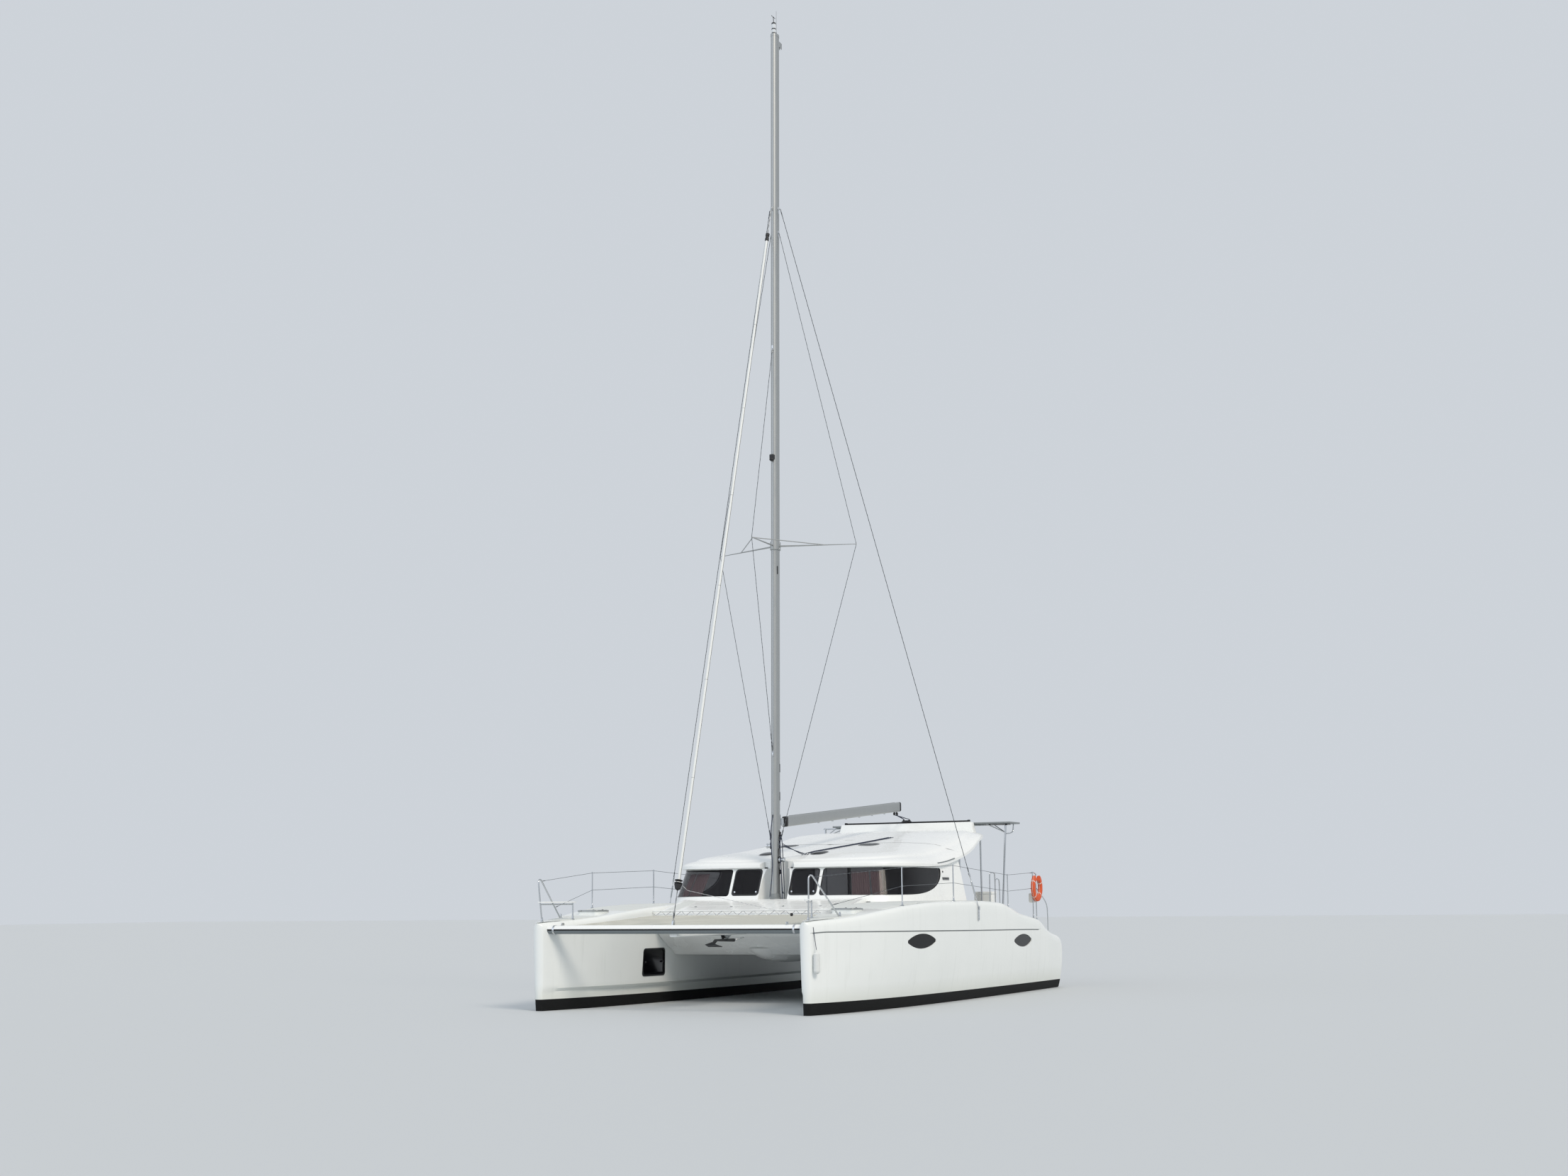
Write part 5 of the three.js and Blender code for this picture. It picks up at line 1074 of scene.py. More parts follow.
@dataclass
class Hull:
    """One hull with its windows, hatches, boarding steps and rubbing groove."""

    side: Side
    # Stations from the stem aft: x, deck edge height, half-breadths at deck and waterline, body depth
    stations: tuple[tuple[float, ...], ...] = (
        (6.55, 1.700, 0.096, 0.070, -0.150),
        (6.40, 1.712, 0.150, 0.098, -0.270),
        (6.00, 1.732, 0.300, 0.190, -0.380),
        (5.20, 1.790, 0.515, 0.340, -0.470),
        (4.20, 1.895, 0.690, 0.470, -0.530),
        (3.20, 1.985, 0.785, 0.560, -0.560),
        (1.60, 2.045, 0.838, 0.630, -0.580),
        (-0.40, 2.050, 0.850, 0.655, -0.570),
        (-1.90, 2.010, 0.850, 0.655, -0.520),
        (-2.60, 1.900, 0.845, 0.650, -0.490),
        (-3.20, 1.775, 0.835, 0.645, -0.455),
        (-4.00, 1.690, 0.810, 0.635, -0.390),
        (-4.70, 1.610, 0.780, 0.622, -0.315),
        (-5.20, 1.430, 0.755, 0.612, -0.250),
        (-5.80, 1.290, 0.715, 0.598, -0.170),
        (-6.30, 1.230, 0.680, 0.585, -0.095),
        (-6.55, 1.200, 0.665, 0.578, -0.060),
    )
    stem_rake: float = 0.07
    nose: float = 0.06
    knuckle_z: float = 0.43
    groove_depth: float = 0.012
    groove_half: float = 0.013
    groove_heights: tuple[tuple[float, float], ...] = ((6.55, 1.51), (-0.5, 1.43), (-4.65, 1.38),
                                                       (-5.1, 1.36))
    windows: tuple[tuple[str, float, float, float, float, float, float, float], ...] = (
        ("fore", 2.71, 3.682, 1.27, 0.675, 0.148, -2.6, -4.0),
        ("aft", -3.29, 3.717, 1.165, 0.62, 0.142, 2.1, -4.0),
    )
    rings: int = 132

    def value(self, column: int, x: float) -> float:
        """A column of the stations at x, on a smooth curve."""
        return smooth_table(self.stations, x, column)

    def deck_z(self, x: float) -> float:
        """Height of the deck's edge at x."""
        return self.value(1, x)

    def half(self, x: float, z: float, outer: bool) -> float:
        """Half-breadth of the hull at a place, read off its section.

        Args:
            x: Place along the boat.
            z: Height.
            outer: Whether the outer side is meant.

        Returns:
            Breadth from the middle of the hull.
        """
        profile = self.side_profile(x, outer)
        for a, b in zip(profile, profile[1:]):
            if a.y <= z <= b.y:
                return lerp(a.x, b.x, (z - a.y) / max(b.y - a.y, 1e-6))
        return profile[-1].x

    def side_profile(self, x: float, outer: bool) -> list[Vector]:
        """The section's curve from the body's bottom to the start of the gunwale's curve.

        Args:
            x: Place along the boat.
            outer: Whether the outer side is meant.

        Returns:
            Points from the bottom up.
        """
        sheer, deck, water, keel = (self.value(i, x) for i in (1, 2, 3, 4))
        flare = deck - water
        bilge = [(0.0, keel), (0.45 * water, 0.94 * keel), (0.8 * water, 0.68 * keel),
                 (0.95 * water, 0.32 * keel), (water, 0.0)]
        if outer:
            upper = [(water + f * flare, h * sheer) for h, f in ((0.13, 0.36), (0.42, 0.78), (0.72, 0.97))]
            return [Vector(p) for p in spline([*bilge, *upper, (deck, sheer - 0.17)], 6)]
        low = spline([*bilge, (water + 0.1 * flare, self.knuckle_z - 0.06)], 6)
        step = [(water + 0.1 * flare, self.knuckle_z - 0.06), (water + 0.62 * flare, self.knuckle_z)]
        high = spline([step[1], (water + 0.78 * flare, 0.45 * sheer), (water + 0.97 * flare, 0.75 * sheer),
                       (deck, sheer - 0.17)], 6)
        return [*low, *high]

    def ring(self, x: float, narrow: float = 1.0) -> list[Vector]:
        """One section of the hull as a closed ring, drawn for port.

        Args:
            x: Where the section lies.
            narrow: Share of the breadth that is left, less than 1 at the stem's nose.

        Returns:
            The ring's points, all sections with the same number.
        """
        sheer, deck = self.value(1, x), self.value(2, x)
        groove = min(smooth_table(self.groove_heights, x, 1), sheer - 0.22)
        depth = self.groove_depth if -4.6 < x < 6.5 else 0.0
        outer = self.side_profile(x, True)
        below = [p for p in outer if p.y < groove - self.groove_half - 0.002]
        above = [p for p in outer if p.y > groove + self.groove_half + 0.002]
        at = {z: self.half(x, z, True) for z in (groove - self.groove_half, groove + self.groove_half)}
        low, high = groove - self.groove_half, groove + self.groove_half
        lower = resampled([*below, Vector((at[low], low))], 34)
        notch = [Vector((at[low] - depth, low + 0.004)), Vector((at[high] - depth, high - 0.004))]
        upper = resampled([Vector((at[high], high)), *above], 6)
        gunwale = spline([(deck, sheer - 0.17), (deck - 0.014, sheer - 0.07), (deck - 0.066, sheer - 0.01),
                          (deck - 0.16, sheer + 0.001)], 4)[1:]
        top = [Vector((u * deck, sheer + 0.012 * (1 - u * u))) for u in (0.6, 0.3, 0.0)]
        outer_half = [*lower, *notch, *upper, *gunwale, *top]
        inner = self.side_profile(x, False)
        inner_half = [*inner, *gunwale, *top[:2]]
        shown = [(p.x, p.y) for p in outer_half] + [(-p.x, p.y) for p in reversed(inner_half[1:])]
        return [Vector((x + self.shift(x, z, sheer), HULL_Y + u * narrow, z)) for u, z in shown]

    def shift(self, x: float, z: float, sheer: float) -> float:
        """How far a point of the first or last sections is slid by the stem's rake or the transom's bulge.

        Args:
            x: Place of the section.
            z: Height of the point.
            sheer: Height of the deck there.

        Returns:
            How far it is slid along the boat.
        """
        if x > BOW_X - 0.5:
            share = (x - BOW_X + 0.5) / 0.5
            return -self.stem_rake * share * (sheer - z) / sheer
        if x > STERN_X + 0.25:
            return 0.0
        share = (STERN_X + 0.25 - x) / 0.25
        bulge = z - 0.78
        return share * (0.8 if bulge > 0 else 0.2) * bulge * bulge

    def body(self) -> Shape:
        """The bare hull, with a rounded nose at the stem.

        Returns:
            The closed hull.
        """
        rings = []
        for k in range(7):
            turn = math.pi / 2 * k / 6
            rings.append((BOW_X - self.nose * (1 - math.cos(turn)), max(0.03, math.sin(turn))))
        start = BOW_X - self.nose
        for k in range(1, self.rings):
            rings.append((lerp(start, STERN_X, k / (self.rings - 1)), 1.0))
        sections = [self.ring(x, narrow) for x, narrow in rings]
        edge, sheer = sections[-1], self.value(1, STERN_X)
        # The transom's bulge, drawn inwards from its edge
        for share in (0.97, 0.88, 0.75, 0.6, 0.45, 0.3, 0.15, 0.04):
            inner = [Vector((0.0, lerp(HULL_Y, p.y, share), lerp(0.6, p.z, share))) for p in edge]
            for p in inner:
                p.x = STERN_X + self.shift(STERN_X, p.z, sheer)
            sections.append(inner)
        return loft(sections)

    def eye(self, row: tuple, margin: float, low: float, high: float) -> Shape:
        """A pointed oval along the hull's outward normal, between two depths.

        Args:
            row: Sizes and place of the window.
            margin: How far the oval is drawn out.
            low: Depth at which it starts.
            high: Depth at which it ends.

        Returns:
            The closed body.
        """
        _, x, y, z, half_length, half_height, yaw, tilt = row
        tip, blunt = half_length - margin, 0.022 - margin
        bulge = (4 * (half_height - margin) - blunt) / 3
        lower = [(tip * (t ** 3 - (1 - t) ** 3) + 3 * 0.42 * tip * t * (1 - t) * (2 * t - 1),
                  -blunt * ((1 - t) ** 3 + t ** 3) - 3 * t * (1 - t) * bulge)
                 for t in (k / 24 for k in range(25))]
        outline = [*lower, *((-a, -b) for a, b in lower)]
        shape = loft([[Vector((-a, c, b)) for a, b in outline] for c in (low, high)])
        shape = turned(shape, tilt, "X", (0, 0, 0))
        return moved(turned(shape, yaw, "Z", (0, 0, 0)), x, y, z)

    def escape(self, margin: float, inner: float, outer: float, bevel: float = 0.0) -> Shape:
        """The escape hatch's round-cornered outline, between two depths from its recess's floor.

        Args:
            margin: How far the outline is drawn out.
            inner: Depth at which it starts.
            outer: Depth at which it ends.
            bevel: Width of the rounding.

        Returns:
            The closed body.
        """
        flat = prism(rounded(margin - 0.435, 0.435 - margin, margin - 0.287, 0.287 - margin,
                             0.07 - 0.5 * margin),
                     "y", inner, outer, bevel)
        return moved(turned(flat, 3.3, "Z", (0, 0, 0)), 3.175, 2.215, 0.852)

    def build(self) -> None:
        """Make the hull and everything moulded into it."""
        step_y = (2.48, 3.38)
        cutters = [self.eye(row, 0.0, -0.022, 0.2) for row in self.windows]
        cutters.append(self.escape(0.0, -0.315, 0.0))
        cutters.append(box((-4.6, HULL_Y - 0.265, -0.05), (-3.9, HULL_Y + 0.265, 2.2), 0.03))
        cutters.append(prism(rounded(-4.646, -3.854, HULL_Y - 0.311, HULL_Y + 0.311, 0.05), "z", 1.632, 2.2))
        for x0, x1, z in ((-5.6, -5.15, 1.13), (-5.951, -5.6, 0.8), (-6.9, -5.95, 0.45)):
            cutters.append(box((x0 - 0.02, step_y[0], z), (x1, step_y[1], 2.4), 0.02))
        hatch_z = 1.9035
        cutters.append(prism(rounded(4.29, 4.71, 2.65, 3.07, 0.05), "z", hatch_z - 0.3, 2.4))
        coaming = prism(rounded(4.26, 4.74, 2.62, 3.1, 0.07), "z", hatch_z - 0.19, hatch_z)
        body = carved(self.body(), (Cut.JOIN, coaming), *((Cut.OFF, tool) for tool in cutters))
        label = self.side.label
        finished(f"hull_shell_{label}", to_side(body, self.side), HULL_PAINT, replaces=[f"hull_{label}"])
        self.panels(label)
        self.glass(label)
        self.hatches(label)
        # A grey tube sunk along the rubbing groove: painted shadow that darkens the groove's line
        seal_and_shadow_line = []
        for k in range(61):
            x = lerp(6.44, -4.5, k / 60)
            z = min(smooth_table(self.groove_heights, x, 1), self.value(1, x) - 0.22)
            seal_and_shadow_line.append((x + self.shift(x, z, self.value(1, x)), HULL_Y + self.half(x, z, True) - 0.0095, z))
        finished(f"groove_seal_{label}", to_side(tube(seal_and_shadow_line, 0.0085, 8), self.side), CASTING_AND_GROOVE_SHADOW)

    def on_deck(self, x: float, y: float, lift: float) -> Vector:
        """A point on the deck of the port hull.

        Args:
            x: Place along the boat.
            y: Place across the boat.
            lift: Height above the deck.

        Returns:
            The point.
        """
        deck = self.value(2, x)
        across = min(1.0, abs(y - HULL_Y) / deck)
        return Vector((x, y, self.deck_z(x) + 0.012 * (1 - across * across) + lift))

    def panels(self, label: str) -> None:
        """Non-skid panels moulded into the deck, split by smooth strips.

        Args:
            label: The side, as the pieces' names say it.
        """
        runs = ((6.05, 4.95), (4.05, 2.5), (2.35, 0.8), (0.65, -0.9), (-1.05, -2.5), (-2.62, -3.6))
        shapes = []
        for start, end in runs:
            top, bottom = [], []
            columns = 18
            for i in range(columns + 1):
                x = lerp(start, end, i / columns)
                inset = 0.035 * (abs(2 * i / columns - 1) ** 12)
                deck = self.value(2, x)
                inner = max(HULL_Y - deck + 0.12, 2.25) + inset
                outer = HULL_Y + deck - 0.17 - inset
                top.append([self.on_deck(x, lerp(inner, outer, k / 6), 0.004) for k in range(7)])
                bottom.append([p - Vector((0, 0, 0.012)) for p in top[-1]])
            rings = [[*a, *reversed(b)] for a, b in zip(top, bottom)]
            shapes.append(loft(rings))
        finished(f"deck_non_skid_{label}", to_side(joined(shapes), self.side), NON_SKID)
        treads = []
        for x0, x1, z in ((-5.56, -5.2, 1.13), (-5.9, -5.64, 0.8), (-6.4, -6.0, 0.45)):
            treads.append(prism(rounded(x0, x1, 2.55, 3.31, 0.04), "z", z - 0.002, z + 0.004))
        finished(f"step_non_skid_{label}", to_side(joined(treads), self.side), NON_SKID)

    def glass(self, label: str) -> None:
        """Hull windows and the escape hatch, each a bevelled pane.

        Args:
            label: The side, as the pieces' names say it.
        """
        for row in self.windows:
            pane = self.eye(row, 0.004, -0.021, -0.006)
            finished(f"hull_pane_{label}_{row[0]}", to_side(pane, self.side), ACRYLIC,
                     replaces=[f"hull_window_{label}_{row[0]}"])
        pane = self.escape(0.03, -0.03, -0.004, 0.006)
        finished(f"escape_pane_{label}", to_side(pane, self.side), ACRYLIC,
                 replaces=[f"escape_hatch_{label}"])
        rim = carved(self.escape(0.003, -0.04, -0.002, 0.004), (Cut.OFF, self.escape(0.034, -0.2, 0.1)))
        knobs = [lathe([(0.02, 0.0), (0.02, 0.02), (0.012, 0.026), (0.0, 0.026)],
                       (x, 2.187 + 0.0577 * (x - 3.175), 0.855), (0, -1, 0), 16) for x in (2.84, 3.5)]
        finished(f"escape_rim_{label}", to_side(joined([rim, *knobs]), self.side), BLACK_AND_FOIL_SHADE)

    def hatches(self, label: str) -> None:
        """The foredeck's lifting hatch and the engine's lid with their fittings.

        Args:
            label: The side, as the pieces' names say it.
        """
        low = 1.9038
        rim = carved(prism(rounded(4.25, 4.75, 2.61, 3.11, 0.07), "z", low, low + 0.03, 0.004),
                     (Cut.OFF, prism(rounded(4.285, 4.715, 2.645, 3.075, 0.05), "z", low - 0.1, low + 0.2)))
        feet = [box((4.735, y - 0.03, low + 0.012), (4.765, y + 0.03, low + 0.036), 0.006)
                for y in (2.7, 3.02)]
        knobs = [lathe([(0.018, 0.0), (0.018, 0.012), (0.0, 0.014)], (4.31, y, low + 0.028), (0, 0, 1), 14)
                 for y in (2.75, 2.97)]
        name = f"deck_hatch_{label}"
        finished(f"hatch_frame_{label}", to_side(joined([rim, *feet]), self.side), SPAR, name)
        pane = prism(rounded(4.28, 4.72, 2.64, 3.08, 0.055), "z", low + 0.008, low + 0.034, 0.004)
        finished(f"hatch_pane_{label}", to_side(pane, self.side), ACRYLIC, name, replaces=[name])
        finished(f"hatch_knobs_{label}", to_side(joined(knobs), self.side), BLACK_AND_FOIL_SHADE, name)
        name = f"engine_hatch_{label}"
        lid = prism(rounded(-4.64, -3.864, HULL_Y - 0.305, HULL_Y + 0.305, 0.045), "z", 1.6335, 1.664, 0.008)
        finished(f"engine_lid_{label}", to_side(lid, self.side), GELCOAT, name, replaces=[name])
        pad = prism(rounded(-4.58, -3.92, HULL_Y - 0.25, HULL_Y + 0.25, 0.05), "z", 1.655, 1.668)
        finished(f"engine_lid_tread_{label}", to_side(pad, self.side), NON_SKID, name)
        latches = [lathe([(0.03, 0.0), (0.03, 0.006), (0.024, 0.008), (0.0, 0.008)],
                         (-4.605, HULL_Y + y, 1.662), (0, 0, 1), 20) for y in (-0.17, 0.17)]
        finished(f"engine_lid_latches_{label}", to_side(joined(latches), self.side), STAINLESS, name)


# Bridge deck between the hulls


@dataclass
class BridgeDeck:
    """Foredeck, sole, aft beam and nacelle in one moulding, with the fittings on the foredeck."""

    profile: tuple[tuple[float, float], ...] = (
        (3.30, 1.84), (1.95, 2.13), (1.42, 2.13), (1.42, 1.22), (-5.64, 1.22), (-5.64, 1.60),
        (-5.96, 1.60), (-6.00, 1.08), (-5.70, 0.98), (2.35, 0.98), (3.05, 1.38), (3.30, 1.60),
    )
    # Nacelle from its nose aft: x, half-breadth, height of the lowest line
    nacelle: tuple[tuple[float, float, float], ...] = (
        (3.06, 0.11, 1.43), (2.79, 0.27, 1.18), (2.40, 0.43, 0.96), (1.90, 0.56, 0.85),
        (1.20, 0.66, 0.805), (-1.60, 0.76, 0.83), (-2.60, 0.56, 0.97),
    )
    half: float = 2.11

    def deck_z(self, x: float, y: float = 0.0) -> float:
        """Height of the foredeck's slope; all of its breadth is level."""
        (foot_x, foot_z), (head_x, head_z) = self.profile[:2]
        return lerp(foot_z, head_z, min(1.0, max(0.0, (foot_x - x) / (foot_x - head_x))))

    def body(self) -> Shape:
        """The moulding before the hulls are taken off its ends.

        Returns:
            The closed moulding.
        """
        slab = prism(filleted(self.profile, 0.045), "y", -self.half, self.half)
        rings = []
        for k in range(41):
            x = lerp(self.nacelle[0][0], self.nacelle[-1][0], (k / 40) ** 1.3)
            half, low = (smooth_table(self.nacelle, x, c) for c in (1, 2))
            turns = [math.pi * i / 32 for i in range(33)]
            rings.append([
                Vector((x, -half * math.cos(t), low + (1.5 - low) * (1 - math.sin(t) ** 0.5))) for t in turns
            ])
        trim = box((-3, -1.2, FLOOR_Z - 0.1), (3.4, 1.2, 1.7), 0)
        return carved(slab, (Cut.JOIN, carved(loft(rings), (Cut.OFF, trim))))

    def build(self, hulls: Sequence[Shape]) -> Shape:
        """Make the moulding and its fittings.

        Args:
            hulls: The two hulls' bare bodies.

        Returns:
            The moulding's shape, for what stands on it.
        """
        locker = box((-5.2, 1.98, FLOOR_Z - 0.02), (-4.85, 2.42, 2.26), 0.03, 4)
        shape = carved(self.body(), (Cut.JOIN, locker), *((Cut.OFF, hull) for hull in hulls))
        finished("bridge_moulding", shape, GELCOAT, replaces=["bridgedeck"])
        lid = box((-5.21, 1.97, 2.2), (-4.84, 2.43, 2.268), 0.02, 3)
        finished("stern_locker_lid", lid, GELCOAT)
        mats = []
        for y0, y1 in ((-2.02, -1.72), (1.72, 2.02)):
            mats.append(mat_on([(lerp(3.2, 2.1, i / 8), y0, y1) for i in range(9)], self.deck_z, 0.004))
        finished("foredeck_non_skid", joined(mats), NON_SKID)
        lids = []
        seams = []
        for sign in (1, -1):
            for x0, x1 in ((3.14, 2.62), (2.56, 2.06)):
                y0, y1 = sorted((sign * 0.42, sign * 1.62))
                rows = [(lerp(x0, x1, i / 8), y0, y1) for i in range(9)]
                lids.append(mat_on(rows, self.deck_z, 0.004, 10))
                seams.append(mat_on([(lerp(x0 + 0.012, x1 - 0.012, i / 8), y0 - 0.012, y1 + 0.012)
                                     for i in range(9)], self.deck_z, 0.0015))
        finished("foredeck_lids", joined(lids), GELCOAT)
        finished("foredeck_lid_seams", joined(seams), NON_SKID)
        latches = [lathe([(0.028, 0), (0.028, 0.005), (0.0, 0.006)], (2.68, s * y, self.deck_z(2.68) + 0.009),
                         (0.2, 0, 1), 18) for s in (1, -1) for y in (0.6, 1.45)]
        finished("foredeck_latches", joined(latches), STAINLESS)
        self.cockpit()
        return shape

    def cockpit(self) -> None:
        """Teak-look sole planks and the aft beam's non-skid mats."""
        planks = []
        for i in range(17):
            y = -1.38 + i * 0.165
            planks.append(box((-5.0, y, FLOOR_Z - 0.002), (-2.2, y + 0.155, FLOOR_Z + 0.012), 0.002, 1))
        finished("cockpit_sole_planks", joined(planks), TEAK)
        mats = [box((-5.92, s - 0.8, 1.598), (-5.68, s + 0.8, 1.606), 0.003, 1) for s in (-1.0, 1.0)]
        finished("aft_beam_non_skid", joined(mats), NON_SKID)


# Deckhouse: walls, roof, alcove, windows


@dataclass
class Deckhouse:
    """The coachroof with its brow, the mast's alcove and the windows, and the hardtop behind it."""

    squareness: float = 5.2
    middle_x: float = -0.9
    wall: float = 0.045
    roof_thickness: float = 0.06
    window_low: float = 2.195
    window_high: float = 2.765
    lips: tuple[tuple[float, float], ...] = (
        (-0.4, 2.785), (-1.0, 2.835), (-1.5, 2.905), (-2.0, 2.985), (-2.5, 3.080),
        (-3.0, 3.200), (-3.5, 3.350), (-4.0, 3.455), (-4.6, 3.510), (-5.95, 3.530),
    )
    roof_front: float = 1.735
    roof_back: float = -5.95
    roof_half: float = 2.78
    back_power: float = 4.6
    back_taper: float = 0.2
    crown: tuple[tuple[float, float], ...] = (
        (1.8, 2.935), (1.0, 3.095), (0.0, 3.215), (-1.0, 3.330), (-2.0, 3.450),
        (-3.0, 3.575), (-4.0, 3.690), (-5.0, 3.760), (-5.6, 3.770),
    )
    # Roof from its lip inwards: share of the way out, height over the lip, share of the rise to the crown
    rows: tuple[tuple[float, float, float], ...] = (
        (0.88, 0.0, 0.0), (0.995, 0.0, 0.0), (1.0, 0.006, 0.0), (1.0, 0.064, 0.0), (0.996, 0.082, 0.0),
        (0.985, 0.100, 0.0), (0.962, 0.110, 0.13), (0.925, 0.114, 0.25), (0.890, 0.118, 0.33),
        (0.878, 0.132, 0.37), (0.868, 0.150, 0.41), (0.852, 0.158, 0.47), (0.80, 0.158, 0.62),
        (0.72, 0.152, 0.76), (0.6, 0.138, 0.87), (0.48, 0.126, 0.94), (0.32, 0.12, 0.985),
        (0.16, 0.12, 1.0), (0.04, 0.12, 1.0),
    )
    around: int = 200
    alcove_x: float = 1.88
    alcove_radius: float = 0.34
    lining: float = 0.04

    def front(self, z: float) -> float:
        """How far forward the sloping front reaches at a height."""
        return 1.935 - 0.474 * (z - 2.21)

    def half(self, z: float) -> float:
        """Half-breadth over the walls at a height."""
        return 2.82 - 0.2 * (z - 2.2)

    def squircle(self, reach: float, half: float, power: float, start: float, end: float) -> list[Vector]:
        """Points on a square-shouldered oval between two angles in degrees, from straight ahead.

        Args:
            reach: How far the oval reaches ahead.
            half: Half its breadth.
            power: How square its shoulders are.
            start: First angle.
            end: Last angle.

        Returns:
            The points, in order.
        """
        dense = []
        for i in range(721):
            turn = math.radians(lerp(start, end, i / 720))
            c, s = math.cos(turn), math.sin(turn)
            dense.append(Vector((math.copysign(abs(c) ** (2 / power), c) * reach,
                                 math.copysign(abs(s) ** (2 / power), s) * half)))
        return dense

    def wall_ring(self, z: float, inset: float) -> list[Vector]:
        """The walls' outline at a height, drawn in from the outer face.

        Args:
            z: The height.
            inset: How far it is drawn in.

        Returns:
            Points of the outline.
        """
        curve = self.squircle(self.front(z) - inset - self.middle_x, self.half(z) - inset, self.squareness,
                              -90, 90)
        even = resampled(curve, 150)
        points = [Vector((p.x + self.middle_x, p.y, z)) for p in even]
        half = self.half(z) - inset
        return [Vector((-2.6, -half, z)), *points, Vector((-2.6, half, z))]

    def walls(self, inset: float, top: float) -> Shape:
        """The solid within the walls up to a height."""
        return loft([self.wall_ring(z, inset) for z in (FLOOR_Z + 0.0003, top)])

    def lip(self, x: float) -> float:
        """Height of the roof's lip."""
        return smooth_table(self.lips, x, 1)

    def roof(self, inset: float, drop: float, reach_down: float = 0.0, spread: float = 1.0) -> Shape:
        """The roof as a solid, let down by an amount; its foot may reach further down and out.

        Args:
            inset: How far the edge is drawn in.
            drop: How far the roof is let down.
            reach_down: How much lower the foot lies.
            spread: How much wider the foot is.

        Returns:
            The closed roof.
        """
        reach, half = self.middle_x - self.roof_back - inset, self.roof_half - inset
        ahead = self.squircle(self.roof_front - self.middle_x - inset, half, self.squareness, -90, 90)
        astern = self.squircle(reach, half, self.back_power, 90, -90)
        astern = [Vector((-p.x, p.y * (1 - self.back_taper * (p.x / reach) ** 2))) for p in astern]
        edge = resampled([*ahead[:-1], *astern], self.around + 1)[:-1]
        rows = list(self.rows)
        if reach_down:
            low = (spread, 0.0, 0.0)
            rows = [low, *([(spread, 0.07, 0.0)] if spread > 1 else []), *rows[3:]]
        rings = []
        for r, (out, up, rise) in enumerate(rows):
            lower = reach_down if reach_down and r == 0 else drop
            ring = []
            for p in edge:
                x = p.x + self.middle_x
                spine = min(0.3, max(-3.6, x))
                px = spine + out * (x - spine)
                lip = self.lip(px) + up
                crown = smooth_table(self.crown, px, 1)
                ring.append(Vector((px, out * p.y, lip + rise * (crown - lip) - lower)))
            rings.append(ring)
        return loft(rings)

    @cached_property
    def roof_skin(self) -> BVHTree:
        """The roof's outer skin, to measure heights on."""
        return BVHTree.FromPolygons(*self.roof(0, 0))

    def surface(self, x: float, y: float) -> float:
        """Height of the roof's top at a place."""
        hit = self.roof_skin.ray_cast(Vector((x, y, 9.0)), Vector((0, 0, -1)))[0]
        return hit.z if hit else self.lip(x)

    def alcove(self, radius: float, low: float) -> Shape:
        """The half-round column that the mast stands in, open ahead.

        Args:
            radius: Of the column.
            low: Height of its foot.

        Returns:
            The closed column.
        """
        arc = [(self.alcove_x + radius * math.cos(t), radius * math.sin(t))
               for t in (math.pi / 2 + math.pi * k / 24 for k in range(25))]
        return prism([(self.alcove_x + 0.7, -radius), (self.alcove_x + 0.7, radius), *arc][::-1], "z", low,
                     3.6)

    def mouth(self) -> Shape:
        """What rounds the brow's inner corners back into the alcove.

        Returns:
            The closed body that is taken off.
        """
        radius, x, low = 0.15, 1.61, 2.772
        arc = [(x + radius * math.sin(t), self.alcove_radius + radius * (1 - math.cos(t)))
               for t in (math.pi / 2 * k / 10 for k in range(11))]
        return prism([*((a, -b) for a, b in reversed(arc)), *arc], "z", low, 3.4)

    def long_window(self, margin: float) -> Shape:
        """The port long window's opening: seen from ahead, and with its swept aft edge seen from the side.

        Args:
            margin: How far the outline is drawn out.

        Returns:
            The closed body of the opening.
        """
        low, high = self.window_low + margin, self.window_high - margin
        ahead = prism(rounded(1.065 + margin, 3.6, low, high, 0.06), "x", -3.0, 3.0)
        back = -0.83 + margin
        handles = ((back, 2.725), (back + 0.04, 2.435), (back + 0.7, low), (1.1, low))
        curve = []
        for k in range(21):
            t = k / 20
            shares = ((1 - t) ** 3, 3 * t * (1 - t) ** 2, 3 * t * t * (1 - t), t ** 3)
            curve.append(tuple(sum(w * h[i] for w, h in zip(shares, handles)) for i in range(2)))
        flank = prism([(3.0, low), (3.0, high), (back + 0.03, high), *curve], "y", 0.3, 3.6)
        return carved(ahead, (Cut.KEEP, flank))

    def opening_port(self, margin: float) -> Shape:
        """The port opening window's outline, carried through the front."""
        return prism(rounded(0.35 + margin, 1.0 - margin, self.window_low + 0.01 + margin,
                             self.window_high - margin, 0.07), "x", 1.0, 2.6)

    def skin(self, outer: float, inner: float) -> Shape:
        """A shell that follows the walls between two insets."""
        return carved(self.walls(outer, 2.795), (Cut.OFF, self.walls(inner, 2.8)))

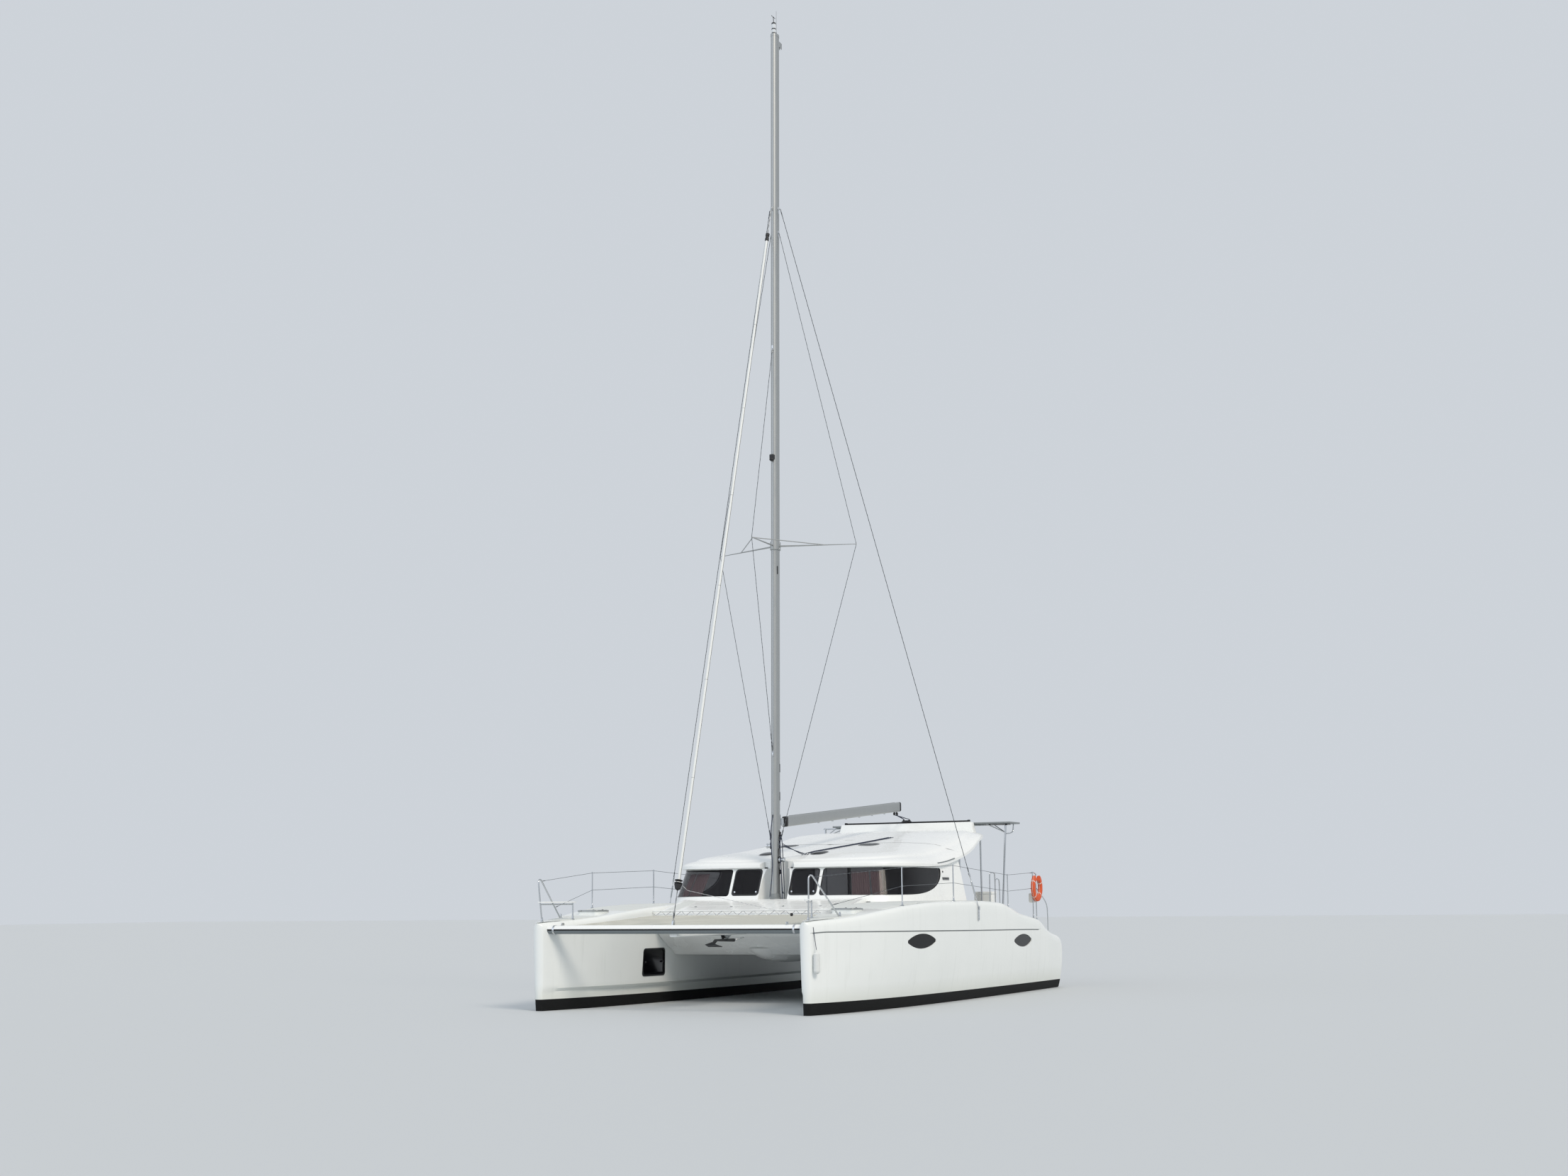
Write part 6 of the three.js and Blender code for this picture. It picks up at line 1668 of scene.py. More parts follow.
    def build(self, hulls: Sequence[Shape], bridge: Shape) -> None:
        """Make the coachroof, its windows, the bulkhead and the hardtop.

        Args:
            hulls: The two hulls.
            bridge: The bridge deck.
        """
        roof = self.roof(0, 0)
        walls = carved(self.walls(0, 3.4), (Cut.KEEP, self.roof(0, 0.01, 2.2, 1.2)))
        house = carved(walls, (Cut.JOIN, roof))
        room = carved(self.walls(self.wall, 3.4), (Cut.KEEP, self.roof(0, self.roof_thickness, 2.2, 1.2)))
        lining = carved(self.alcove(self.alcove_radius + self.lining, 2.11), (Cut.KEEP, house))
        ahead = box((BULKHEAD_X, -4, 0), (4, 4, 5), 0)
        below = [box((1.3, -2.2, 0.9), (3.4, 2.2, 2.06), 0), bridge, *hulls]
        openings = []
        for shape in (self.long_window(0), self.opening_port(0)):
            openings += [shape, to_side(shape, Side.STARBOARD)]
        shell = carved(house, (Cut.OFF, room), (Cut.JOIN, lining), (Cut.KEEP, ahead),
                       (Cut.OFF, self.alcove(self.alcove_radius, 2.11)), (Cut.OFF, self.mouth()),
                       *((Cut.OFF, tool) for tool in (*below, *openings)))
        finished("coachroof_moulding", shell, GELCOAT, replaces=["coachroof"], angle=28)
        self.windows()
        self.curtains()
        self.bulkhead(house, hulls)
        self.hardtop(roof)
        self.roof_fittings()

    def windows(self) -> None:
        """Panes with their gaskets, the opening ports with their frames and knobs."""
        for side in Side:
            label = side.label
            skin, gasket = self.skin(0.008, 0.02), self.skin(0.001, 0.024)
            long_pane = carved(skin, (Cut.KEEP, self.long_window(0.003)))
            finished(f"long_pane_{label}", to_side(long_pane, side), WINDOW,
                     replaces=[f"window_long_{label}"])
            seal_and_shadow_line = carved(gasket, (Cut.KEEP, self.long_window(0.0005)), (Cut.OFF, self.long_window(0.009)))
            port = carved(skin, (Cut.KEEP, self.opening_port(0.003)))
            finished(f"opening_pane_{label}", to_side(port, side), WINDOW,
                     replaces=[f"window_opening_{label}"])
            frame_ring = carved(self.skin(-0.006, 0.012), (Cut.KEEP, self.opening_port(0.0005)),
                                (Cut.OFF, self.opening_port(0.03)))
            finished(f"window_seals_{label}", to_side(seal_and_shadow_line, side), GASKET_AND_BEAM_SHADE)
            finished(f"opening_frame_{label}", to_side(frame_ring, side), BLACK_AND_FOIL_SHADE)
            knobs = []
            for y in (0.42, 0.93):
                z = 2.28
                x = self.front(z) - 0.008
                knobs.append(lathe([(0.022, 0), (0.022, 0.01), (0.016, 0.018), (0.0, 0.019)],
                                   (x - 0.003, y, z), (1, 0, 0.45), 18))
            finished(f"opening_knobs_{label}", to_side(joined(knobs), side), STAINLESS)

    def curtains(self) -> None:
        """Two gathered curtains inside each long window, round its front corner."""
        for number, (start, end) in enumerate(((102.0, 107.8), (108.4, 112.0))):
            rows, widths = [], []
            for z in (2.68, 2.5, 2.3, 2.12):
                ring, row = self.wall_ring(z, 0.055), []
                for k in range(41):
                    at = lerp(start, end, k / 40)
                    a, b = ring[int(at)], ring[int(at) + 1]
                    inwards = Vector((a.y - b.y, b.x - a.x, 0)).normalized()
                    row.append(a.lerp(b, at - int(at)) + inwards * 0.007 * (1 + math.sin(1.3 * k)))
                widths.append(sum((a - b).length for a, b in zip(row, row[1:])))
                rows.append(row + [p + inwards * 0.003 for p in reversed(row)])
            for side in Side:
                cloth = finished(f"curtain_{side.label}_{number}", to_side(loft(rows), side), CURTAIN)

    def bulkhead(self, house: Shape, hulls: Sequence[Shape]) -> None:
        """The aft bulkhead with its door frame, fixed light and sliding door.

        Args:
            house: The walls' shape.
            hulls: The two hulls.
        """
        slab = box((-2.06, -4, FLOOR_Z + 0.0003), (-2.0003, 4, 5), 0)
        doorway = box((-2.3, -0.9, 1.28), (-1.8, 0.9, 3.08), 0)
        sill = box((-2.12, -0.975, FLOOR_Z + 0.0003), (-2.05, 0.975, 1.2597), 0.004)
        wall = carved(slab, (Cut.KEEP, house), (Cut.OFF, doorway), (Cut.JOIN, sill),
                      *((Cut.OFF, hull) for hull in hulls))
        finished("aft_bulkhead_moulding", wall, GELCOAT, replaces=["aft_bulkhead"])
        frame_bars = [box((-2.055, y0, 1.28), (-2.0, y1, 3.08), 0.004)
                      for y0, y1 in ((-0.9, -0.86), (0.86, 0.9), (-0.03, 0.02))]
        frame_bars.append(box((-2.055, -0.9, 3.04), (-2.0, 0.9, 3.08), 0.004))
        finished("doorway_frame", joined(frame_bars), SPAR)
        finished("fixed_light_pane", box((-2.04, -0.88, 1.27), (-2.024, -0.02, 3.07), 0.003), WINDOW)
        x0, x1 = -2.1, -2.066
        bars = [box((x0, -0.04, 1.26), (x1, 0.02, 3.13), 0.005),
                box((x0, 0.86, 1.26), (x1, 0.92, 3.13), 0.005),
                box((x0, -0.04, 1.26), (x1, 0.92, 1.34), 0.005),
                box((x0, -0.04, 3.06), (x1, 0.92, 3.13), 0.005)]
        finished("door_frame", joined(bars), SPAR, "door")
        pane = box((x0 + 0.01, 0.01, 1.33), (x1 - 0.01, 0.87, 3.07), 0.002)
        finished("door_pane", pane, WINDOW, "door", replaces=["saloon_door"])
        handle = bent([(x0 + 0.004, 0.03, 2.05), (x0 - 0.035, 0.03, 2.07), (x0 - 0.04, 0.03, 2.16),
                       (x0 - 0.035, 0.03, 2.25), (x0 + 0.004, 0.03, 2.27)], 0.008)
        finished("door_handle", handle, STAINLESS, "door")

    def hardtop(self, roof: Shape) -> None:
        """The hardtop's shell with the traveller's plinth, on its four posts.

        Args:
            roof: The coachroof's shape.
        """
        under = self.roof(0.13, self.roof_thickness, 1.6)
        aft = box((-6.5, -4, 0), (-2.0603, 4, 5), 0)
        plinth = prism(filleted([(-1.8, 3.62), (1.8, 3.62), (1.71, 3.945), (-1.71, 3.945)], 0.03),
                       "x", -5.67, -5.43, 0.02)
        plinth = carved(plinth, (Cut.OFF, under))
        shell = carved(roof, (Cut.OFF, under), (Cut.KEEP, aft), (Cut.JOIN, plinth))
        finished("hardtop_moulding", shell, GELCOAT, replaces=["hardtop"], angle=28)
        posts = []
        for x, y in ((-2.16, 2.66), (-4.78, 2.2)):
            top = self.lip(x) + 0.05
            low = max(FLOOR_Z, self.post_foot(x, y))
            posts += [tube([(x, y, low + 0.002), (x, y, top)], 0.021, 16), foot((x, y, low), 0.021, 0.055)]
        finished("hardtop_posts", both_sides(joined(posts)), STAINLESS)
        lamps = [lathe([(0.05, 0), (0.05, 0.012), (0.035, 0.016), (0.0, 0.016)], (x, y, self.under_z(x, y)),
                       (0, 0, -1), 20) for x in (-2.9, -3.9, -4.8) for y in (-1.2, 1.2)]
        finished("hardtop_lamps", joined(lamps), STAINLESS)
        rails = [bent([(-2.6, y, self.under_z(-2.6, y)), (-2.66, y, self.under_z(-2.66, y) - 0.06),
                       (-3.6, y, self.under_z(-3.6, y) - 0.07), (-4.54, y, self.under_z(-4.54, y) - 0.06),
                       (-4.6, y, self.under_z(-4.6, y))], 0.012) for y in (-0.9, 0.9)]
        finished("hardtop_grab_rails", joined(rails), STAINLESS)

    def post_foot(self, x: float, y: float) -> float:
        """Height of the side deck that a post stands on."""
        return Hull(Side.PORT).on_deck(x, y, 0.0).z if y > HULL_Y - Hull(Side.PORT).value(2, x) else FLOOR_Z

    def under_z(self, x: float, y: float) -> float:
        """Height of the hardtop's underside."""
        return self.surface(x, y) - self.roof_thickness - 0.002

    def roof_fittings(self) -> None:
        """Flush hatches, seam, vents and grab strips."""
        hatches, frames = [], []
        for x, y, a, b in ((0.9, 0.62, 0.2, 0.16), (0.9, -0.62, 0.2, 0.16), (-0.9, 1.0, 0.24, 0.2),
                           (-0.9, -1.0, 0.24, 0.2)):
            corners = [(math.copysign(abs(math.cos(t)) ** 0.7, math.cos(t)),
                        math.copysign(abs(math.sin(t)) ** 0.7, math.sin(t)))
                       for t in (math.tau * k / 40 for k in range(40))]
            for store, steps in ((frames,
                                  ((1.1, -0.03), (1.1, 0.002), (1.06, 0.008), (0.5, 0.01), (0.1, 0.01))),
                                 (hatches,
                                  ((1.0, -0.02), (1.0, 0.012), (0.85, 0.02), (0.5, 0.026), (0.1, 0.028)))):
                store.append(loft([
                    [Vector((x + a * size * u, y + b * size * v,
                             self.surface(x + a * size * u, y + b * size * v) + up)) for u, v in corners]
                    for size, up in steps
                ]))
        finished("roof_hatch_frames", joined(frames), SPAR)
        finished("roof_hatch_panes", joined(hatches), ACRYLIC)
        seam = []
        for k in range(25):
            share = k / 24
            y = lerp(0.0, 2.66, share)
            x = lerp(-1.0, -2.05, share ** 1.3)
            seam.append((x, y, self.surface(x, y) - 0.0015))
        finished("roof_seam", both_sides(tube(seam, 0.004, 8)), GASKET_AND_BEAM_SHADE)
        strip = [(lerp(-0.53, -1.55, k / 10), 2.776, self.lip(lerp(-0.53, -1.55, k / 10)) + 0.075)
                 for k in range(11)]
        finished("brow_grab_strips", both_sides(tube(strip, 0.013, 10)), CASTING_AND_GROOVE_SHADOW)
        slats = [box((-1.23, 2.742, z), (-0.85, 2.768, z + 0.012), 0.003, 1) for z in (2.51, 2.532, 2.554)]
        lock = lathe([(0.022, 0), (0.022, 0.008), (0.012, 0.014), (0.0, 0.014)], (-0.94, 2.722, 2.687),
                     (0, 1, 0), 18)
        finished("side_vents", both_sides(joined([*slats, lock])), BLACK_AND_FOIL_SHADE)


# Shapes grown by geometry nodes


class Growth:
    """A geometry-node group with named inputs, grown from a seed shape and then baked."""

    def __init__(self, name: str, **values: float | int) -> None:
        """Open the group.

        Args:
            name: The group's name and its piece's.
            **values: The group's own inputs.
        """
        self.name = name
        self.values = values
        self.tree = bpy.data.node_groups.new(name, "GeometryNodeTree")
        self.tree.interface.new_socket("Geometry", in_out="OUTPUT", socket_type="NodeSocketGeometry")
        self.tree.interface.new_socket("Geometry", in_out="INPUT", socket_type="NodeSocketGeometry")
        for label, value in values.items():
            kind = "NodeSocketInt" if isinstance(value, int) else "NodeSocketFloat"
            self.tree.interface.new_socket(label, in_out="INPUT", socket_type=kind)
        self.tree.interface.new_socket("surface", in_out="INPUT", socket_type="NodeSocketMaterial")
        self.start = self.tree.nodes.new("NodeGroupInput")

    def input(self, label: str) -> Socket:
        """The socket that carries one of the group's inputs."""
        return self.start.outputs[label]

    def add(self, kind: str, links: dict | None = None, values: dict | None = None,
            **settings: object) -> Socket:
        """Add a node and give its first output."""
        return add_node(self.tree, kind, links, values, **settings).outputs[0]

    def math(self, operation: str, a: Socket | float, b: Socket | float = 0.0) -> Socket:
        """Work out one sum.

        Args:
            operation: What is done, as Blender names it.
            a: First socket or number.
            b: Second socket or number.

        Returns:
            The result's socket.
        """
        links = {i: v for i, v in enumerate((a, b)) if isinstance(v, Socket)}
        values = {i: v for i, v in enumerate((a, b)) if not isinstance(v, Socket)}
        return self.add("ShaderNodeMath", links, values, operation=operation)

    def run(self, spacing: str) -> Socket:
        """The seed's edges as curves with even points.

        Args:
            spacing: The input that holds the distance from point to point.

        Returns:
            The curves' socket.
        """
        curve = self.add("GeometryNodeMeshToCurve", {0: self.input("Geometry")})
        return self.add("GeometryNodeResampleCurve", {"Curve": curve, "Length": self.input(spacing)},
                        mode="LENGTH")

    def rods(self, edges: Socket, radius: Socket, sides: int) -> Socket:
        """Round rods along the edges of a mesh or along a curve.

        Args:
            edges: The mesh or curve.
            radius: Of the rods.
            sides: Points round each.

        Returns:
            The rods' socket.
        """
        section = self.add("GeometryNodeCurvePrimitiveCircle", {"Radius": radius}, {"Resolution": sides})
        return self.add("GeometryNodeCurveToMesh", {"Curve": edges, "Profile Curve": section},
                        {"Fill Caps": True})

    def bake(self, last: Socket, seed: Shape, finish: Finish) -> Object:
        """Close the group with real, dressed geometry, run it once and keep the result.

        Args:
            last: The geometry that the group ends with.
            seed: The shape that it starts from.
            finish: The surface that it sets.

        Returns:
            An object with the finished mesh.
        """
        real = self.add("GeometryNodeRealizeInstances", {0: last})
        dressed_up = self.add("GeometryNodeSetMaterial",
                              {"Geometry": real, "Material": self.input("surface")})
        add_node(self.tree, "NodeGroupOutput", {0: dressed_up})
        mesh = bpy.data.meshes.new(self.name)
        mesh.from_pydata([tuple(v) for v in seed[0]], [f for f in seed[1] if len(f) == 2],
                         [f for f in seed[1] if len(f) > 2])
        thing = bpy.data.objects.new(self.name, mesh)
        bpy.context.scene.collection.objects.link(thing)
        modifier = thing.modifiers.new(self.name, "NODES")
        modifier.node_group = self.tree
        for item in self.tree.interface.items_tree:
            if item.name in self.values:
                modifier[item.identifier] = self.values[item.name]
            elif item.name == "surface":
                modifier[item.identifier] = finish.material()
        return baked(thing)


def line_of(points: Sequence[Point]) -> Shape:
    """Bare edges through the points."""
    return [Vector(p) for p in points], [(k, k + 1) for k in range(len(points) - 1)]


def studs(name: str, seed: Shape, spacing: float, radius: float) -> None:
    """Make round heads of rivets or screws along edges.

    Args:
        name: The piece's name.
        seed: The bare edges.
        spacing: From head to head.
        radius: Radius of a head.
    """
    group = Growth(name, spacing=spacing, radius=radius)
    head = group.add("GeometryNodeMeshUVSphere", {"Radius": group.input("radius")},
                     {"Segments": 8, "Rings": 4})
    heads = group.add("GeometryNodeInstanceOnPoints", {"Points": group.run("spacing"), "Instance": head})
    finished(name, group.bake(heads, seed, STAINLESS), STAINLESS)


# Rig


@dataclass
class Rig:
    """Mast, boom, spreaders and standing rigging, with their fittings."""

    house: Deckhouse
    crane: float = 0.3
    collar: tuple[float, float] = (0.09, 0.022)

    def mast_x(self, z: float) -> float:
        """The mast's middle at a height."""
        return MAST_FOOT.x - MAST_RAKE * (z - MAST_FOOT.z)

    def at_mast(self, z: float, chord: float = 0.0, width: float = 0.0) -> Vector:
        """A point on the mast's oval at a height, by shares of its half chord and half width."""
        return Vector((self.mast_x(z) + HALF_CHORD * chord, HALF_WIDTH * width, z))

    def section(self, z: float, grow: float = 0.0) -> list[Vector]:
        """The mast's oval section, grown outwards."""
        return [Vector((self.mast_x(z) + (HALF_CHORD + grow) * c, (HALF_WIDTH + grow) * s, z))
                for c, s in (on_circle(k, MAST_POINTS) for k in range(MAST_POINTS))]

    def build(self) -> None:
        """Make the whole rig."""
        self.mast()
        self.mast_fittings()
        self.masthead()
        self.boom()
        self.spreaders()
        self.stays()
        self.shrouds()
        self.forestay()
        self.running()

    def mast(self) -> None:
        """The oval tube, pushed up along its rake by nodes, and the luff track with its rivets."""
        low, high = MAST_FOOT.z + 0.0006, MAST_TOP_Z
        group = Growth("mast", sides=56, half_chord=HALF_CHORD, half_width=HALF_WIDTH, height=high - low,
                       rake=MAST_RAKE)
        circle = group.add("GeometryNodeMeshCircle", {"Vertices": group.input("sides")}, {"Radius": 1.0},
                           fill_type="NGON")
        size = group.add("ShaderNodeCombineXYZ", {0: group.input("half_chord"), 1: group.input("half_width")},
                         {2: 1.0})
        oval = group.add("GeometryNodeTransform", {"Geometry": circle, "Scale": size})
        drift = group.math("MULTIPLY", group.math("MULTIPLY", group.input("height"), group.input("rake")),
                           -1.0)
        push = group.add("ShaderNodeCombineXYZ", {0: drift, 2: group.input("height")}, {1: 0.0})
        risen = group.add("GeometryNodeExtrudeMesh", {"Mesh": oval, "Offset": push}, {"Individual": False})
        floor = group.add("GeometryNodeFlipFaces", {"Mesh": oval})
        both = group.add("GeometryNodeJoinGeometry")
        for part in (risen, floor):
            group.tree.links.new(part, both.node.inputs[0])
        whole = group.add("GeometryNodeMergeByDistance", {"Geometry": both}, {"Distance": 0.0001})
        foot_at = group.add("ShaderNodeCombineXYZ", None, {0: self.mast_x(low), 2: low})
        placed = group.add("GeometryNodeTransform", {"Geometry": whole, "Translation": foot_at})
        tube_mesh = group.bake(placed, ([Vector()], []), SPAR)
        finished("mast_tube", tube_mesh, SPAR, replaces=["mast"], angle=40)
        ends = (self.at_mast(4.55, -1.02), self.at_mast(21.2, -1.02))
        track = loft([[p + Vector((dx, dy, 0)) for dx, dy in
                       ((0.006, -0.014), (0.006, 0.014), (-0.006, 0.014), (-0.006, 0.005), (-0.012, 0.005),
                        (-0.012, -0.005), (-0.006, -0.005), (-0.006, -0.014))] for p in ends])
        finished("luff_track", track, CASTING_AND_GROOVE_SHADOW)
        starts = [[end + Vector((-0.0065, y, 0)) for end in ends] for y in (-0.0095, 0.0095)]
        studs("track_rivets", ([v for pair in starts for v in pair], [(0, 1), (2, 3)]), 0.12, 0.0035)

    def mast_fittings(self) -> None:
        """Foot casting, gooseneck lugs and pin, winches, exit slots, cleats, lights and tangs."""
        metal = [
            box((1.45, -0.042, GOOSENECK_Z + 0.067), (self.mast_x(3.8), 0.042, GOOSENECK_Z + 0.085), 0.004),
            box((1.45, -0.042, GOOSENECK_Z - 0.085), (self.mast_x(3.8), 0.042, GOOSENECK_Z - 0.067), 0.004),
            tube([(GOOSENECK_X, 0, 3.684), (GOOSENECK_X, 0, 3.838)], 0.0139, 20),
            prism(rounded(-0.055, 0.055, 3.6, 3.92, 0.02), "x", self.mast_x(GOOSENECK_Z) - 0.139,
                  self.mast_x(GOOSENECK_Z) - 0.12),
            tube([(self.mast_x(HOUNDS_Z), -0.12, HOUNDS_Z), (self.mast_x(HOUNDS_Z), 0.12, HOUNDS_Z)], 0.016,
                 14),
            prism([(1.539, 17.4), (1.789, 17.4), (1.789, 17.44), (1.7, 17.48), (1.539, 17.48)], "y",
                  -0.008, 0.008, 0.002),
            tube([(1.74, -0.02, 17.435), (1.74, 0.02, 17.435)], 0.012, 12),
        ]
        for z in (HOUNDS_Z, 16.9, 3.3):
            for side in (-1, 1):
                base = self.at_mast(z, 0, side * 0.99)
                metal.append(box(base + Vector((-0.03, -0.004, -0.11)), base + Vector((0.03, 0.004, 0.05)),
                                 0.003))
                fork = base + Vector((0, side * 0.012, -0.02))
                metal.append(tube([fork + Vector((-0.014, 0, 0)), fork + Vector((0.014, 0, 0))], 0.007, 10))
        finished("mast_ironwork", joined(metal), STAINLESS)
        step = loft([self.section(2.1306, 0.035), self.section(2.15, 0.034), self.section(2.165, 0.012),
                     self.section(2.24, 0.006), self.section(2.245, -0.002)])
        finished("mast_step_casting", step, CASTING_AND_GROOVE_SHADOW)
        winches, pads = [], []
        for z, side in ((2.95, 1), (3.25, -1)):
            base = self.at_mast(z, -0.05, side)
            pads.append(box(base + Vector((-0.06, -0.03, -0.07)), base + Vector((0.06, 0.012, 0.07)), 0.01))
            winches.append(lathe([(0.06, 0), (0.06, 0.02), (0.045, 0.03), (0.04, 0.06), (0.048, 0.085),
                                  (0.05, 0.09), (0.05, 0.115), (0.03, 0.122), (0.0, 0.122)],
                                 base + Vector((0, side * 0.01, 0)), (0, side, 0), 24))
        finished("mast_winches", joined(winches), STAINLESS)
        slots = []
        for z, chord, side in ((4.3, -0.3, 1), (4.9, -0.3, 1), (4.3, -0.3, -1), (5.4, -0.3, -1),
                               (9.2, 0.4, 1)):
            base = self.at_mast(z, chord, side * math.sqrt(1 - chord * chord))
            slots.append(box(base + Vector((-0.018, -0.004, -0.09)), base + Vector((0.018, 0.004, 0.09)),
                             0.004))
        for z, chord, side in ((2.7, -0.4, 1), (2.7, -0.4, -1), (3.5, -0.4, 1), (3.45, 0.3, -1)):
            base = self.at_mast(z, chord, side * math.sqrt(1 - chord * chord))
            slots.append(turned(cleat((base.x, base.y + side * 0.004, base.z), 0.15), 90, "Y", base))
        finished("mast_cleats_and_slots", joined([*pads, *slots]), BLACK_AND_FOIL_SHADE)
        lamp = self.at_mast(11.75, 1.0)
        deck_light = [box(lamp + Vector((-0.02, -0.05, -0.09)), lamp + Vector((0.075, 0.05, 0.02)), 0.016, 3),
                      lathe([(0.045, 0), (0.05, 0.03), (0.03, 0.05), (0.0, 0.05)],
                            lamp + Vector((0.05, 0, -0.08)), (0.35, 0, -1), 20)]
        finished("deck_light", joined(deck_light), BLACK_AND_FOIL_SHADE)

    def masthead(self) -> None:
        """Sloped cap with sheaves, crane, lamp, wind instruments and aerial."""
        x, z = self.mast_x(MAST_TOP_Z), MAST_TOP_Z
        cap = loft([self.section(z - 0.06, 0.004), self.section(z - 0.002, 0.004),
                    self.section(z + 0.004, -0.01)])
        cheek = [(x - self.crane, z - 0.24), (x + 0.03, z - 0.19), (x + 0.03, z - 0.08),
                 (x - self.crane, z - 0.1)]
        crane = [prism(cheek, "y", y - 0.005, y + 0.005, 0.002) for y in (-0.023, 0.023)]
        crane.append(tube([(x - 0.27, -0.027, z - 0.17), (x - 0.27, 0.027, z - 0.17)], 0.012, 12))
        finished("masthead_cap", joined([cap, *crane]), SPAR)
        sheaves = [lathe([(0.05, -0.014), (0.05, -0.011), (0.038, -0.004), (0.038, 0.004), (0.05, 0.011),
                          (0.05, 0.014)], (x + dx, 0, z - 0.17), (0, 1, 0), 28) for dx in (-0.235, -0.15)]
        finished("masthead_sheaves", joined(sheaves), BLACK_AND_FOIL_SHADE)
        lamp_x = x + 0.06
        bands = [lathe([(0.03, -0.02), (0.05, 0.0), (0.05, 0.03)], (lamp_x, 0, z), (0, 0, 1), 24),
                 lathe([(0.05, 0.11), (0.05, 0.13)], (lamp_x, 0, z), (0, 0, 1), 24),
                 lathe([(0.05, 0.24), (0.05, 0.265), (0.03, 0.28), (0.0, 0.28)], (lamp_x, 0, z), (0, 0, 1),
                       24)]
        finished("masthead_lamp_body", joined(bands), BLACK_AND_FOIL_SHADE)
        lenses = [lathe([(0.044, 0.028), (0.046, 0.07), (0.044, 0.112)], (lamp_x, 0, z), (0, 0, 1), 24),
                  lathe([(0.044, 0.128), (0.046, 0.185), (0.044, 0.242)], (lamp_x, 0, z), (0, 0, 1), 24)]
        finished("masthead_lamp_lenses", joined(lenses), LENS)
        arm = z + 0.405
        vane = [
            tube([(lamp_x, 0, z + 0.26), (lamp_x + 0.0145, 0, arm)], 0.0075, 10),
            tube([(x - 0.015, 0, arm), (x + 0.15, 0, arm)], 0.005, 10),
            ball((lamp_x + 0.0145, 0, arm), 0.014, 12),
            prism([(x - 0.02, arm - 0.006), (x + 0.03, arm - 0.002), (x + 0.012, arm + 0.012)], "y", -0.004,
                  0.004),
            lathe([(0.0, 0.03), (0.006, 0.02), (0.008, 0.0)], (x + 0.15, 0, arm), (1, 0, 0), 12),
            tube([(x - 0.08, 0, z - 0.02), (x - 0.08, 0, z + 0.1)], 0.006, 10),
            tube([(x - 0.08, 0, z + 0.09), (x - 0.08, 0, z + 0.618)], 0.0025, 8),
        ]
        finished("wind_vane_and_aerial", joined(vane), BLACK_AND_FOIL_SHADE)

    def boom(self) -> None:
        """Box boom with rolled edges, end castings, reefing eyes, a top groove and the gooseneck nose."""
        wide, deep, corner = 0.065, 0.1125, 0.04

        def ring(x: float, grow: float = 0.0) -> list[Vector]:
            """The boom's section at x, grown outwards."""
            a, b = wide + grow, deep + grow
            return [Vector((x, u, boom_z(x) + v)) for u, v in rounded(-a, a, -b, b, corner + grow)]

        tube_part = loft([ring(1.29), *(ring(x) for x in (0.0, -1.6, -3.2)), ring(-4.99)])
        bore = tube([(GOOSENECK_X, 0, 3.5), (GOOSENECK_X, 0, 4.0)], 0.0146, 24)
        finished("boom_tube", tube_part, SPAR, "boom", replaces=["boom"])
        ends = [loft([ring(1.35, -0.012), ring(1.34, -0.002), ring(1.28, 0.0)]),
                loft([ring(-4.98), ring(-5.065), ring(BOOM_END_X, -0.01)])]
        finished("boom_end_castings", joined(ends), BLACK_AND_FOIL_SHADE, "boom")
        nose = tube([(GOOSENECK_X, 0, 3.694), (GOOSENECK_X, 0, 3.826)], 0.046, 28)
        link = box((1.335, -0.026, 3.712), (1.468, 0.026, 3.808), 0.01)
        finished("boom_nose", carved(nose, (Cut.JOIN, link), (Cut.OFF, bore)), STAINLESS, "boom")
        eyes = [box((x - 0.04, -0.012, boom_z(x) - 0.135), (x + 0.04, 0.012, boom_z(x) - 0.108), 0.005)
                for x in (-0.4 - 0.75 * k for k in range(6))]
        finished("boom_eyes", joined(eyes), STAINLESS, "boom")
        top = [Vector((x, 0, boom_z(x) + deep)) for x in (1.1, -4.8)]
        corners = ((-0.016, -0.004), (0.016, -0.004), (0.012, 0.008), (-0.012, 0.008))
        groove = loft([[p + Vector((0, dy, dz)) for dy, dz in corners] for p in top])
        finished("boom_groove", groove, CASTING_AND_GROOVE_SHADOW, "boom")

    def spreaders(self) -> None:
        """Aerofoil arms, the forward strut and its braces on a bolted collar."""
        half, wall = self.collar
        sleeve = carved(
            loft([self.section(SPREADER_Z - half, wall - 0.004),
                  self.section(SPREADER_Z - half + 0.006, wall),
                  self.section(SPREADER_Z + half - 0.006, wall),
                  self.section(SPREADER_Z + half, wall - 0.004)]),
            (Cut.OFF, loft([self.section(SPREADER_Z - 0.4, 0.0006), self.section(SPREADER_Z + 0.4, 0.0006)])))
        root = self.mast_x(SPREADER_Z)
        arms = []
        for side in (-1, 1):
            rings = []
            for share in (0.056, 0.15, 0.3, 0.5, 0.75, 0.96, 1.0):
                size = lerp(0.030, 0.011, share)
                middle = Vector((lerp(root, SPREADER_TIP.x, share), side * lerp(0, SPREADER_TIP.y, share),
                                 SPREADER_Z))
                rings.append([middle + Vector((c, 0, 0.62 * s))
                              for c, s in (on_circle(k, 20, size) for k in range(20))])
            arms.append(loft(rings))
            on_arm = (lerp(root, SPREADER_TIP.x, 0.62), side * 0.62 * SPREADER_TIP.y, SPREADER_Z)
            arms.append(tube([(2.77, 0, STRUT_TIP[2]), on_arm], 0.0105, 12))
            tip = Vector((SPREADER_TIP.x, side * SPREADER_TIP.y, SPREADER_Z))
            arms.append(ball(tip, 0.0135, 12))
        arms.append(tube([(root + 0.14, 0, SPREADER_Z), STRUT_TIP], 0.0175, 16, 0.011))
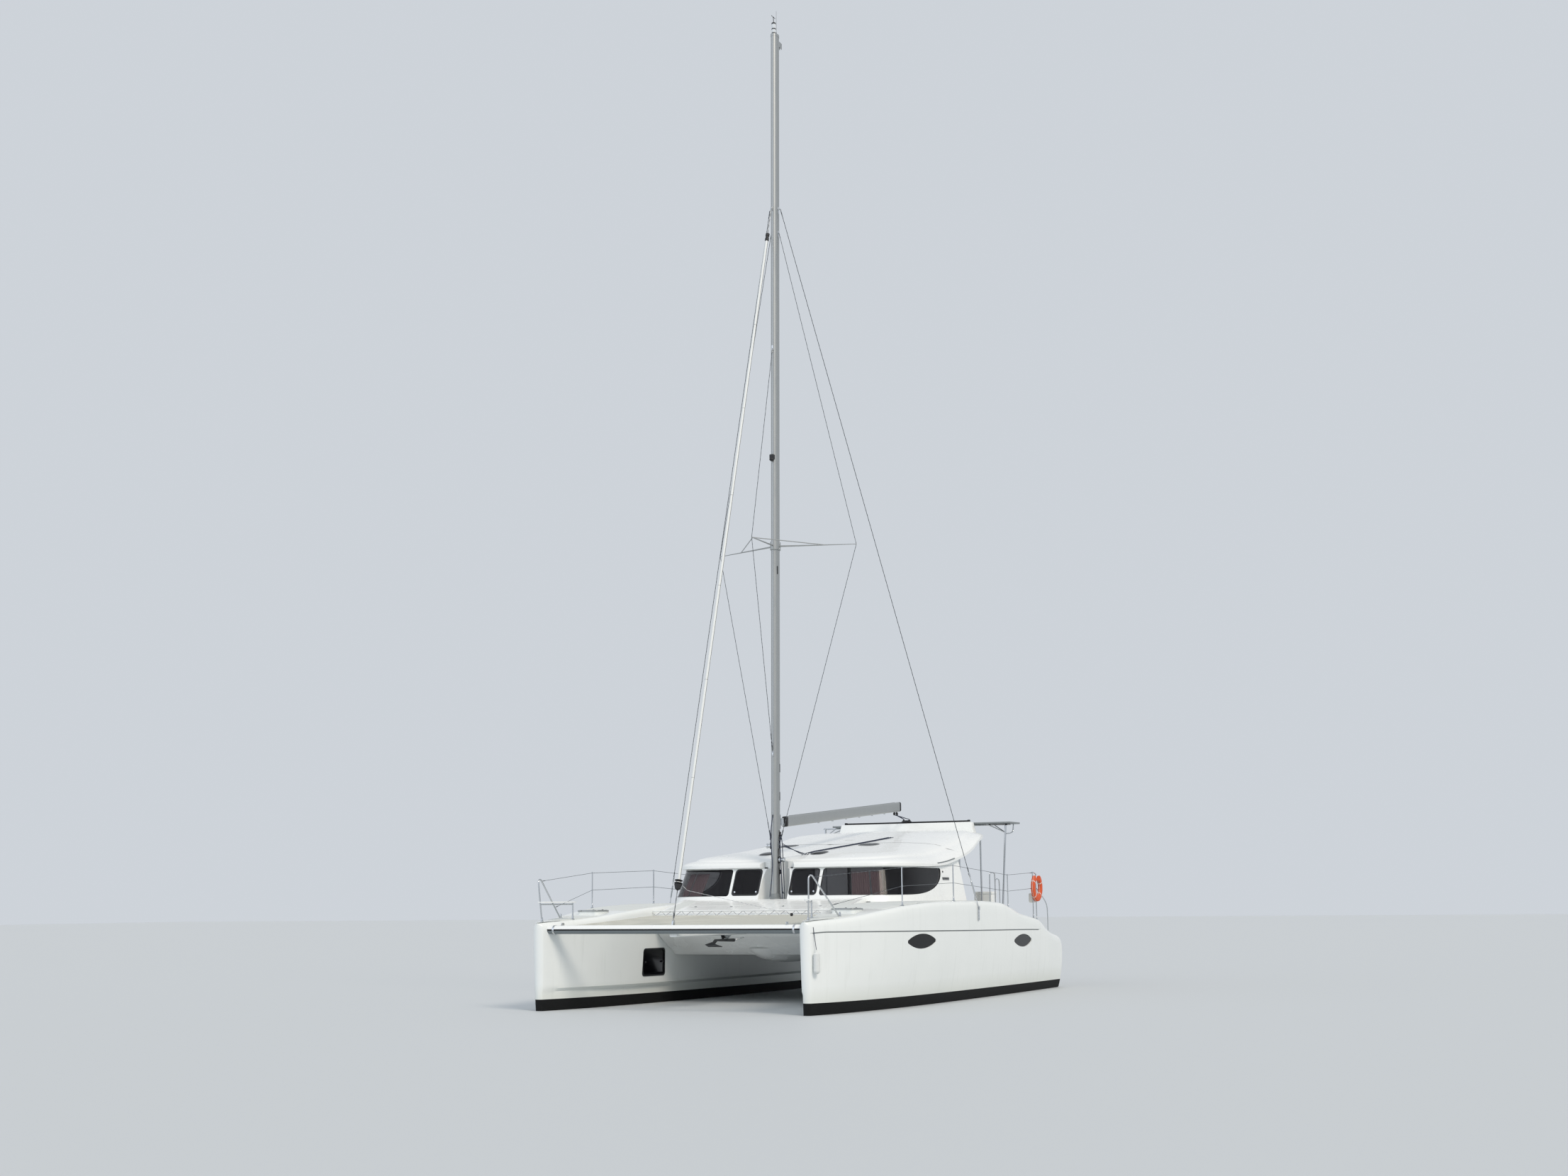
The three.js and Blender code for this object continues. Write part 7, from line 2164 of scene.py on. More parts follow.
        arms.append(ball((2.808, 0, STRUT_TIP[2]), 0.013, 12))
        finished("spreader_arms", joined([sleeve, *arms]), SPAR, replaces=["spreaders"])
        bolts = []
        for side in (-1, 1):
            for z in (-0.06, 0.06):
                bolts.append(lathe([(0.014, 0), (0.014, 0.007), (0.008, 0.01), (0.0, 0.01)],
                                   (root, side * (HALF_WIDTH + wall - 0.001), SPREADER_Z + z), (0, side, 0),
                                   6))
        finished("collar_bolts", joined(bolts), STAINLESS)

    def stays(self) -> None:
        """Diamond stays and jumper with swaged ends and rigging screws."""
        tip = Vector((1.0767, 1.6688, SPREADER_Z))
        for side in Side:
            sign = side.value
            top, low = self.at_mast(16.9), self.at_mast(3.3)
            top.y = low.y = sign * (HALF_WIDTH + 0.014)
            knee = Vector((tip.x, sign * tip.y, tip.z))
            wires = joined([tube([top, knee, low], 0.006, 8), *self.ends(low, knee, 0.35),
                            *self.ends(top, knee, 0.0)])
            finished(f"diamond_wire_{side.label}", wires, WIRE, replaces=[f"diamond_stay_{side.label}"])
        ahead = HALF_CHORD + 0.008
        top = Vector((self.mast_x(14.2) + ahead, 0, 14.2))
        low = Vector((self.mast_x(5.2) + ahead, 0, 5.2))
        knee = Vector((2.8188, 0, STRUT_TIP[2]))
        wires = joined([tube([top, knee, low], 0.006, 8), *self.ends(low, knee, 0.3),
                        *self.ends(top, knee, 0.0)])
        finished("jumper_wire", wires, WIRE, replaces=["jumper_stay"])
        pads = [box((p.x - 0.012, -0.02, p.z - 0.06), (p.x + 0.006, 0.02, p.z + 0.06), 0.003)
                for p in (top, low)]
        finished("jumper_tangs", joined(pads), STAINLESS)

    def ends(self, at: Vector, towards: Vector, screw_length: float) -> list[Shape]:
        """A swage, and where asked a rigging screw above it, at one end of a wire.

        Args:
            at: The wire's end.
            towards: Any point further along the wire.
            screw_length: Length of the rigging screw, or nothing.

        Returns:
            The fittings.
        """
        line = (towards - at).normalized()
        parts = [tube([at + line * (0.02 + screw_length), at + line * (0.12 + screw_length)], 0.0085, 10)]
        if screw_length:
            parts.append(screw(at + line * 0.03, at + line * (0.03 + screw_length), 0.012))
        return parts

    def shrouds(self) -> None:
        """Wire, long open-bodied screw, toggle and bolted strap of each side."""
        foot_at, top = Vector((-0.33, 3.775, 1.89)), Vector((self.mast_x(HOUNDS_Z), 0.132, 17.452))
        line = (top - foot_at).normalized()
        low, high = foot_at + line * 0.16, foot_at + line * 0.74
        wire = joined([tube([high, top], 0.007, 8), tube([high, high + line * 0.16], 0.0105, 12),
                       tube([top - line * 0.17, top - line * 0.01], 0.0105, 12)])
        body = [screw(low, high, 0.019), tube([foot_at, low + line * 0.05], 0.009, 12),
                lathe([(0.014, 0), (0.018, 0.02), (0.018, 0.09), (0.013, 0.11)], high - line * 0.06, line,
                      16)]
        jaw = [box((-0.352, 3.758, 1.86), (-0.308, 3.764, 1.95), 0.003),
               box((-0.352, 3.786, 1.86), (-0.308, 3.792, 1.95), 0.003),
               tube([(-0.33, 3.754, 1.9), (-0.33, 3.796, 1.9)], 0.009, 12)]
        strap = prism(rounded(-0.365, -0.295, 1.64, 1.92, 0.02), "y", 3.7504, 3.776, 0.003)
        bolts = [lathe([(0.013, 0), (0.013, 0.006), (0.007, 0.009), (0.0, 0.009)], (-0.33, 3.7755, z),
                       (0, 1, 0), 6)
                 for z in (1.68, 1.74, 1.8)]
        for side in Side:
            finished(f"shroud_wire_{side.label}", to_side(wire, side), WIRE,
                     replaces=[f"shroud_{side.label}"])
            finished(f"shroud_screw_{side.label}", to_side(joined([*body, *jaw, strap, *bolts]), side),
                     STAINLESS)

    def on_forestay(self, z: float) -> Vector:
        """A point on the forestay at a height."""
        share = (z - 1.74) / (17.397 - 1.74)
        return Vector((lerp(6.262, 1.745, share), 0, z))

    def forestay(self) -> None:
        """Wire, grooved luff foil in joined lengths with black lines of painted shade down its sides, furling
        drum, swivel and the furling line with its lead.
        """
        along = (self.on_forestay(3) - self.on_forestay(2)).normalized()
        across = along.cross(Vector((0, 1, 0))).normalized()
        wire = [tube([self.on_forestay(z0), self.on_forestay(z1)], 0.008, 10) for z0, z1 in ((1.745, 2.49),
                                                                                             (16.5, 17.39))]
        wire.append(lathe([(0.016, 0), (0.016, 0.12), (0.011, 0.16)], self.on_forestay(1.78), along, 14))
        finished("forestay_wire", joined(wire), WIRE)
        outline = []
        for k in range(28):
            turn = math.tau * k / 28
            dent = 0.007 * (math.exp(-((turn - math.pi / 2) / 0.16) ** 2)
                            + math.exp(-((turn - 1.5 * math.pi) / 0.16) ** 2))
            outline.append(((0.0315 - dent) * math.cos(turn), (0.0315 - dent) * math.sin(turn)))
        foil = loft([[self.on_forestay(z) + across * a + Vector((0, b, 0)) for a, b in outline]
                     for z in (2.5, 6.0, 10.0, 14.0, 16.6)])
        finished("luff_foil", foil, FOIL_PAINT, replaces=["forestay"])
        joints = [tube([self.on_forestay(z), self.on_forestay(z + 0.004)], 0.0322, 24)
                  for z in (4.5, 6.5, 8.5, 10.5, 12.5, 14.5)]
        # Black lines down both sides of the white foil, sunk in its grooves: painted shade on the foil's
        # edges
        dark = [tube([self.on_forestay(2.5) + Vector((0, y, 0)) + across * 0.004,
                      self.on_forestay(16.58) + Vector((0, y, 0)) + across * 0.004], 0.004, 6)
                for y in (-0.0265, 0.0265)]
        drum = lathe([(0.03, 0), (0.078, 0.006), (0.082, 0.012), (0.082, 0.02), (0.05, 0.03), (0.048, 0.06),
                      (0.08, 0.068), (0.08, 0.074), (0.03, 0.08)], self.on_forestay(2.425), along, 36)
        cone = lathe([(0.02, -0.03), (0.056, 0), (0.06, 0.02), (0.078, 0.085), (0.03, 0.09)],
                     self.on_forestay(2.335), along, 32)
        finished("furler_drum", joined([drum, cone]), BLACK_AND_FOIL_SHADE)
        swivel = lathe([(0.034, 0), (0.044, 0.012), (0.044, 0.07), (0.037, 0.08), (0.037, 0.12),
                        (0.044, 0.13),
                        (0.044, 0.19), (0.03, 0.2)], self.on_forestay(16.59), along, 28)
        finished("foil_joints_and_swivel", joined([*joints, *dark, swivel]), BLACK_AND_FOIL_SHADE)
        turns = [self.on_forestay(2.455) + (across * math.cos(t) + Vector((0, math.sin(t), 0))) * 0.056
                 + along * 0.005 * math.sin(2.3 * t) for t in (0.5 * k for k in range(64))]
        line = [*turns, (6.06, 0.2, 2.3), (6.02, 2.4, 1.84), (5.2, 2.62, 1.86)]
        finished("furling_line", tube(line, 0.004, 6), WHITE_ROPE)
        finished("furling_lead", pulley((6.02, 2.4, 1.83), (0.2, 1, 0), 0.03), BLACK_AND_FOIL_SHADE)

    def running(self) -> None:
        """Halyards on the mast, their coils, the ropes over the roof and the mainsheet with its blocks."""
        dark, pale = [], []
        for width, low, high in ((0.2, 3.0, 16.4), (-0.2, 3.1, 21.3), (-0.55, 2.75, 12.0)):
            chord = -math.sqrt(1 - width * width) - 0.05
            pale.append(tube([self.at_mast(low, chord, width), self.at_mast(high, chord, width)], 0.005, 6))
        for k in range(5):
            top = self.at_mast(3.48 - 0.05 * (k % 2), -0.45 + 0.08 * k, 1.12 + 0.05 * k)
            low = top + Vector((0.02 * (k - 2), 0.02 + 0.012 * k, -1.15 - 0.1 * k))
            left, right = Vector((-0.05, 0.01, 0)), Vector((0.05, 0.01, 0))
            dark.append(bent([top, top + left + Vector((0, 0, -0.2)), low + left, low + Vector((0, 0, -0.05)),
                              low + right, top + right + Vector((0, 0, -0.2)), top], 0.006, 6, 6))
        for k, y in enumerate((0.3, 0.36, 0.42)):
            points = [self.at_mast(3.3 - 0.03 * k, -0.9, 0.8 + 0.1 * k) + Vector((-0.02, 0.02, 0))]
            points += [Vector((1.1 - 3.6 * n / 24, y + 0.5 * n / 24, 0)) for n in range(25)]
            for p in points[1:]:
                p.z = self.house.surface(p.x, p.y) + 0.009
            dark.append(bent(points, 0.0065, 3, 6))
        dark.append(bent([self.at_mast(3.9, 1.12, 0.0), (2.02, 0.0, 3.44), (1.95, 0.0, 2.8),
                          (2.08, 0.0, 2.17)], 0.009, 8, 8))
        top, car = Vector((SHEET_X, 0.0, boom_z(SHEET_X) - 0.19)), Vector((-5.55, 0.0, 4.05))
        falls = ((-0.075, -0.03, -0.09), (-0.055, 0.03, 0.0), (0.055, -0.03, 0.0), (0.075, 0.03, 0.09))
        for k, (low_y, top_y, top_x) in enumerate(falls):
            start, end = car + Vector((0, low_y, 0)), top + Vector((top_x, top_y, 0))
            # Two rings alone, so that the part is one straight taut line
            part = mesh_object(f"mainsheet_part_{k}", tube([start, end], 0.006, 8))
            part.data.materials.append(NAVY_ROPE.material())
            shade(part)
            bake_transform(part)
        under = Vector((SHEET_X, 0, boom_z(SHEET_X) - 0.15))
        blocks = [pulley(under + Vector((dx, dy, dz)), (0, 1, 0), 0.034)
                  for dx, dy, dz in ((0, 0.03, 0), (0, -0.03, 0), (0.09, 0, -0.015), (-0.09, 0, -0.01))]
        finished("mainsheet_blocks", joined(blocks), BLACK_AND_FOIL_SHADE, "boom")
        finished("halyards", joined(pale), WHITE_ROPE)
        finished("coiled_halyards", joined(dark), NAVY_ROPE)


# Forward beam, ground tackle and trampoline


@dataclass
class ForwardBeam:
    """Crossbeam, longeron with roller, anchor and chain, and the net behind the beam."""

    hull: Hull
    net_rows: tuple[tuple[float, float], ...] = ((6.235, 2.70), (5.2, 2.50), (4.2, 2.33), (3.31, 2.23))
    cell: float = 0.058

    def build(self) -> None:
        """Make everything forward of the foredeck."""
        self.crossbeam()
        self.longeron()
        self.anchor()
        self.chain()
        self.net()

    def crossbeam(self) -> None:
        """The white tube, its lower part painted as shade in a black band and a grey underside, and its
        fittings.
        """
        x, z = CROSSBEAM.x, CROSSBEAM.z

        def oval(y: float, grow: float, low: float, high: float) -> list[Vector]:
            """The beam's section at y, grown outwards and cut off below and above."""
            return [Vector((x + (0.095 + grow) * c, y, z + min(high, max(low, (0.085 + grow) * s))))
                    for c, s in (on_circle(k, 48) for k in range(48))]

        # The tube is drawn in three bands: the white top, then a recessed black band and a grey underside
        # that are painted shade
        for name, grow, low, high, finish in (("crossbeam_shell", 0.0, 0.012, 1.0, GELCOAT),
                                              ("crossbeam_painted_shade_band", -0.008, -0.02, 0.014, GASKET_AND_BEAM_SHADE),
                                              ("crossbeam_lip", -0.001, -1.0, -0.018, ENAMEL_AND_BEAM_SHADE)):
            body = loft([oval(y, grow, low, high) for y in (-2.76, -1.4, -0.02, 0.02, 1.4, 2.76)])
            shape = carved(body, *((Cut.OFF, to_side(self.hull.body(), side)) for side in Side))
            finished(name, shape, finish, replaces=["crossbeam"] if name == "crossbeam_shell" else [])
        plate = prism([(6.21, 1.625), (6.31, 1.625), (6.3, 1.72), (6.275, 1.74), (6.245, 1.74),
                       (6.222, 1.72)],
                      "y", -0.014, 0.014, 0.003)
        bits = [plate, tube([(6.262, -0.024, 1.712), (6.262, 0.024, 1.712)], 0.011, 14)]
        for side in (-1, 1):
            lug_y = side * 2.45
            bits.append(prism(rounded(6.27, 6.37, 1.64, 1.7, 0.02), "y", lug_y - 0.006, lug_y + 0.006))
            bits.append(tube([(6.32, lug_y - 0.02, 1.68), (6.32, lug_y + 0.02, 1.68)], 0.009, 12))
            collar = loft([oval(side * 2.6, 0.004, -1, 1), oval(side * 2.62, 0.005, -1, 1),
                           oval(side * 2.64, 0.004, -1, 1)])
            bits.append(collar)
        finished("beam_fittings", joined(bits), STAINLESS)

    def longeron(self) -> None:
        """The beam that runs aft to the foredeck, with roller cheeks and roller."""
        body = loft([[Vector((x, a, b)) for a, b in rounded(-0.08, 0.08, 1.42, 1.59, 0.03, 5)]
                     for x in (3.3006, 4.2, 5.2, 6.265)])
        beam = loft([[Vector((CROSSBEAM.x + 0.096 * c, y, CROSSBEAM.z + 0.086 * s))
                      for c, s in (on_circle(k, 40) for k in range(40))] for y in (-0.3, 0.3)])
        whole = carved(body, (Cut.OFF, beam))
        finished("longeron_beam", whole, GELCOAT, replaces=["longeron"])
        cheeks = [prism(filleted([(4.23, 1.44), (4.19, 1.34), (4.09, 1.34), (3.90, 1.44)], 0.015),
                        "y", *((0.040, 0.052) if side > 0 else (-0.052, -0.040)), 0.002) for side in (-1, 1)]
        cheeks.append(tube([(4.14, -0.056, 1.378), (4.14, 0.056, 1.378)], 0.0118, 14))
        finished("roller_cheeks", joined(cheeks), STAINLESS)
        roller = lathe([(0.016, -0.039), (0.032, -0.039), (0.032, -0.03), (0.018, -0.008), (0.018, 0.008),
                        (0.032, 0.03), (0.032, 0.039), (0.016, 0.039)], (4.14, 0, 1.378), (0, 1, 0), 28)
        finished("bow_roller", roller, BLACK_AND_FOIL_SHADE)

    def anchor(self) -> None:
        """Plough anchor: forged shank, folded fluke and the shackle ring."""
        shank = prism(filleted([(4.56, 1.346), (3.74, 1.346), (3.69, 1.304), (3.74, 1.28), (4.48, 1.304),
                                (4.64, 1.226), (4.69, 1.268)], 0.012), "y", -0.013, 0.013, 0.003)
        rings = []
        for share in range(9):
            t = share / 4
            rows = (((4.70, 1.290), (4.74, 0.136, 1.244), (4.68, 1.232)),
                    ((4.56, 1.250), (4.54, 0.160, 1.196), (4.55, 1.202)),
                    ((4.26, 1.202), (4.26, 0.012, 1.190), (4.26, 1.187)))
            i = min(1, int(t))
            (ra, ea, ha), (rb, eb, hb) = rows[i], rows[i + 1]
            ridge, edge, hollow = ([lerp(a, b, t - i) for a, b in zip(p, q)]
                                   for p, q in ((ra, rb), (ea, eb), (ha, hb)))
            rings.append([Vector((ridge[0], 0, ridge[1])), Vector((edge[0], edge[1], edge[2])),
                          Vector((edge[0], edge[1] - 0.004, edge[2] - 0.004)),
                          Vector((hollow[0], 0, hollow[1])),
                          Vector((edge[0], 0.004 - edge[1], edge[2] - 0.004)),
                          Vector((edge[0], -edge[1], edge[2]))])
        eye = ring_of((3.735, 0, 1.313), (1, 0, 0.2), 0.026, 0.006, 20, 8)
        finished("plough_anchor", joined([shank, loft(rings), eye]), IRON, replaces=["anchor"])

    def chain(self) -> None:
        """Links instanced along the chain's line, each turned a quarter from the last."""
        line = Growth("anchor_chain", pitch=0.03, wire=0.0045)
        spots = line.add("GeometryNodeCurveToPoints", {"Curve": line.run("pitch")}, mode="EVALUATED").node
        oval = line.add("GeometryNodeCurvePrimitiveCircle", None, {"Resolution": 12, "Radius": 1.0})
        long_oval = line.add("GeometryNodeTransform", {"Geometry": oval}, {"Scale": (0.0115, 0.0205, 1.0)})
        link = line.rods(long_oval, line.input("wire"), 6)
        upright = line.add("GeometryNodeTransform", {"Geometry": link}, {"Rotation": (math.pi / 2, 0.0, 0.0)})
        parity = line.math("MODULO", line.add("GeometryNodeInputIndex"), 2.0)
        quarter = line.add("ShaderNodeCombineXYZ", {2: line.math("MULTIPLY", parity, math.pi / 2)})
        turn = line.add("FunctionNodeRotateRotation",
                        {"Rotation": spots.outputs["Rotation"], "Rotate By": quarter},
                        rotation_space="LOCAL")
        links = line.add("GeometryNodeInstanceOnPoints", {"Points": spots.outputs[0], "Instance": upright,
                                                          "Rotation": turn})
        path = resampled(spline([(3.735, 0, 1.31), (3.62, 0, 1.33), (3.48, 0, 1.345), (3.31, 0, 1.36)], 6),
                         20)
        finished("anchor_chain", line.bake(links, line_of(path), STAINLESS), STAINLESS)

    def net_z(self, x: float) -> float:
        """Height of the net's middle."""
        return lerp(1.8, 1.6, (x - 3.3) / 3.0) + 0.007

    def net_half(self, x: float) -> float:
        """Half width of the net at its hem.

        Args:
            x: Place along the boat.

        Returns:
            The half width there.
        """
        table = smooth_table(self.net_rows, x, 1)
        skin = HULL_Y - self.hull.half(x, self.net_z(x), False) - 0.045
        return min(table, skin)

    def net(self) -> None:
        """Knotted cord net from a grid drawn out to the bay's shape, its hem and its lacing."""
        back, front = 3.36, 6.2
        wide, narrow = self.net_half(front), self.net_half(back)
        group = Growth("net", back=back, front=front, half_back=narrow, half_front=wide,
                       rows=round((front - back) / self.cell), columns=round(2 * wide / self.cell),
                       cord=0.0028, slope=(1.6 - 1.8) / 3.0, height=self.net_z(back))
        sheet = group.add("GeometryNodeMeshGrid", {"Vertices X": group.input("rows"),
                                                   "Vertices Y": group.input("columns")},
                          {"Size X": 1.0, "Size Y": 1.0})
        at = group.add("ShaderNodeSeparateXYZ", {0: group.add("GeometryNodeInputPosition")}).node
        share = group.math("ADD", at.outputs[0], 0.5)
        span = group.math("SUBTRACT", group.input("front"), group.input("back"))
        run = group.math("MULTIPLY", share, span)
        widen = group.math("SUBTRACT", group.input("half_front"), group.input("half_back"))
        half = group.math("ADD", group.input("half_back"), group.math("MULTIPLY", share, widen))
        x = group.math("ADD", group.input("back"), run)
        y = group.math("MULTIPLY", group.math("MULTIPLY", at.outputs[1], 2.0), half)
        z = group.math("ADD", group.input("height"), group.math("MULTIPLY", run, group.input("slope")))
        place = group.add("ShaderNodeCombineXYZ", {0: x, 1: y, 2: z})
        drawn = group.add("GeometryNodeSetPosition", {"Geometry": sheet, "Position": place})
        lines = group.add("GeometryNodeMeshToCurve", {0: drawn})
        section = group.add("GeometryNodeCurvePrimitiveCircle", {"Radius": group.input("cord")},
                            {"Resolution": 4})
        cords = group.add("GeometryNodeCurveToMesh", {"Curve": lines, "Profile Curve": section})
        finished("trampoline_net", group.bake(cords, ([Vector()], []), NET_CORD), NET_CORD,
                 replaces=["trampoline"])
        corners = [(back, narrow), (front, wide), (front, -wide), (back, -narrow), (back, narrow)]
        edge = [Vector((lerp(a[0], b[0], t), lerp(a[1], b[1], t), 0)) for a, b in zip(corners, corners[1:])
                for t in (k / 12 for k in range(12))]
        for p in edge:
            p.z = self.net_z(p.x)
        finished("net_hem", tube([*edge, edge[0]], 0.0065, 8), NET_CORD)
        zigzag = []
        for k in range(37):
            y = lerp(-2.16, 2.16, k / 36)
            zigzag.append((3.352, y, self.net_z(3.36)) if k % 2 else (3.318, y, 1.9))
        finished("aft_lacing", tube(zigzag, 0.008, 6), WHITE_ROPE)
        lace = Growth("net_lacing", pitch=0.11, reach=0.055, cord=0.0032)
        tangent = lace.add("GeometryNodeInputTangent")
        side = lace.add("ShaderNodeVectorMath", {0: tangent}, {1: (0.0, 0.0, 1.0)}, operation="CROSS_PRODUCT")
        parity = lace.math("MODULO", lace.add("GeometryNodeInputIndex"), 2.0)
        out = lace.add("ShaderNodeVectorMath",
                       {0: side, "Scale": lace.math("MULTIPLY", parity, lace.input("reach"))},
                       operation="SCALE")
        moved_out = lace.add("GeometryNodeSetPosition", {"Geometry": lace.run("pitch"), "Offset": out})
        cord = lace.rods(moved_out, lace.input("cord"), 6)
        runs = [[Vector((lerp(a[0], b[0], t / 8), lerp(a[1], b[1], t / 8),
                         self.net_z(lerp(a[0], b[0], t / 8))))
                 for t in range(9)] for a, b in zip(corners[::-1], corners[-2::-1])]
        points = [p for run_points in runs for p in run_points]
        edges = [(9 * r + k, 9 * r + k + 1) for r in range(1, 4) for k in range(8)]
        finished("net_lacing", lace.bake(cord, (points, edges), WHITE_ROPE), WHITE_ROPE)
        finished("net_track", tube([(3.318, -2.2, 1.9), (3.318, 2.2, 1.9)], 0.012, 10), GELCOAT)


# Rails, buoy, fender and arch


@dataclass
class Rails:
    """Pulpits with seats, stanchions, wires and stern hoops, the lifebuoy and the fender."""

    hull: Hull
    posts: tuple[tuple[float, float, float], ...] = (
        (3.4, 3.56, 0.76), (0.7, 3.6, 0.76), (-2.7, 3.59, 0.76), (-4.58, 3.54, 1.08), (-4.81, 3.54, 1.08),
    )

    def build(self) -> None:
        """Make both sides' rails and what hangs on them."""
        for side in Side:
            self.pulpit(side)
            self.stanchions(side)
        self.lifebuoy()
        self.fender()

    def pulpit(self, side: Side) -> None:
        """Bent tube, brace, slatted seat and feet.

        Args:
            side: Port or starboard.
        """
        rail = [(6.36, 2.905, 1.71), (6.395, 2.93, 2.09), (6.43, 2.95, 2.46), (6.425, 2.952, 2.51),
                (6.4, 2.958, 2.54), (6.36, 2.964, 2.55), (6.31, 2.971, 2.54), (6.2, 2.986, 2.449),
                (5.35, 3.10, 1.75)]
        bars = [tube(rail, 0.015, 14), tube([(5.65, 2.64, 1.73), (5.65, 2.64, 2.092)], 0.015, 14),
                tube([(5.65, 2.64, 2.06), (6.4, 2.9, 2.06)], 0.0125, 12)]
        for x, y in ((6.36, 2.905), (5.37, 3.098), (5.65, 2.64)):
            bars.append(foot((x, y, self.hull.deck_z(x) + 0.004), 0.015, 0.04))
        finished(f"pulpit_tubes_{side.label}", to_side(joined(bars), side), STAINLESS,
                 replaces=[f"pulpit_{side.label}"])
        outline = filleted([(6.42, 2.85), (6.42, 3.0), (5.78, 3.06), (5.56, 2.6), (5.7, 2.56)], 0.05, 6)
        seat = prism(outline, "z", 2.091, 2.111, 0.004)
        grooves = []
        for k in range(5):
            y0 = 2.62 + 0.095 * k
            grooves.append(box((5.5, y0, 2.107), (6.5, y0 + 0.008, 2.13), 0))
        slatted = carved(seat, *((Cut.OFF, g) for g in grooves))
        finished(f"pulpit_seat_{side.label}", to_side(slatted, side), GELCOAT)

    def stanchions(self, side: Side) -> None:
        """Posts with flanged feet and caps, wires with fittings, and the stern hoop.

        Args:
            side: Port or starboard.
        """
        bars, wires, tops = [], [], []
        for x, y, height in self.posts:
            low = self.hull.on_deck(x, y, -0.004)
            top = Vector((x, y, self.hull.deck_z(x) + height))
            tops.append(top)
            bars += [tube([low, top], 0.0128, 14), foot(low, 0.0128, 0.036),
                     lathe([(0.0145, -0.03), (0.0145, -0.002), (0.008, 0.004), (0.0, 0.004)], top, (0, 0, 1),
                           14)]
            for drop in (0.02, 0.38):
                bars.append(tube([top + Vector((0, -0.019, -drop)), top + Vector((0, 0.019, -drop))], 0.006,
                                 8))
        for drop, share in ((0.02, 0.04), (0.38, 0.69)):
            end = Vector((6.32, 2.97, 2.548)).lerp(Vector((5.35, 3.1, 1.75)), share)
            points = [end] + [p + Vector((0, 0, -drop)) for p in tops[:4]]
            wires.append(tube(points, 0.0042, 8))
            for a, b in ((points[0], points[1]), (points[4], points[3])):
                heading = (b - a).normalized()
                wires.append(screw(a + heading * 0.03, a + heading * 0.2, 0.009))
        bars.append(tube([tops[3], tops[4]], 0.0128, 14))
        last = tops[4] + Vector((0, 0, -0.32))
        bars.append(bent([last, (-5.7, 3.47, 2.0), (-5.9, 3.44, 1.7), (-5.93, 3.43, 1.24)], 0.012, 10, 12))
        finished(f"stanchions_{side.label}", to_side(joined(bars), side), STAINLESS,
                 replaces=[f"lifelines_{side.label}"])
        finished(f"lifeline_wires_{side.label}", to_side(joined(wires), side), WIRE)
        loops = []
        for x0, x1, y, top_z in ((-4.25, -4.62, 2.6, 2.69), (-4.72, -5.03, 2.56, 2.55)):
            low = self.hull.deck_z(x0) - 0.01
            path = [(x0, y, low), (x0 - 0.01, y, top_z - 0.12), (x0 - 0.08, y, top_z), (x1 + 0.08, y, top_z),
                    (x1 + 0.01, y, top_z - 0.12), (x1, y, low)]
            loops += [bent(path, 0.0125, 8, 12), foot((x0, y, low + 0.012), 0.0125, 0.035),
                      foot((x1, y, low + 0.012), 0.0125, 0.035)]
        finished(f"boarding_hoops_{side.label}", to_side(joined(loops), side), STAINLESS)

    def lifebuoy(self) -> None:
        """Padded horseshoe in an orange cover with piping, straps and a white pocket."""
        x, y, z, gap = -4.695, 3.5983, 2.35, math.radians(32)
        outer, inner, deep = 0.325, 0.18, 0.09
        middle, half = (outer + inner) / 2, (outer - inner) / 2
        rings = []
        steps = 44
        for k in range(-2, steps + 3):
            turn = gap + (math.tau - 2 * gap) * min(1.0, max(0.0, k / steps))
            cap = {-2: 0.3, -1: 0.8, steps + 1: 0.8, steps + 2: 0.3}.get(k, 1.0)
            puff = 0.97 + 0.03 * abs(math.sin(6 * turn))
            direction = Vector((math.sin(turn), 0, math.cos(turn)))
            centre = Vector((x, y, z)) + direction * middle
            ring = []
            for j in range(20):
                t = math.tau * j / 20
                u = math.copysign(abs(math.cos(t)) ** 0.62, math.cos(t)) * half * cap * puff
                v = math.copysign(abs(math.sin(t)) ** 0.62, math.sin(t)) * deep / 2 * cap * puff
                ring.append(centre + direction * u + Vector((0, v, 0)))
            rings.append(ring)
        cover = finished("horseshoe_buoy", loft(rings), ORANGE, replaces=["lifebuoy"], angle=50)
        piping = []
        for r in (outer - 0.004, inner + 0.004):
            arc = [Vector((x + r * math.sin(t), y + 0.002, z + r * math.cos(t)))
                   for t in (gap + (math.tau - 2 * gap) * k / 48 for k in range(49))]
            piping.append(tube(arc, 0.0045, 8))
        for turn in (1.1, 2.35, 3.93, 5.18):
            direction = Vector((math.sin(turn), 0, math.cos(turn)))
            tangent = Vector((math.cos(turn), 0, -math.sin(turn)))
            centre = Vector((x, y, z)) + direction * middle
            band = [centre + direction * (half + 0.003) * math.copysign(abs(math.cos(t)) ** 0.6, math.cos(t))
                    + Vector((0, (deep / 2 + 0.002) * math.copysign(abs(math.sin(t)) ** 0.6, math.sin(t)), 0))
                    for t in (math.tau * k / 24 for k in range(24))]
            piping.append(loft([[p + tangent * w for p in band] for w in (-0.008, 0.008)]))
        finished("buoy_piping_and_straps", joined(piping), WHITE_CLOTH)
        pocket = box((x - 0.13, 3.43, 2.0), (x + 0.13, 3.535, 2.22), 0.035, 5)
        bag = finished("buoy_pocket", pocket, WHITE_CLOTH)
        frame_bars = [tube([(-4.81, 3.54, z1), (-4.58, 3.54, z1)], 0.009, 10) for z1 in (2.1, 2.5)]
        finished("buoy_bracket", joined(frame_bars), STAINLESS)

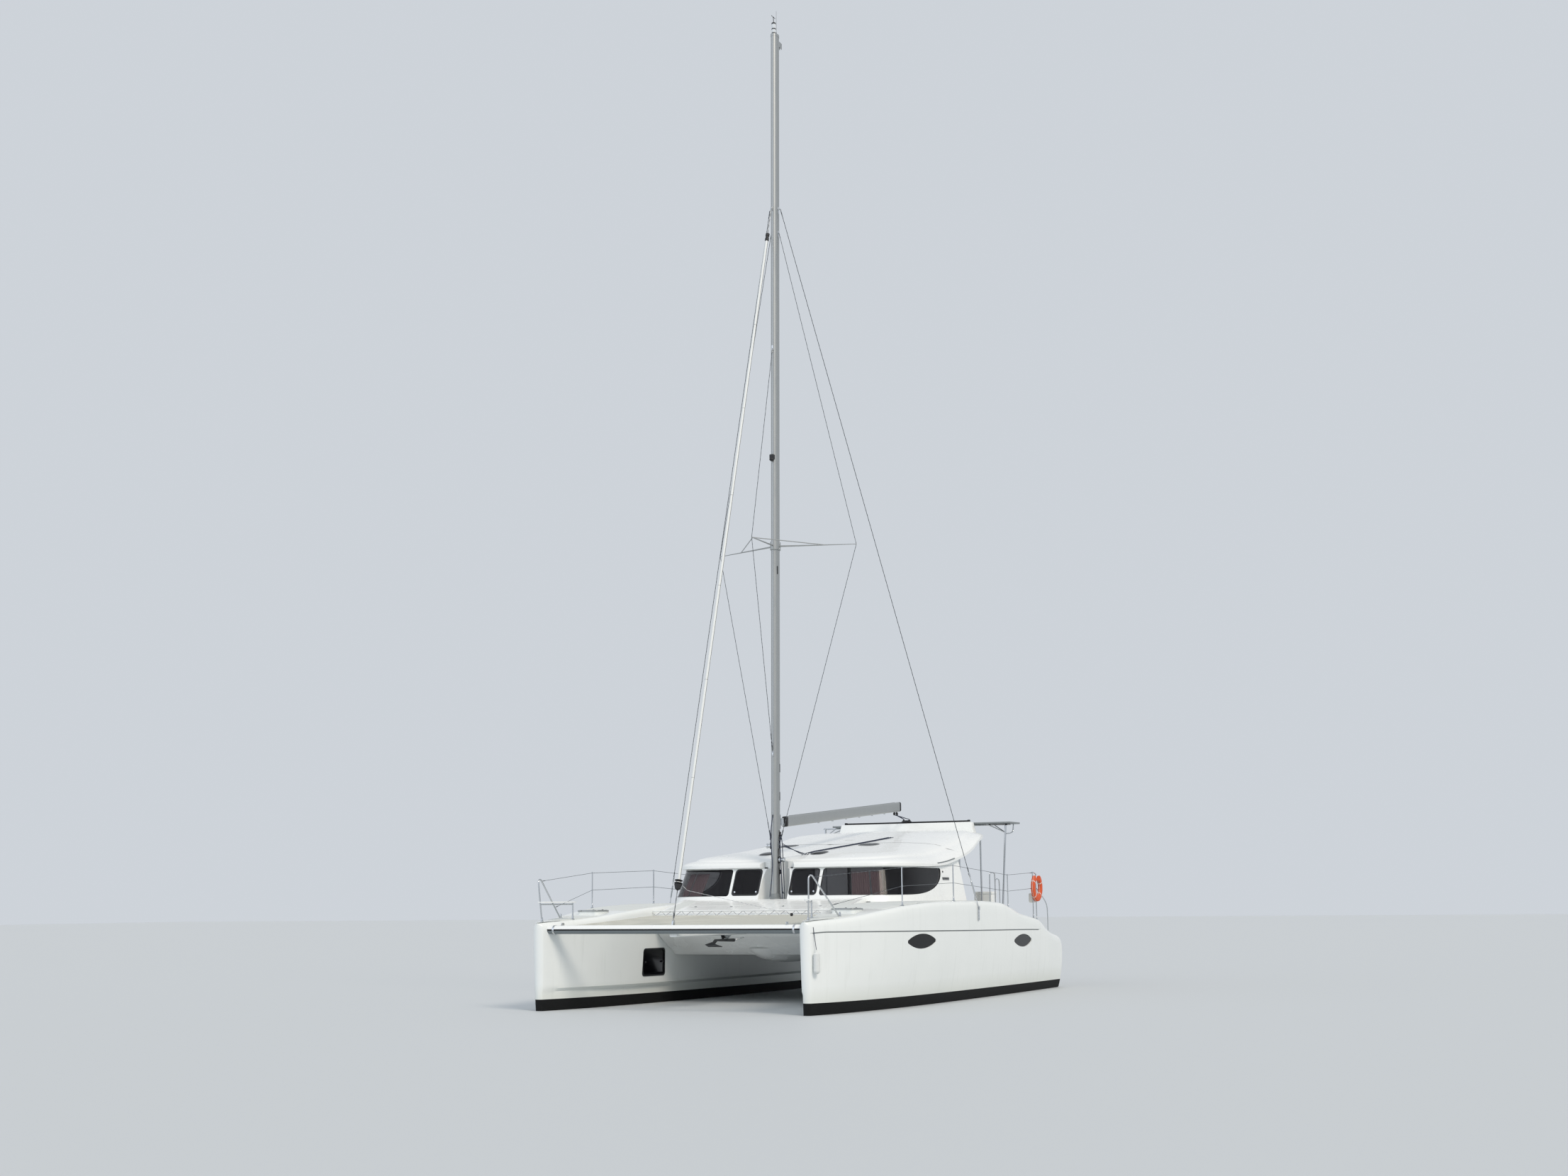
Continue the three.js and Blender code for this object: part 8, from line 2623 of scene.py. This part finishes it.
    def fender(self) -> None:
        """Ribbed inflated fender with its moulded eye and line."""
        profile = [(0.0, 0.0), (0.025, 0.004), (0.045, 0.02), (0.058, 0.036), (0.062, 0.06)]
        for k in range(9):
            h = 0.08 + 0.032 * k
            profile += [(0.062, h), (0.0605, h + 0.008), (0.0605, h + 0.012), (0.062, h + 0.02)]
        profile += [(0.062, 0.36), (0.05, 0.378), (0.03, 0.392), (0.02, 0.405), (0.016, 0.425), (0.012, 0.44)]
        body = lathe(profile, (6.43, 3.098, 0.75), (0, 0, 1), 28)
        eye = ring_of((6.43, 3.098, 1.178), (1, 0, 0), 0.014, 0.005, 20, 8)
        skin = moved(self.hull.body(), 0, 0.0006)
        bag = finished("fender_body", carved(body, (Cut.OFF, skin)), VINYL, replaces=["fender"])
        finished("fender_eye", eye, VINYL)
        finished("fender_lanyard",
                 tube([(6.43, 3.098, 1.17), (6.43, 3.06, 1.42), (6.43, 3.036, 1.6)], 0.006, 8),
                 NAVY_ROPE)


@dataclass
class SternArch:
    """Poles, cross tube and the framed solar panel over the aft beam."""

    low: tuple[float, float] = (-6.5, -2.1)
    high: tuple[float, float] = (-5.76, 2.6)
    z: float = 3.9

    def build(self, hulls: Sequence[Shape], bridge: Shape) -> None:
        """Make the arch and its panel.

        Args:
            hulls: The two hulls.
            bridge: The bridge deck.
        """
        bars = [tube([(-6.0, -2.45, 3.882), (-6.0, 2.54, 3.882)], 0.02, 16)]
        for side in (-1, 1):
            top, low = Vector((-6.0, side * 2.41, 3.882)), Vector((-5.82, side * 2.3, 1.1))
            cutters = [(Cut.OFF, hulls[0]), (Cut.OFF, hulls[1]), (Cut.OFF, bridge)]
            bars += [carved(tube([low, top], 0.024, 18), *cutters), ball(top, 0.027, 14)]
            bars += [tube([low.lerp(top, 0.93), (x, side * 2.0, 3.89)], 0.012, 12) for x in (-6.3, -5.8)]
        bars.append(bent([(-6.0, 2.42, 3.66), (-6.22, 2.46, 3.68), (-6.32, 2.48, 3.74), (-6.34, 2.49, 3.9)],
                         0.014, 6, 12))
        finished("arch_tubes", joined(bars), STAINLESS, replaces=["stern_arch"])
        (x0, y0), (x1, y1), z = self.low, self.high, self.z
        rim = carved(box((x0, y0, z), (x1, y1, z + 0.038), 0.003),
                     (Cut.OFF,
                      box((x0 + 0.028, y0 + 0.028, z + 0.031), (x1 - 0.028, y1 - 0.028, z + 0.1), 0)))
        finished("panel_frame", rim, CASTING_AND_GROOVE_SHADOW, slot="spar_aluminium")
        glass = box((x0 + 0.0285, y0 + 0.0285, z + 0.0312), (x1 - 0.0285, y1 - 0.0285, z + 0.035), 0.0005, 1)
        finished("panel_glass", glass, SOLAR)
        clamps = [box((-6.05, y - 0.02, 3.862), (-5.95, y + 0.02, 3.902), 0.004)
                  for y in (-1.9, -0.6, 0.7, 2.0, 2.43)]
        finished("panel_clamps", joined(clamps), BLACK_AND_FOIL_SHADE)


@dataclass
class Traveller:
    """Mainsheet track across the hardtop's plinth, with its car, blocks and end stops."""

    x: float = -5.55
    half: float = 1.66
    low: float = 3.945
    top: float = 3.987

    def build(self) -> None:
        """Make the track and what runs on it."""
        x, z0, z1 = self.x, self.low + 0.0006, self.top
        outline = filleted([(-0.023, z0), (0.023, z0), (0.023, z0 + 0.008), (0.01, z0 + 0.012),
                            (0.01, z1 - 0.014),
                            (0.018, z1 - 0.008), (0.018, z1), (-0.018, z1), (-0.018, z1 - 0.008),
                            (-0.01, z1 - 0.014), (-0.01, z0 + 0.012), (-0.023, z0 + 0.008)], 0.002, 2)
        track = moved(prism(outline, "y", -self.half, self.half), x)
        finished("traveller_track", track, BLACK_AND_FOIL_SHADE, replaces=["traveller"])
        car = [box((x - 0.058, -0.11, z1 - 0.018), (x + 0.058, 0.11, z1 + 0.02), 0.01, 3),
               box((x - 0.02, -0.05, z1 + 0.018), (x + 0.02, 0.05, z1 + 0.04), 0.006)]
        car += [pulley((x, y, z1 + 0.03), (1, 0, 0), 0.026) for y in (-0.075, 0.075)]
        car += [box((x - 0.03, y - 0.03, z0), (x + 0.03, y + 0.03, z1 + 0.012), 0.008) for y in (-1.63, 1.63)]
        finished("traveller_car", joined(car), BLACK_AND_FOIL_SHADE)
        studs("traveller_screws", line_of([(x, -1.58, z1 - 0.001), (x, 1.58, z1 - 0.001)]), 0.1, 0.004)


# Helm, seats and tables


@dataclass(frozen=True)
class Cushion:
    """A foam cushion between two corners, crowned on top and piped along its edge."""

    name: str
    low: tuple[float, float, float]
    high: tuple[float, float, float]

    def build(self) -> None:
        """Make the crowned body and its two rows of piping."""
        lo, hi = Vector(self.low), Vector(self.high)
        rows, columns = 26, 26
        size, thick = hi - lo, hi.z - lo.z

        def point(u: float, v: float, top: bool) -> Vector:
            """A point of the crowned upper face or of the lower one.

            Args:
                u: Share of the way along.
                v: Share of the way across.
                top: Whether the upper face is meant.

            Returns:
                The point.
            """
            edge = (1 - abs(2 * u - 1) ** 7) * (1 - abs(2 * v - 1) ** 7)
            pull = 0.006 * math.cos(math.pi * (v - 0.5)) * (2 * u - 1) ** 4 * (1 if u > 0.5 else -1)
            pull_y = 0.006 * math.cos(math.pi * (u - 0.5)) * (2 * v - 1) ** 4 * (1 if v > 0.5 else -1)
            x = lo.x + 0.006 + (size.x - 0.012) * u - pull * 0.5
            y = lo.y + 0.006 + (size.y - 0.012) * v - pull_y * 0.5
            if top:
                crown = 0.02 * edge * (0.6 + 0.4 * math.sin(math.pi * u) * math.sin(math.pi * v))
                z = hi.z - 0.02 - 0.35 * thick * (1 - edge) * 0.5 + crown
            else:
                z = lo.z + 0.12 * thick * (1 - edge)
            return Vector((x, y, z))

        points = [point(i / rows, j / columns, top) for top in (True, False)
                  for i in range(rows + 1) for j in range(columns + 1)]
        stride = columns + 1
        base = (rows + 1) * stride
        faces = []
        for i in range(rows):
            for j in range(columns):
                a = i * stride + j
                faces.append((a, a + stride, a + stride + 1, a + 1))
                faces.append((base + a, base + a + 1, base + a + stride + 1, base + a + stride))
        rim = [i * stride for i in range(rows)] + [rows * stride + j for j in range(columns)]
        rim += [i * stride + columns for i in range(rows, 0, -1)] + [j for j in range(columns, 0, -1)]
        for a, b in zip(rim, rim[1:] + rim[:1]):
            faces.append((a, b, base + b, base + a))
        thing = finished(self.name, (points, faces), COVER, angle=60)
        piping = []
        for offset in (0, base):
            line = [points[offset + k] for k in rim]
            piping.append(tube([*line, line[0]], 0.004, 6))
        finished(f"{self.name}_piping", joined(piping), WHITE_CLOTH)


@dataclass
class Furniture:
    """Settees, tables, galley and helm."""

    def build(self) -> None:
        """Make what stands in the saloon and the cockpit."""
        self.settees()
        self.tables()
        self.galley()
        self.helm()
        self.wheel()

    def settees(self) -> None:
        """Moulded plinths with separate seat cushions on them."""
        for node, blocks, top in (
            ("cockpit_settee", ((-5.6, -3.3, -2.0, -1.45), (-5.6, -5.05, -1.45, 0.3)), 1.64),
            ("saloon_settee", ((-0.9, 1.25, -1.98, -1.4), (0.75, 1.25, -1.4, 0.2)), 1.65),
        ):
            plinths, number = [], 0
            for x0, x1, y0, y1 in blocks:
                plinths.append(box((x0 + 0.01, y0 + 0.001, FLOOR_Z + 0.001),
                                   (x1 - 0.01, y1 - 0.01, top - 0.1), 0.02, 3))
                count = max(1, round(max(x1 - x0, y1 - y0) / 0.85))
                for k in range(count):
                    a, b = k / count, (k + 1) / count
                    if x1 - x0 > y1 - y0:
                        low = (lerp(x0, x1, a) + 0.003, y0 + 0.01, top - 0.1)
                        high = (lerp(x0, x1, b) - 0.003, y1, top)
                    else:
                        low = (x0, lerp(y0, y1, a) + 0.003, top - 0.1)
                        high = (x1, lerp(y0, y1, b) - 0.003, top)
                    number += 1
                    Cushion(f"{node}_cushion_{number}", low, high).build()
            finished(f"{node}_plinth", joined(plinths), GELCOAT, replaces=[node])

    def tables(self) -> None:
        """Table tops with bevelled edges and a groove across the middle, each on a turned column and a square
        foot.
        """
        for node, x0, x1, y0, y1, column, y in (("cockpit_table", -4.75, -3.75, -1.15, -0.35, -4.25, -0.75),
                                                ("saloon_table", -0.6, 0.5, -1.15, -0.45, -0.05, -0.8)):
            middle = (x0 + x1) / 2
            groove = box((middle - 0.002, y0 - 0.1, 1.944), (middle + 0.002, y1 + 0.1, 1.96), 0)
            top = carved(prism(rounded(x0, x1, y0, y1, 0.09), "z", 1.911, 1.949, 0.008), (Cut.OFF, groove))
            finished(f"{node}_top", top, TEAK, replaces=[node])
            leg = lathe([(0.14, 0.0), (0.14, 0.01), (0.055, 0.03), (0.045, 0.06), (0.045, 0.6), (0.07, 0.64),
                         (0.12, 0.66), (0.12, 0.672)], (column, y, FLOOR_Z + 0.02), (0, 0, 1), 32)
            base = prism(rounded(column - 0.2, column + 0.2, y - 0.2, y + 0.2, 0.05), "z", FLOOR_Z + 0.001,
                         FLOOR_Z + 0.021, 0.005)
            finished(f"{node}_column", joined([leg, base]), STAINLESS)

    def galley(self) -> None:
        """Counter with doors, worktop, sink and hob."""
        body = box((-1.7, 1.352, FLOOR_Z + 0.001), (1.2, 1.979, 2.08), 0.01)
        doors = [box((-1.66 + 0.48 * k, 1.345, 1.3), (-1.23 + 0.48 * k, 1.36, 2.0), 0.008) for k in range(6)]
        finished("galley_cabinet", joined([body, *doors]), GELCOAT, replaces=["galley"])
        top = carved(box((-1.7, 1.35, 2.08), (1.2, 1.98, 2.12), 0.008),
                     (Cut.OFF, box((-0.9, 1.48, 2.09), (-0.4, 1.86, 2.3), 0.03)))
        finished("galley_worktop", top, CASTING_AND_GROOVE_SHADOW, slot="stainless")
        rings = [lathe([(0.075, 0), (0.08, 0.006), (0.06, 0.01), (0.02, 0.008), (0.0, 0.008)], (x, y, 2.114),
                       (0, 0, 1), 28) for x, y in ((0.25, 1.55), (0.25, 1.8), (0.6, 1.55), (0.6, 1.8))]
        tap = bent([(-0.65, 1.9, 2.11), (-0.65, 1.9, 2.2), (-0.65, 1.86, 2.235), (-0.65, 1.78, 2.22)], 0.01,
                   8, 12)
        finished("galley_fittings", joined([*rings, tap]), STAINLESS)

    def helm(self) -> None:
        """Raked console with dials and throttle, the wheel's shaft, and the padded seat on its locker."""
        profile = filleted([(-2.11, 1.221), (-2.40, 1.221), (-2.38, 2.25), (-2.11, 2.40)], 0.025)
        body = prism(profile, "y", 1.371, 1.979, 0.012)
        finished("helm_pedestal", body, GELCOAT, replaces=["helm_console"])
        axle = tube([(-2.3, 1.7, 2.15), (-2.5, 1.7, 2.15)], 0.0118, 18)
        boss = lathe([(0.06, 0), (0.055, 0.02), (0.04, 0.03), (0.014, 0.032)], (-2.379, 1.7, 2.15),
                     (-1, 0, 0), 28)
        finished("wheel_shaft", joined([axle, boss]), STAINLESS)
        tilt = Vector((0.27, 0, 0.15)).normalized()
        face = Vector((-0.15, 0, 0.27)).normalized()
        dials = []
        for a, y in ((0.1, 1.5), (0.1, 1.64), (0.1, 1.86), (0.2, 1.5)):
            at = Vector((-2.38, y, 2.25)) + tilt * a + face * -0.004
            dials.append(lathe([(0.05, 0), (0.05, 0.012), (0.043, 0.015), (0.041, 0.009), (0.0, 0.009)], at,
                               face, 28))
        lever = [tube([Vector((-2.3, 1.93, 2.3)), Vector((-2.32, 1.93, 2.42))], 0.008, 10),
                 ball((-2.321, 1.93, 2.43), 0.018, 14)]
        finished("helm_dials", joined([*dials, *lever]), BLACK_AND_FOIL_SHADE)
        locker = box((-3.345, 1.355, FLOOR_Z + 0.001), (-2.955, 1.979, 1.8), 0.02, 3)
        finished("helm_locker", locker, GELCOAT, replaces=["helm_seat"])
        Cushion("helm_cushion", (-3.35, 1.35, 1.8), (-2.95, 1.98, 1.9)).build()

    def wheel(self) -> None:
        """Leather-bound rim, round spokes and hub, turning on the shaft."""
        at = Vector((-2.462, 1.7, 2.15))
        rim = ring_of(at, (1, 0, 0), 0.33, 0.0135, 64, 14)
        spokes = [tube([at + Vector((0, s, c)) * 0.03, at + Vector((0, s, c)) * 0.328], 0.0078, 12)
                  for c, s in (on_circle(k, 5) for k in range(5))]
        hub = lathe([(0.013, -0.026), (0.03, -0.026), (0.045, -0.018), (0.045, 0.012), (0.034, 0.024),
                     (0.013, 0.026)], at, (-1, 0, 0), 32)
        bore = tube([at + Vector((-0.1, 0, 0)), at + Vector((0.1, 0, 0))], 0.0127, 24)
        finished("wheel_spokes", joined([carved(hub, (Cut.OFF, bore)), *spokes]), STAINLESS, "wheel",
                 replaces=["steering_wheel"])
        finished("wheel_rim", rim, BLACK_AND_FOIL_SHADE, "wheel")
        finished("rim_stitching", ring_of(at, (1, 0, 0), 0.3162, 0.0016, 64, 6), WHITE_CLOTH, "wheel")


# Under water


@dataclass
class Appendages:
    """Keels, rudders, saildrives, propellers and the two engines."""

    keel_rows: tuple[tuple[float, float, float, float], ...] = (
        (1.75, 2.7, 0.3, -0.3), (1.6, 2.35, 0.25, -0.9), (1.4, 1.95, 0.21, -1.24), (1.33, 1.81, 0.15, -1.3),
    )
    rudder_rows: tuple[tuple[float, float, float, float], ...] = (
        (-5.37, 0.46, 0.064, -0.285), (-5.385, 0.41, 0.052, -0.76), (-5.41, 0.33, 0.036, -1.13),
    )
    leg_rows: tuple[tuple[float, float, float, float], ...] = (
        (-4.02, 0.41, 0.12, -0.2), (-4.08, 0.29, 0.09, -0.52), (-4.08, 0.29, 0.09, -0.98),
    )

    def foil(self, lead: float, chord: float, thick: float, z: float) -> list[Vector]:
        """One streamlined section, round at the nose and blunt at the tail.

        Args:
            lead: Place of the nose along the boat.
            chord: From nose to tail.
            thick: Greatest thickness.
            z: Height of the section.

        Returns:
            The section's points.
        """
        half = [(0.0, 0.0), (0.008, 0.25), (0.03, 0.45), (0.07, 0.65), (0.12, 0.82), (0.2, 0.95), (0.33, 1.0),
                (0.48, 0.9), (0.62, 0.72), (0.75, 0.5), (0.85, 0.32), (0.94, 0.15), (1.0, 0.05)]
        upper = [Vector((lead - chord * back, HULL_Y + 0.5 * thick * share, z)) for back, share in half]
        lower = [Vector((p.x, 2 * HULL_Y - p.y, z)) for p in upper[:0:-1]]
        return [*upper, *lower]

    def blade(self, rows: Sequence[Sequence[float]], rounding: float, cuts: int = 6) -> Shape:
        """A fin through the rows, its tip rounded over.

        Args:
            rows: Nose, chord, thickness and height of each section.
            rounding: How far the tip is drawn in.
            cuts: Sections from row to row.

        Returns:
            The closed fin.
        """
        rings = []
        for a, b in zip(rows, rows[1:]):
            rings += [self.foil(*(lerp(p, q, k / cuts) for p, q in zip(a, b))) for k in range(cuts)]
        lead, chord, thick, z = rows[-1]
        rings.append(self.foil(lead, chord, thick, z + (0.001 if rounding else 0.0)))
        for k in (0.6, 0.9, 1.0) if rounding else ():
            shrink = rounding * (1 - math.sqrt(1 - k * k * 0.99))
            rings.append(self.foil(lead - shrink, chord - 2 * shrink, thick * (1 - 0.8 * k * k),
                                   z - 0.004 * k))
        return loft(rings)

    def build(self) -> None:
        """Make both sides."""
        keel = self.blade(self.keel_rows, 0.02)
        rudder = self.blade(self.rudder_rows, 0.012)
        stock = tube([(-5.48, HULL_Y, -0.35), (-5.48, HULL_Y, 0.058)], 0.0237, 28)
        rudder = carved(stock, (Cut.JOIN, rudder))
        leg = self.blade(self.leg_rows, 0.0, 4)
        pod = lathe([(0.012, 0), (0.03, 0.012), (0.052, 0.045), (0.066, 0.09), (0.0675, 0.12), (0.066, 0.3),
                     (0.062, 0.45), (0.06, 0.54), (0.014, 0.541), (0.014, 0.76)], (-3.94, HULL_Y, -0.86),
                    (-1, 0, 0), 32)
        drive = carved(leg, (Cut.JOIN, pod))
        hub, blades = self.propeller()
        for side in Side:
            label = side.label
            finished(f"keel_fin_{label}", to_side(keel, side), ANTIFOULING, replaces=[f"keel_{label}"])
            finished(f"rudder_blade_{label}", to_side(rudder, side), ANTIFOULING, f"rudder_{label}",
                     replaces=[f"rudder_{label}"])
            finished(f"drive_leg_{label}", to_side(drive, side), ENAMEL_AND_BEAM_SHADE, replaces=[f"saildrive_{label}"])
            finished(f"propeller_hub_{label}", to_side(hub, side), BRONZE, f"propeller_{label}",
                     replaces=[f"propeller_{label}"])
            finished(f"propeller_blades_{label}", to_side(blades, side), BRONZE, f"propeller_{label}")
            self.engine(side)

    def propeller(self) -> tuple[Shape, Shape]:
        """Turned hub with its nut and three twisted blades.

        Returns:
            The hub with its nut, and the blades.
        """
        at = Vector((-4.62, HULL_Y, -0.86))
        bore = tube([at + Vector((0.2, 0, 0)), at + Vector((-0.2, 0, 0))], 0.0148, 24)
        hub = carved(lathe([(0.045, -0.055), (0.052, -0.05), (0.052, -0.03), (0.048, 0.02), (0.042, 0.05),
                            (0.03, 0.055)], at, (-1, 0, 0), 32), (Cut.OFF, bore))
        blades = []
        rows = ((0.03, 0.07, 0.016, 0.95), (0.095, 0.118, 0.012, 0.72), (0.165, 0.128, 0.009, 0.55),
                (0.225, 0.06, 0.006, 0.45))
        for number in range(3):
            turn = math.tau * number / 3
            rings = []
            for k in range(13):
                reach = lerp(0.04, 0.2245, k / 12)
                width = smooth_table(rows, reach, 1) * (1.0 if k < 12 else 0.8)
                thick, twist = smooth_table(rows, reach, 2), smooth_table(rows, reach, 3)
                ring = []
                for j in range(16):
                    t = math.tau * j / 16
                    chord, depth = width / 2 * math.cos(t), thick / 2 * math.sin(t)
                    ahead = 0.6 * (chord * math.sin(twist) + depth * math.cos(twist))
                    across = chord * math.cos(twist) - depth * math.sin(twist)
                    bend = across / max(reach, 0.05)
                    ring.append(at + Vector((ahead, reach * math.sin(turn + bend),
                                             reach * math.cos(turn + bend))))
                rings.append(ring)
            blades.append(loft(rings))
        return hub, joined(blades)

    def engine(self, side: Side) -> None:
        """The diesel in its bay as one plain block with sump, rocker cover, pulley and mounts.

        Args:
            side: Port or starboard.
        """
        parts = [box((-4.54, 2.70, 0.0), (-3.97, 3.10, 0.38), 0.03, 3),
                 box((-4.46, 2.78, 0.37), (-4.05, 3.02, 0.549), 0.03, 3),
                 box((-4.45, 2.76, -0.05), (-4.05, 3.04, 0.02), 0.02),
                 lathe([(0.07, 0), (0.07, 0.01), (0.055, 0.012), (0.055, 0.02), (0.07, 0.024), (0.07, 0.03)],
                       (-3.992, 2.9, 0.15), (1, 0, 0), 28)]
        parts += [box((x - 0.04, y, 0.05), (x + 0.04, y + 0.05, 0.09), 0.006)
                  for x in (-4.4, -4.1) for y in (2.686, 3.064)]
        finished(f"engine_block_{side.label}", to_side(joined(parts), side), ENGINE,
                 replaces=[f"engine_{side.label}"])


# Camera and light


def place_camera() -> None:
    """Put the camera where the photograph was taken from."""
    pitch, roll, yaw = (math.radians(a) for a in (9.01, -0.53, 25.82))
    ahead = Vector((-math.cos(yaw) * math.cos(pitch), -math.sin(yaw) * math.cos(pitch), math.sin(pitch)))
    level = ahead.cross(Vector((0, 0, 1))).normalized()
    above = level.cross(ahead)
    right = level * math.cos(roll) + above * math.sin(roll)
    up = above * math.cos(roll) - level * math.sin(roll)
    view = Matrix((right, up, -ahead)).transposed().to_4x4()
    view.translation = Vector((40.01, 18.75, 2.05))
    data = bpy.data.cameras.new("photograph_view")
    focal_px, width_px = 2800.0, 2212.0
    data.sensor_width = 36.0
    data.lens = data.sensor_width * focal_px / width_px
    data.clip_end = 400.0
    camera = bpy.data.objects.new("photograph_view", data)
    camera.matrix_world = view
    bpy.context.scene.collection.objects.link(camera)
    bpy.context.scene.camera = camera


def light_studio() -> None:
    """A pale floor at the waterline, a soft sky and two large lamps."""
    bpy.ops.mesh.primitive_plane_add(size=400.0, location=(0, 0, 0))
    floor = bpy.context.object
    floor.name = "floor"
    pale = bpy.data.materials.new("pale_floor")
    pale.use_nodes = True
    pale.node_tree.nodes["Principled BSDF"].inputs["Base Color"].default_value = linear("#c9cdcf")
    pale.node_tree.nodes["Principled BSDF"].inputs["Roughness"].default_value = 0.6
    floor.data.materials.append(pale)
    world = bpy.data.worlds.new("soft_sky")
    world.use_nodes = True
    back = world.node_tree.nodes["Background"]
    back.inputs["Color"].default_value = linear("#e3e9f0")
    back.inputs["Strength"].default_value = 0.8
    bpy.context.scene.world = world
    for name, place, angle, power, colour in (
        ("key_lamp", (10, 16, 17), 18.0, 1.55, "#fff4e6"),
        ("fill_lamp", (20, -14, 9), 60.0, 0.5, "#e8f0ff"),
    ):
        data = bpy.data.lights.new(name, "SUN")
        data.angle = math.radians(angle)
        data.energy = power
        data.color = linear(colour)[:3]
        lamp = bpy.data.objects.new(name, data)
        lamp.location = place
        lamp.rotation_euler = (-Vector(place)).to_track_quat("-Z", "Y").to_euler()
        bpy.context.scene.collection.objects.link(lamp)
    bpy.context.scene.view_settings.view_transform = "Standard"


def main() -> None:
    """Build every sub-assembly in order."""
    logging.basicConfig(level=logging.INFO, format="%(message)s")
    place_camera()
    bare = Hull(Side.PORT).body()
    hulls = (bare, to_side(bare, Side.STARBOARD))
    for side in Side:
        Hull(side).build()
    bridge = BridgeDeck().build(hulls)
    house = Deckhouse()
    house.build(hulls, bridge)
    Rig(house).build()
    hull = Hull(Side.PORT)
    ForwardBeam(hull).build()
    Rails(hull).build()
    SternArch().build(hulls, bridge)
    Traveller().build()
    Furniture().build()
    Appendages().build()
    light_studio()


if __name__ == "__main__":
    main()
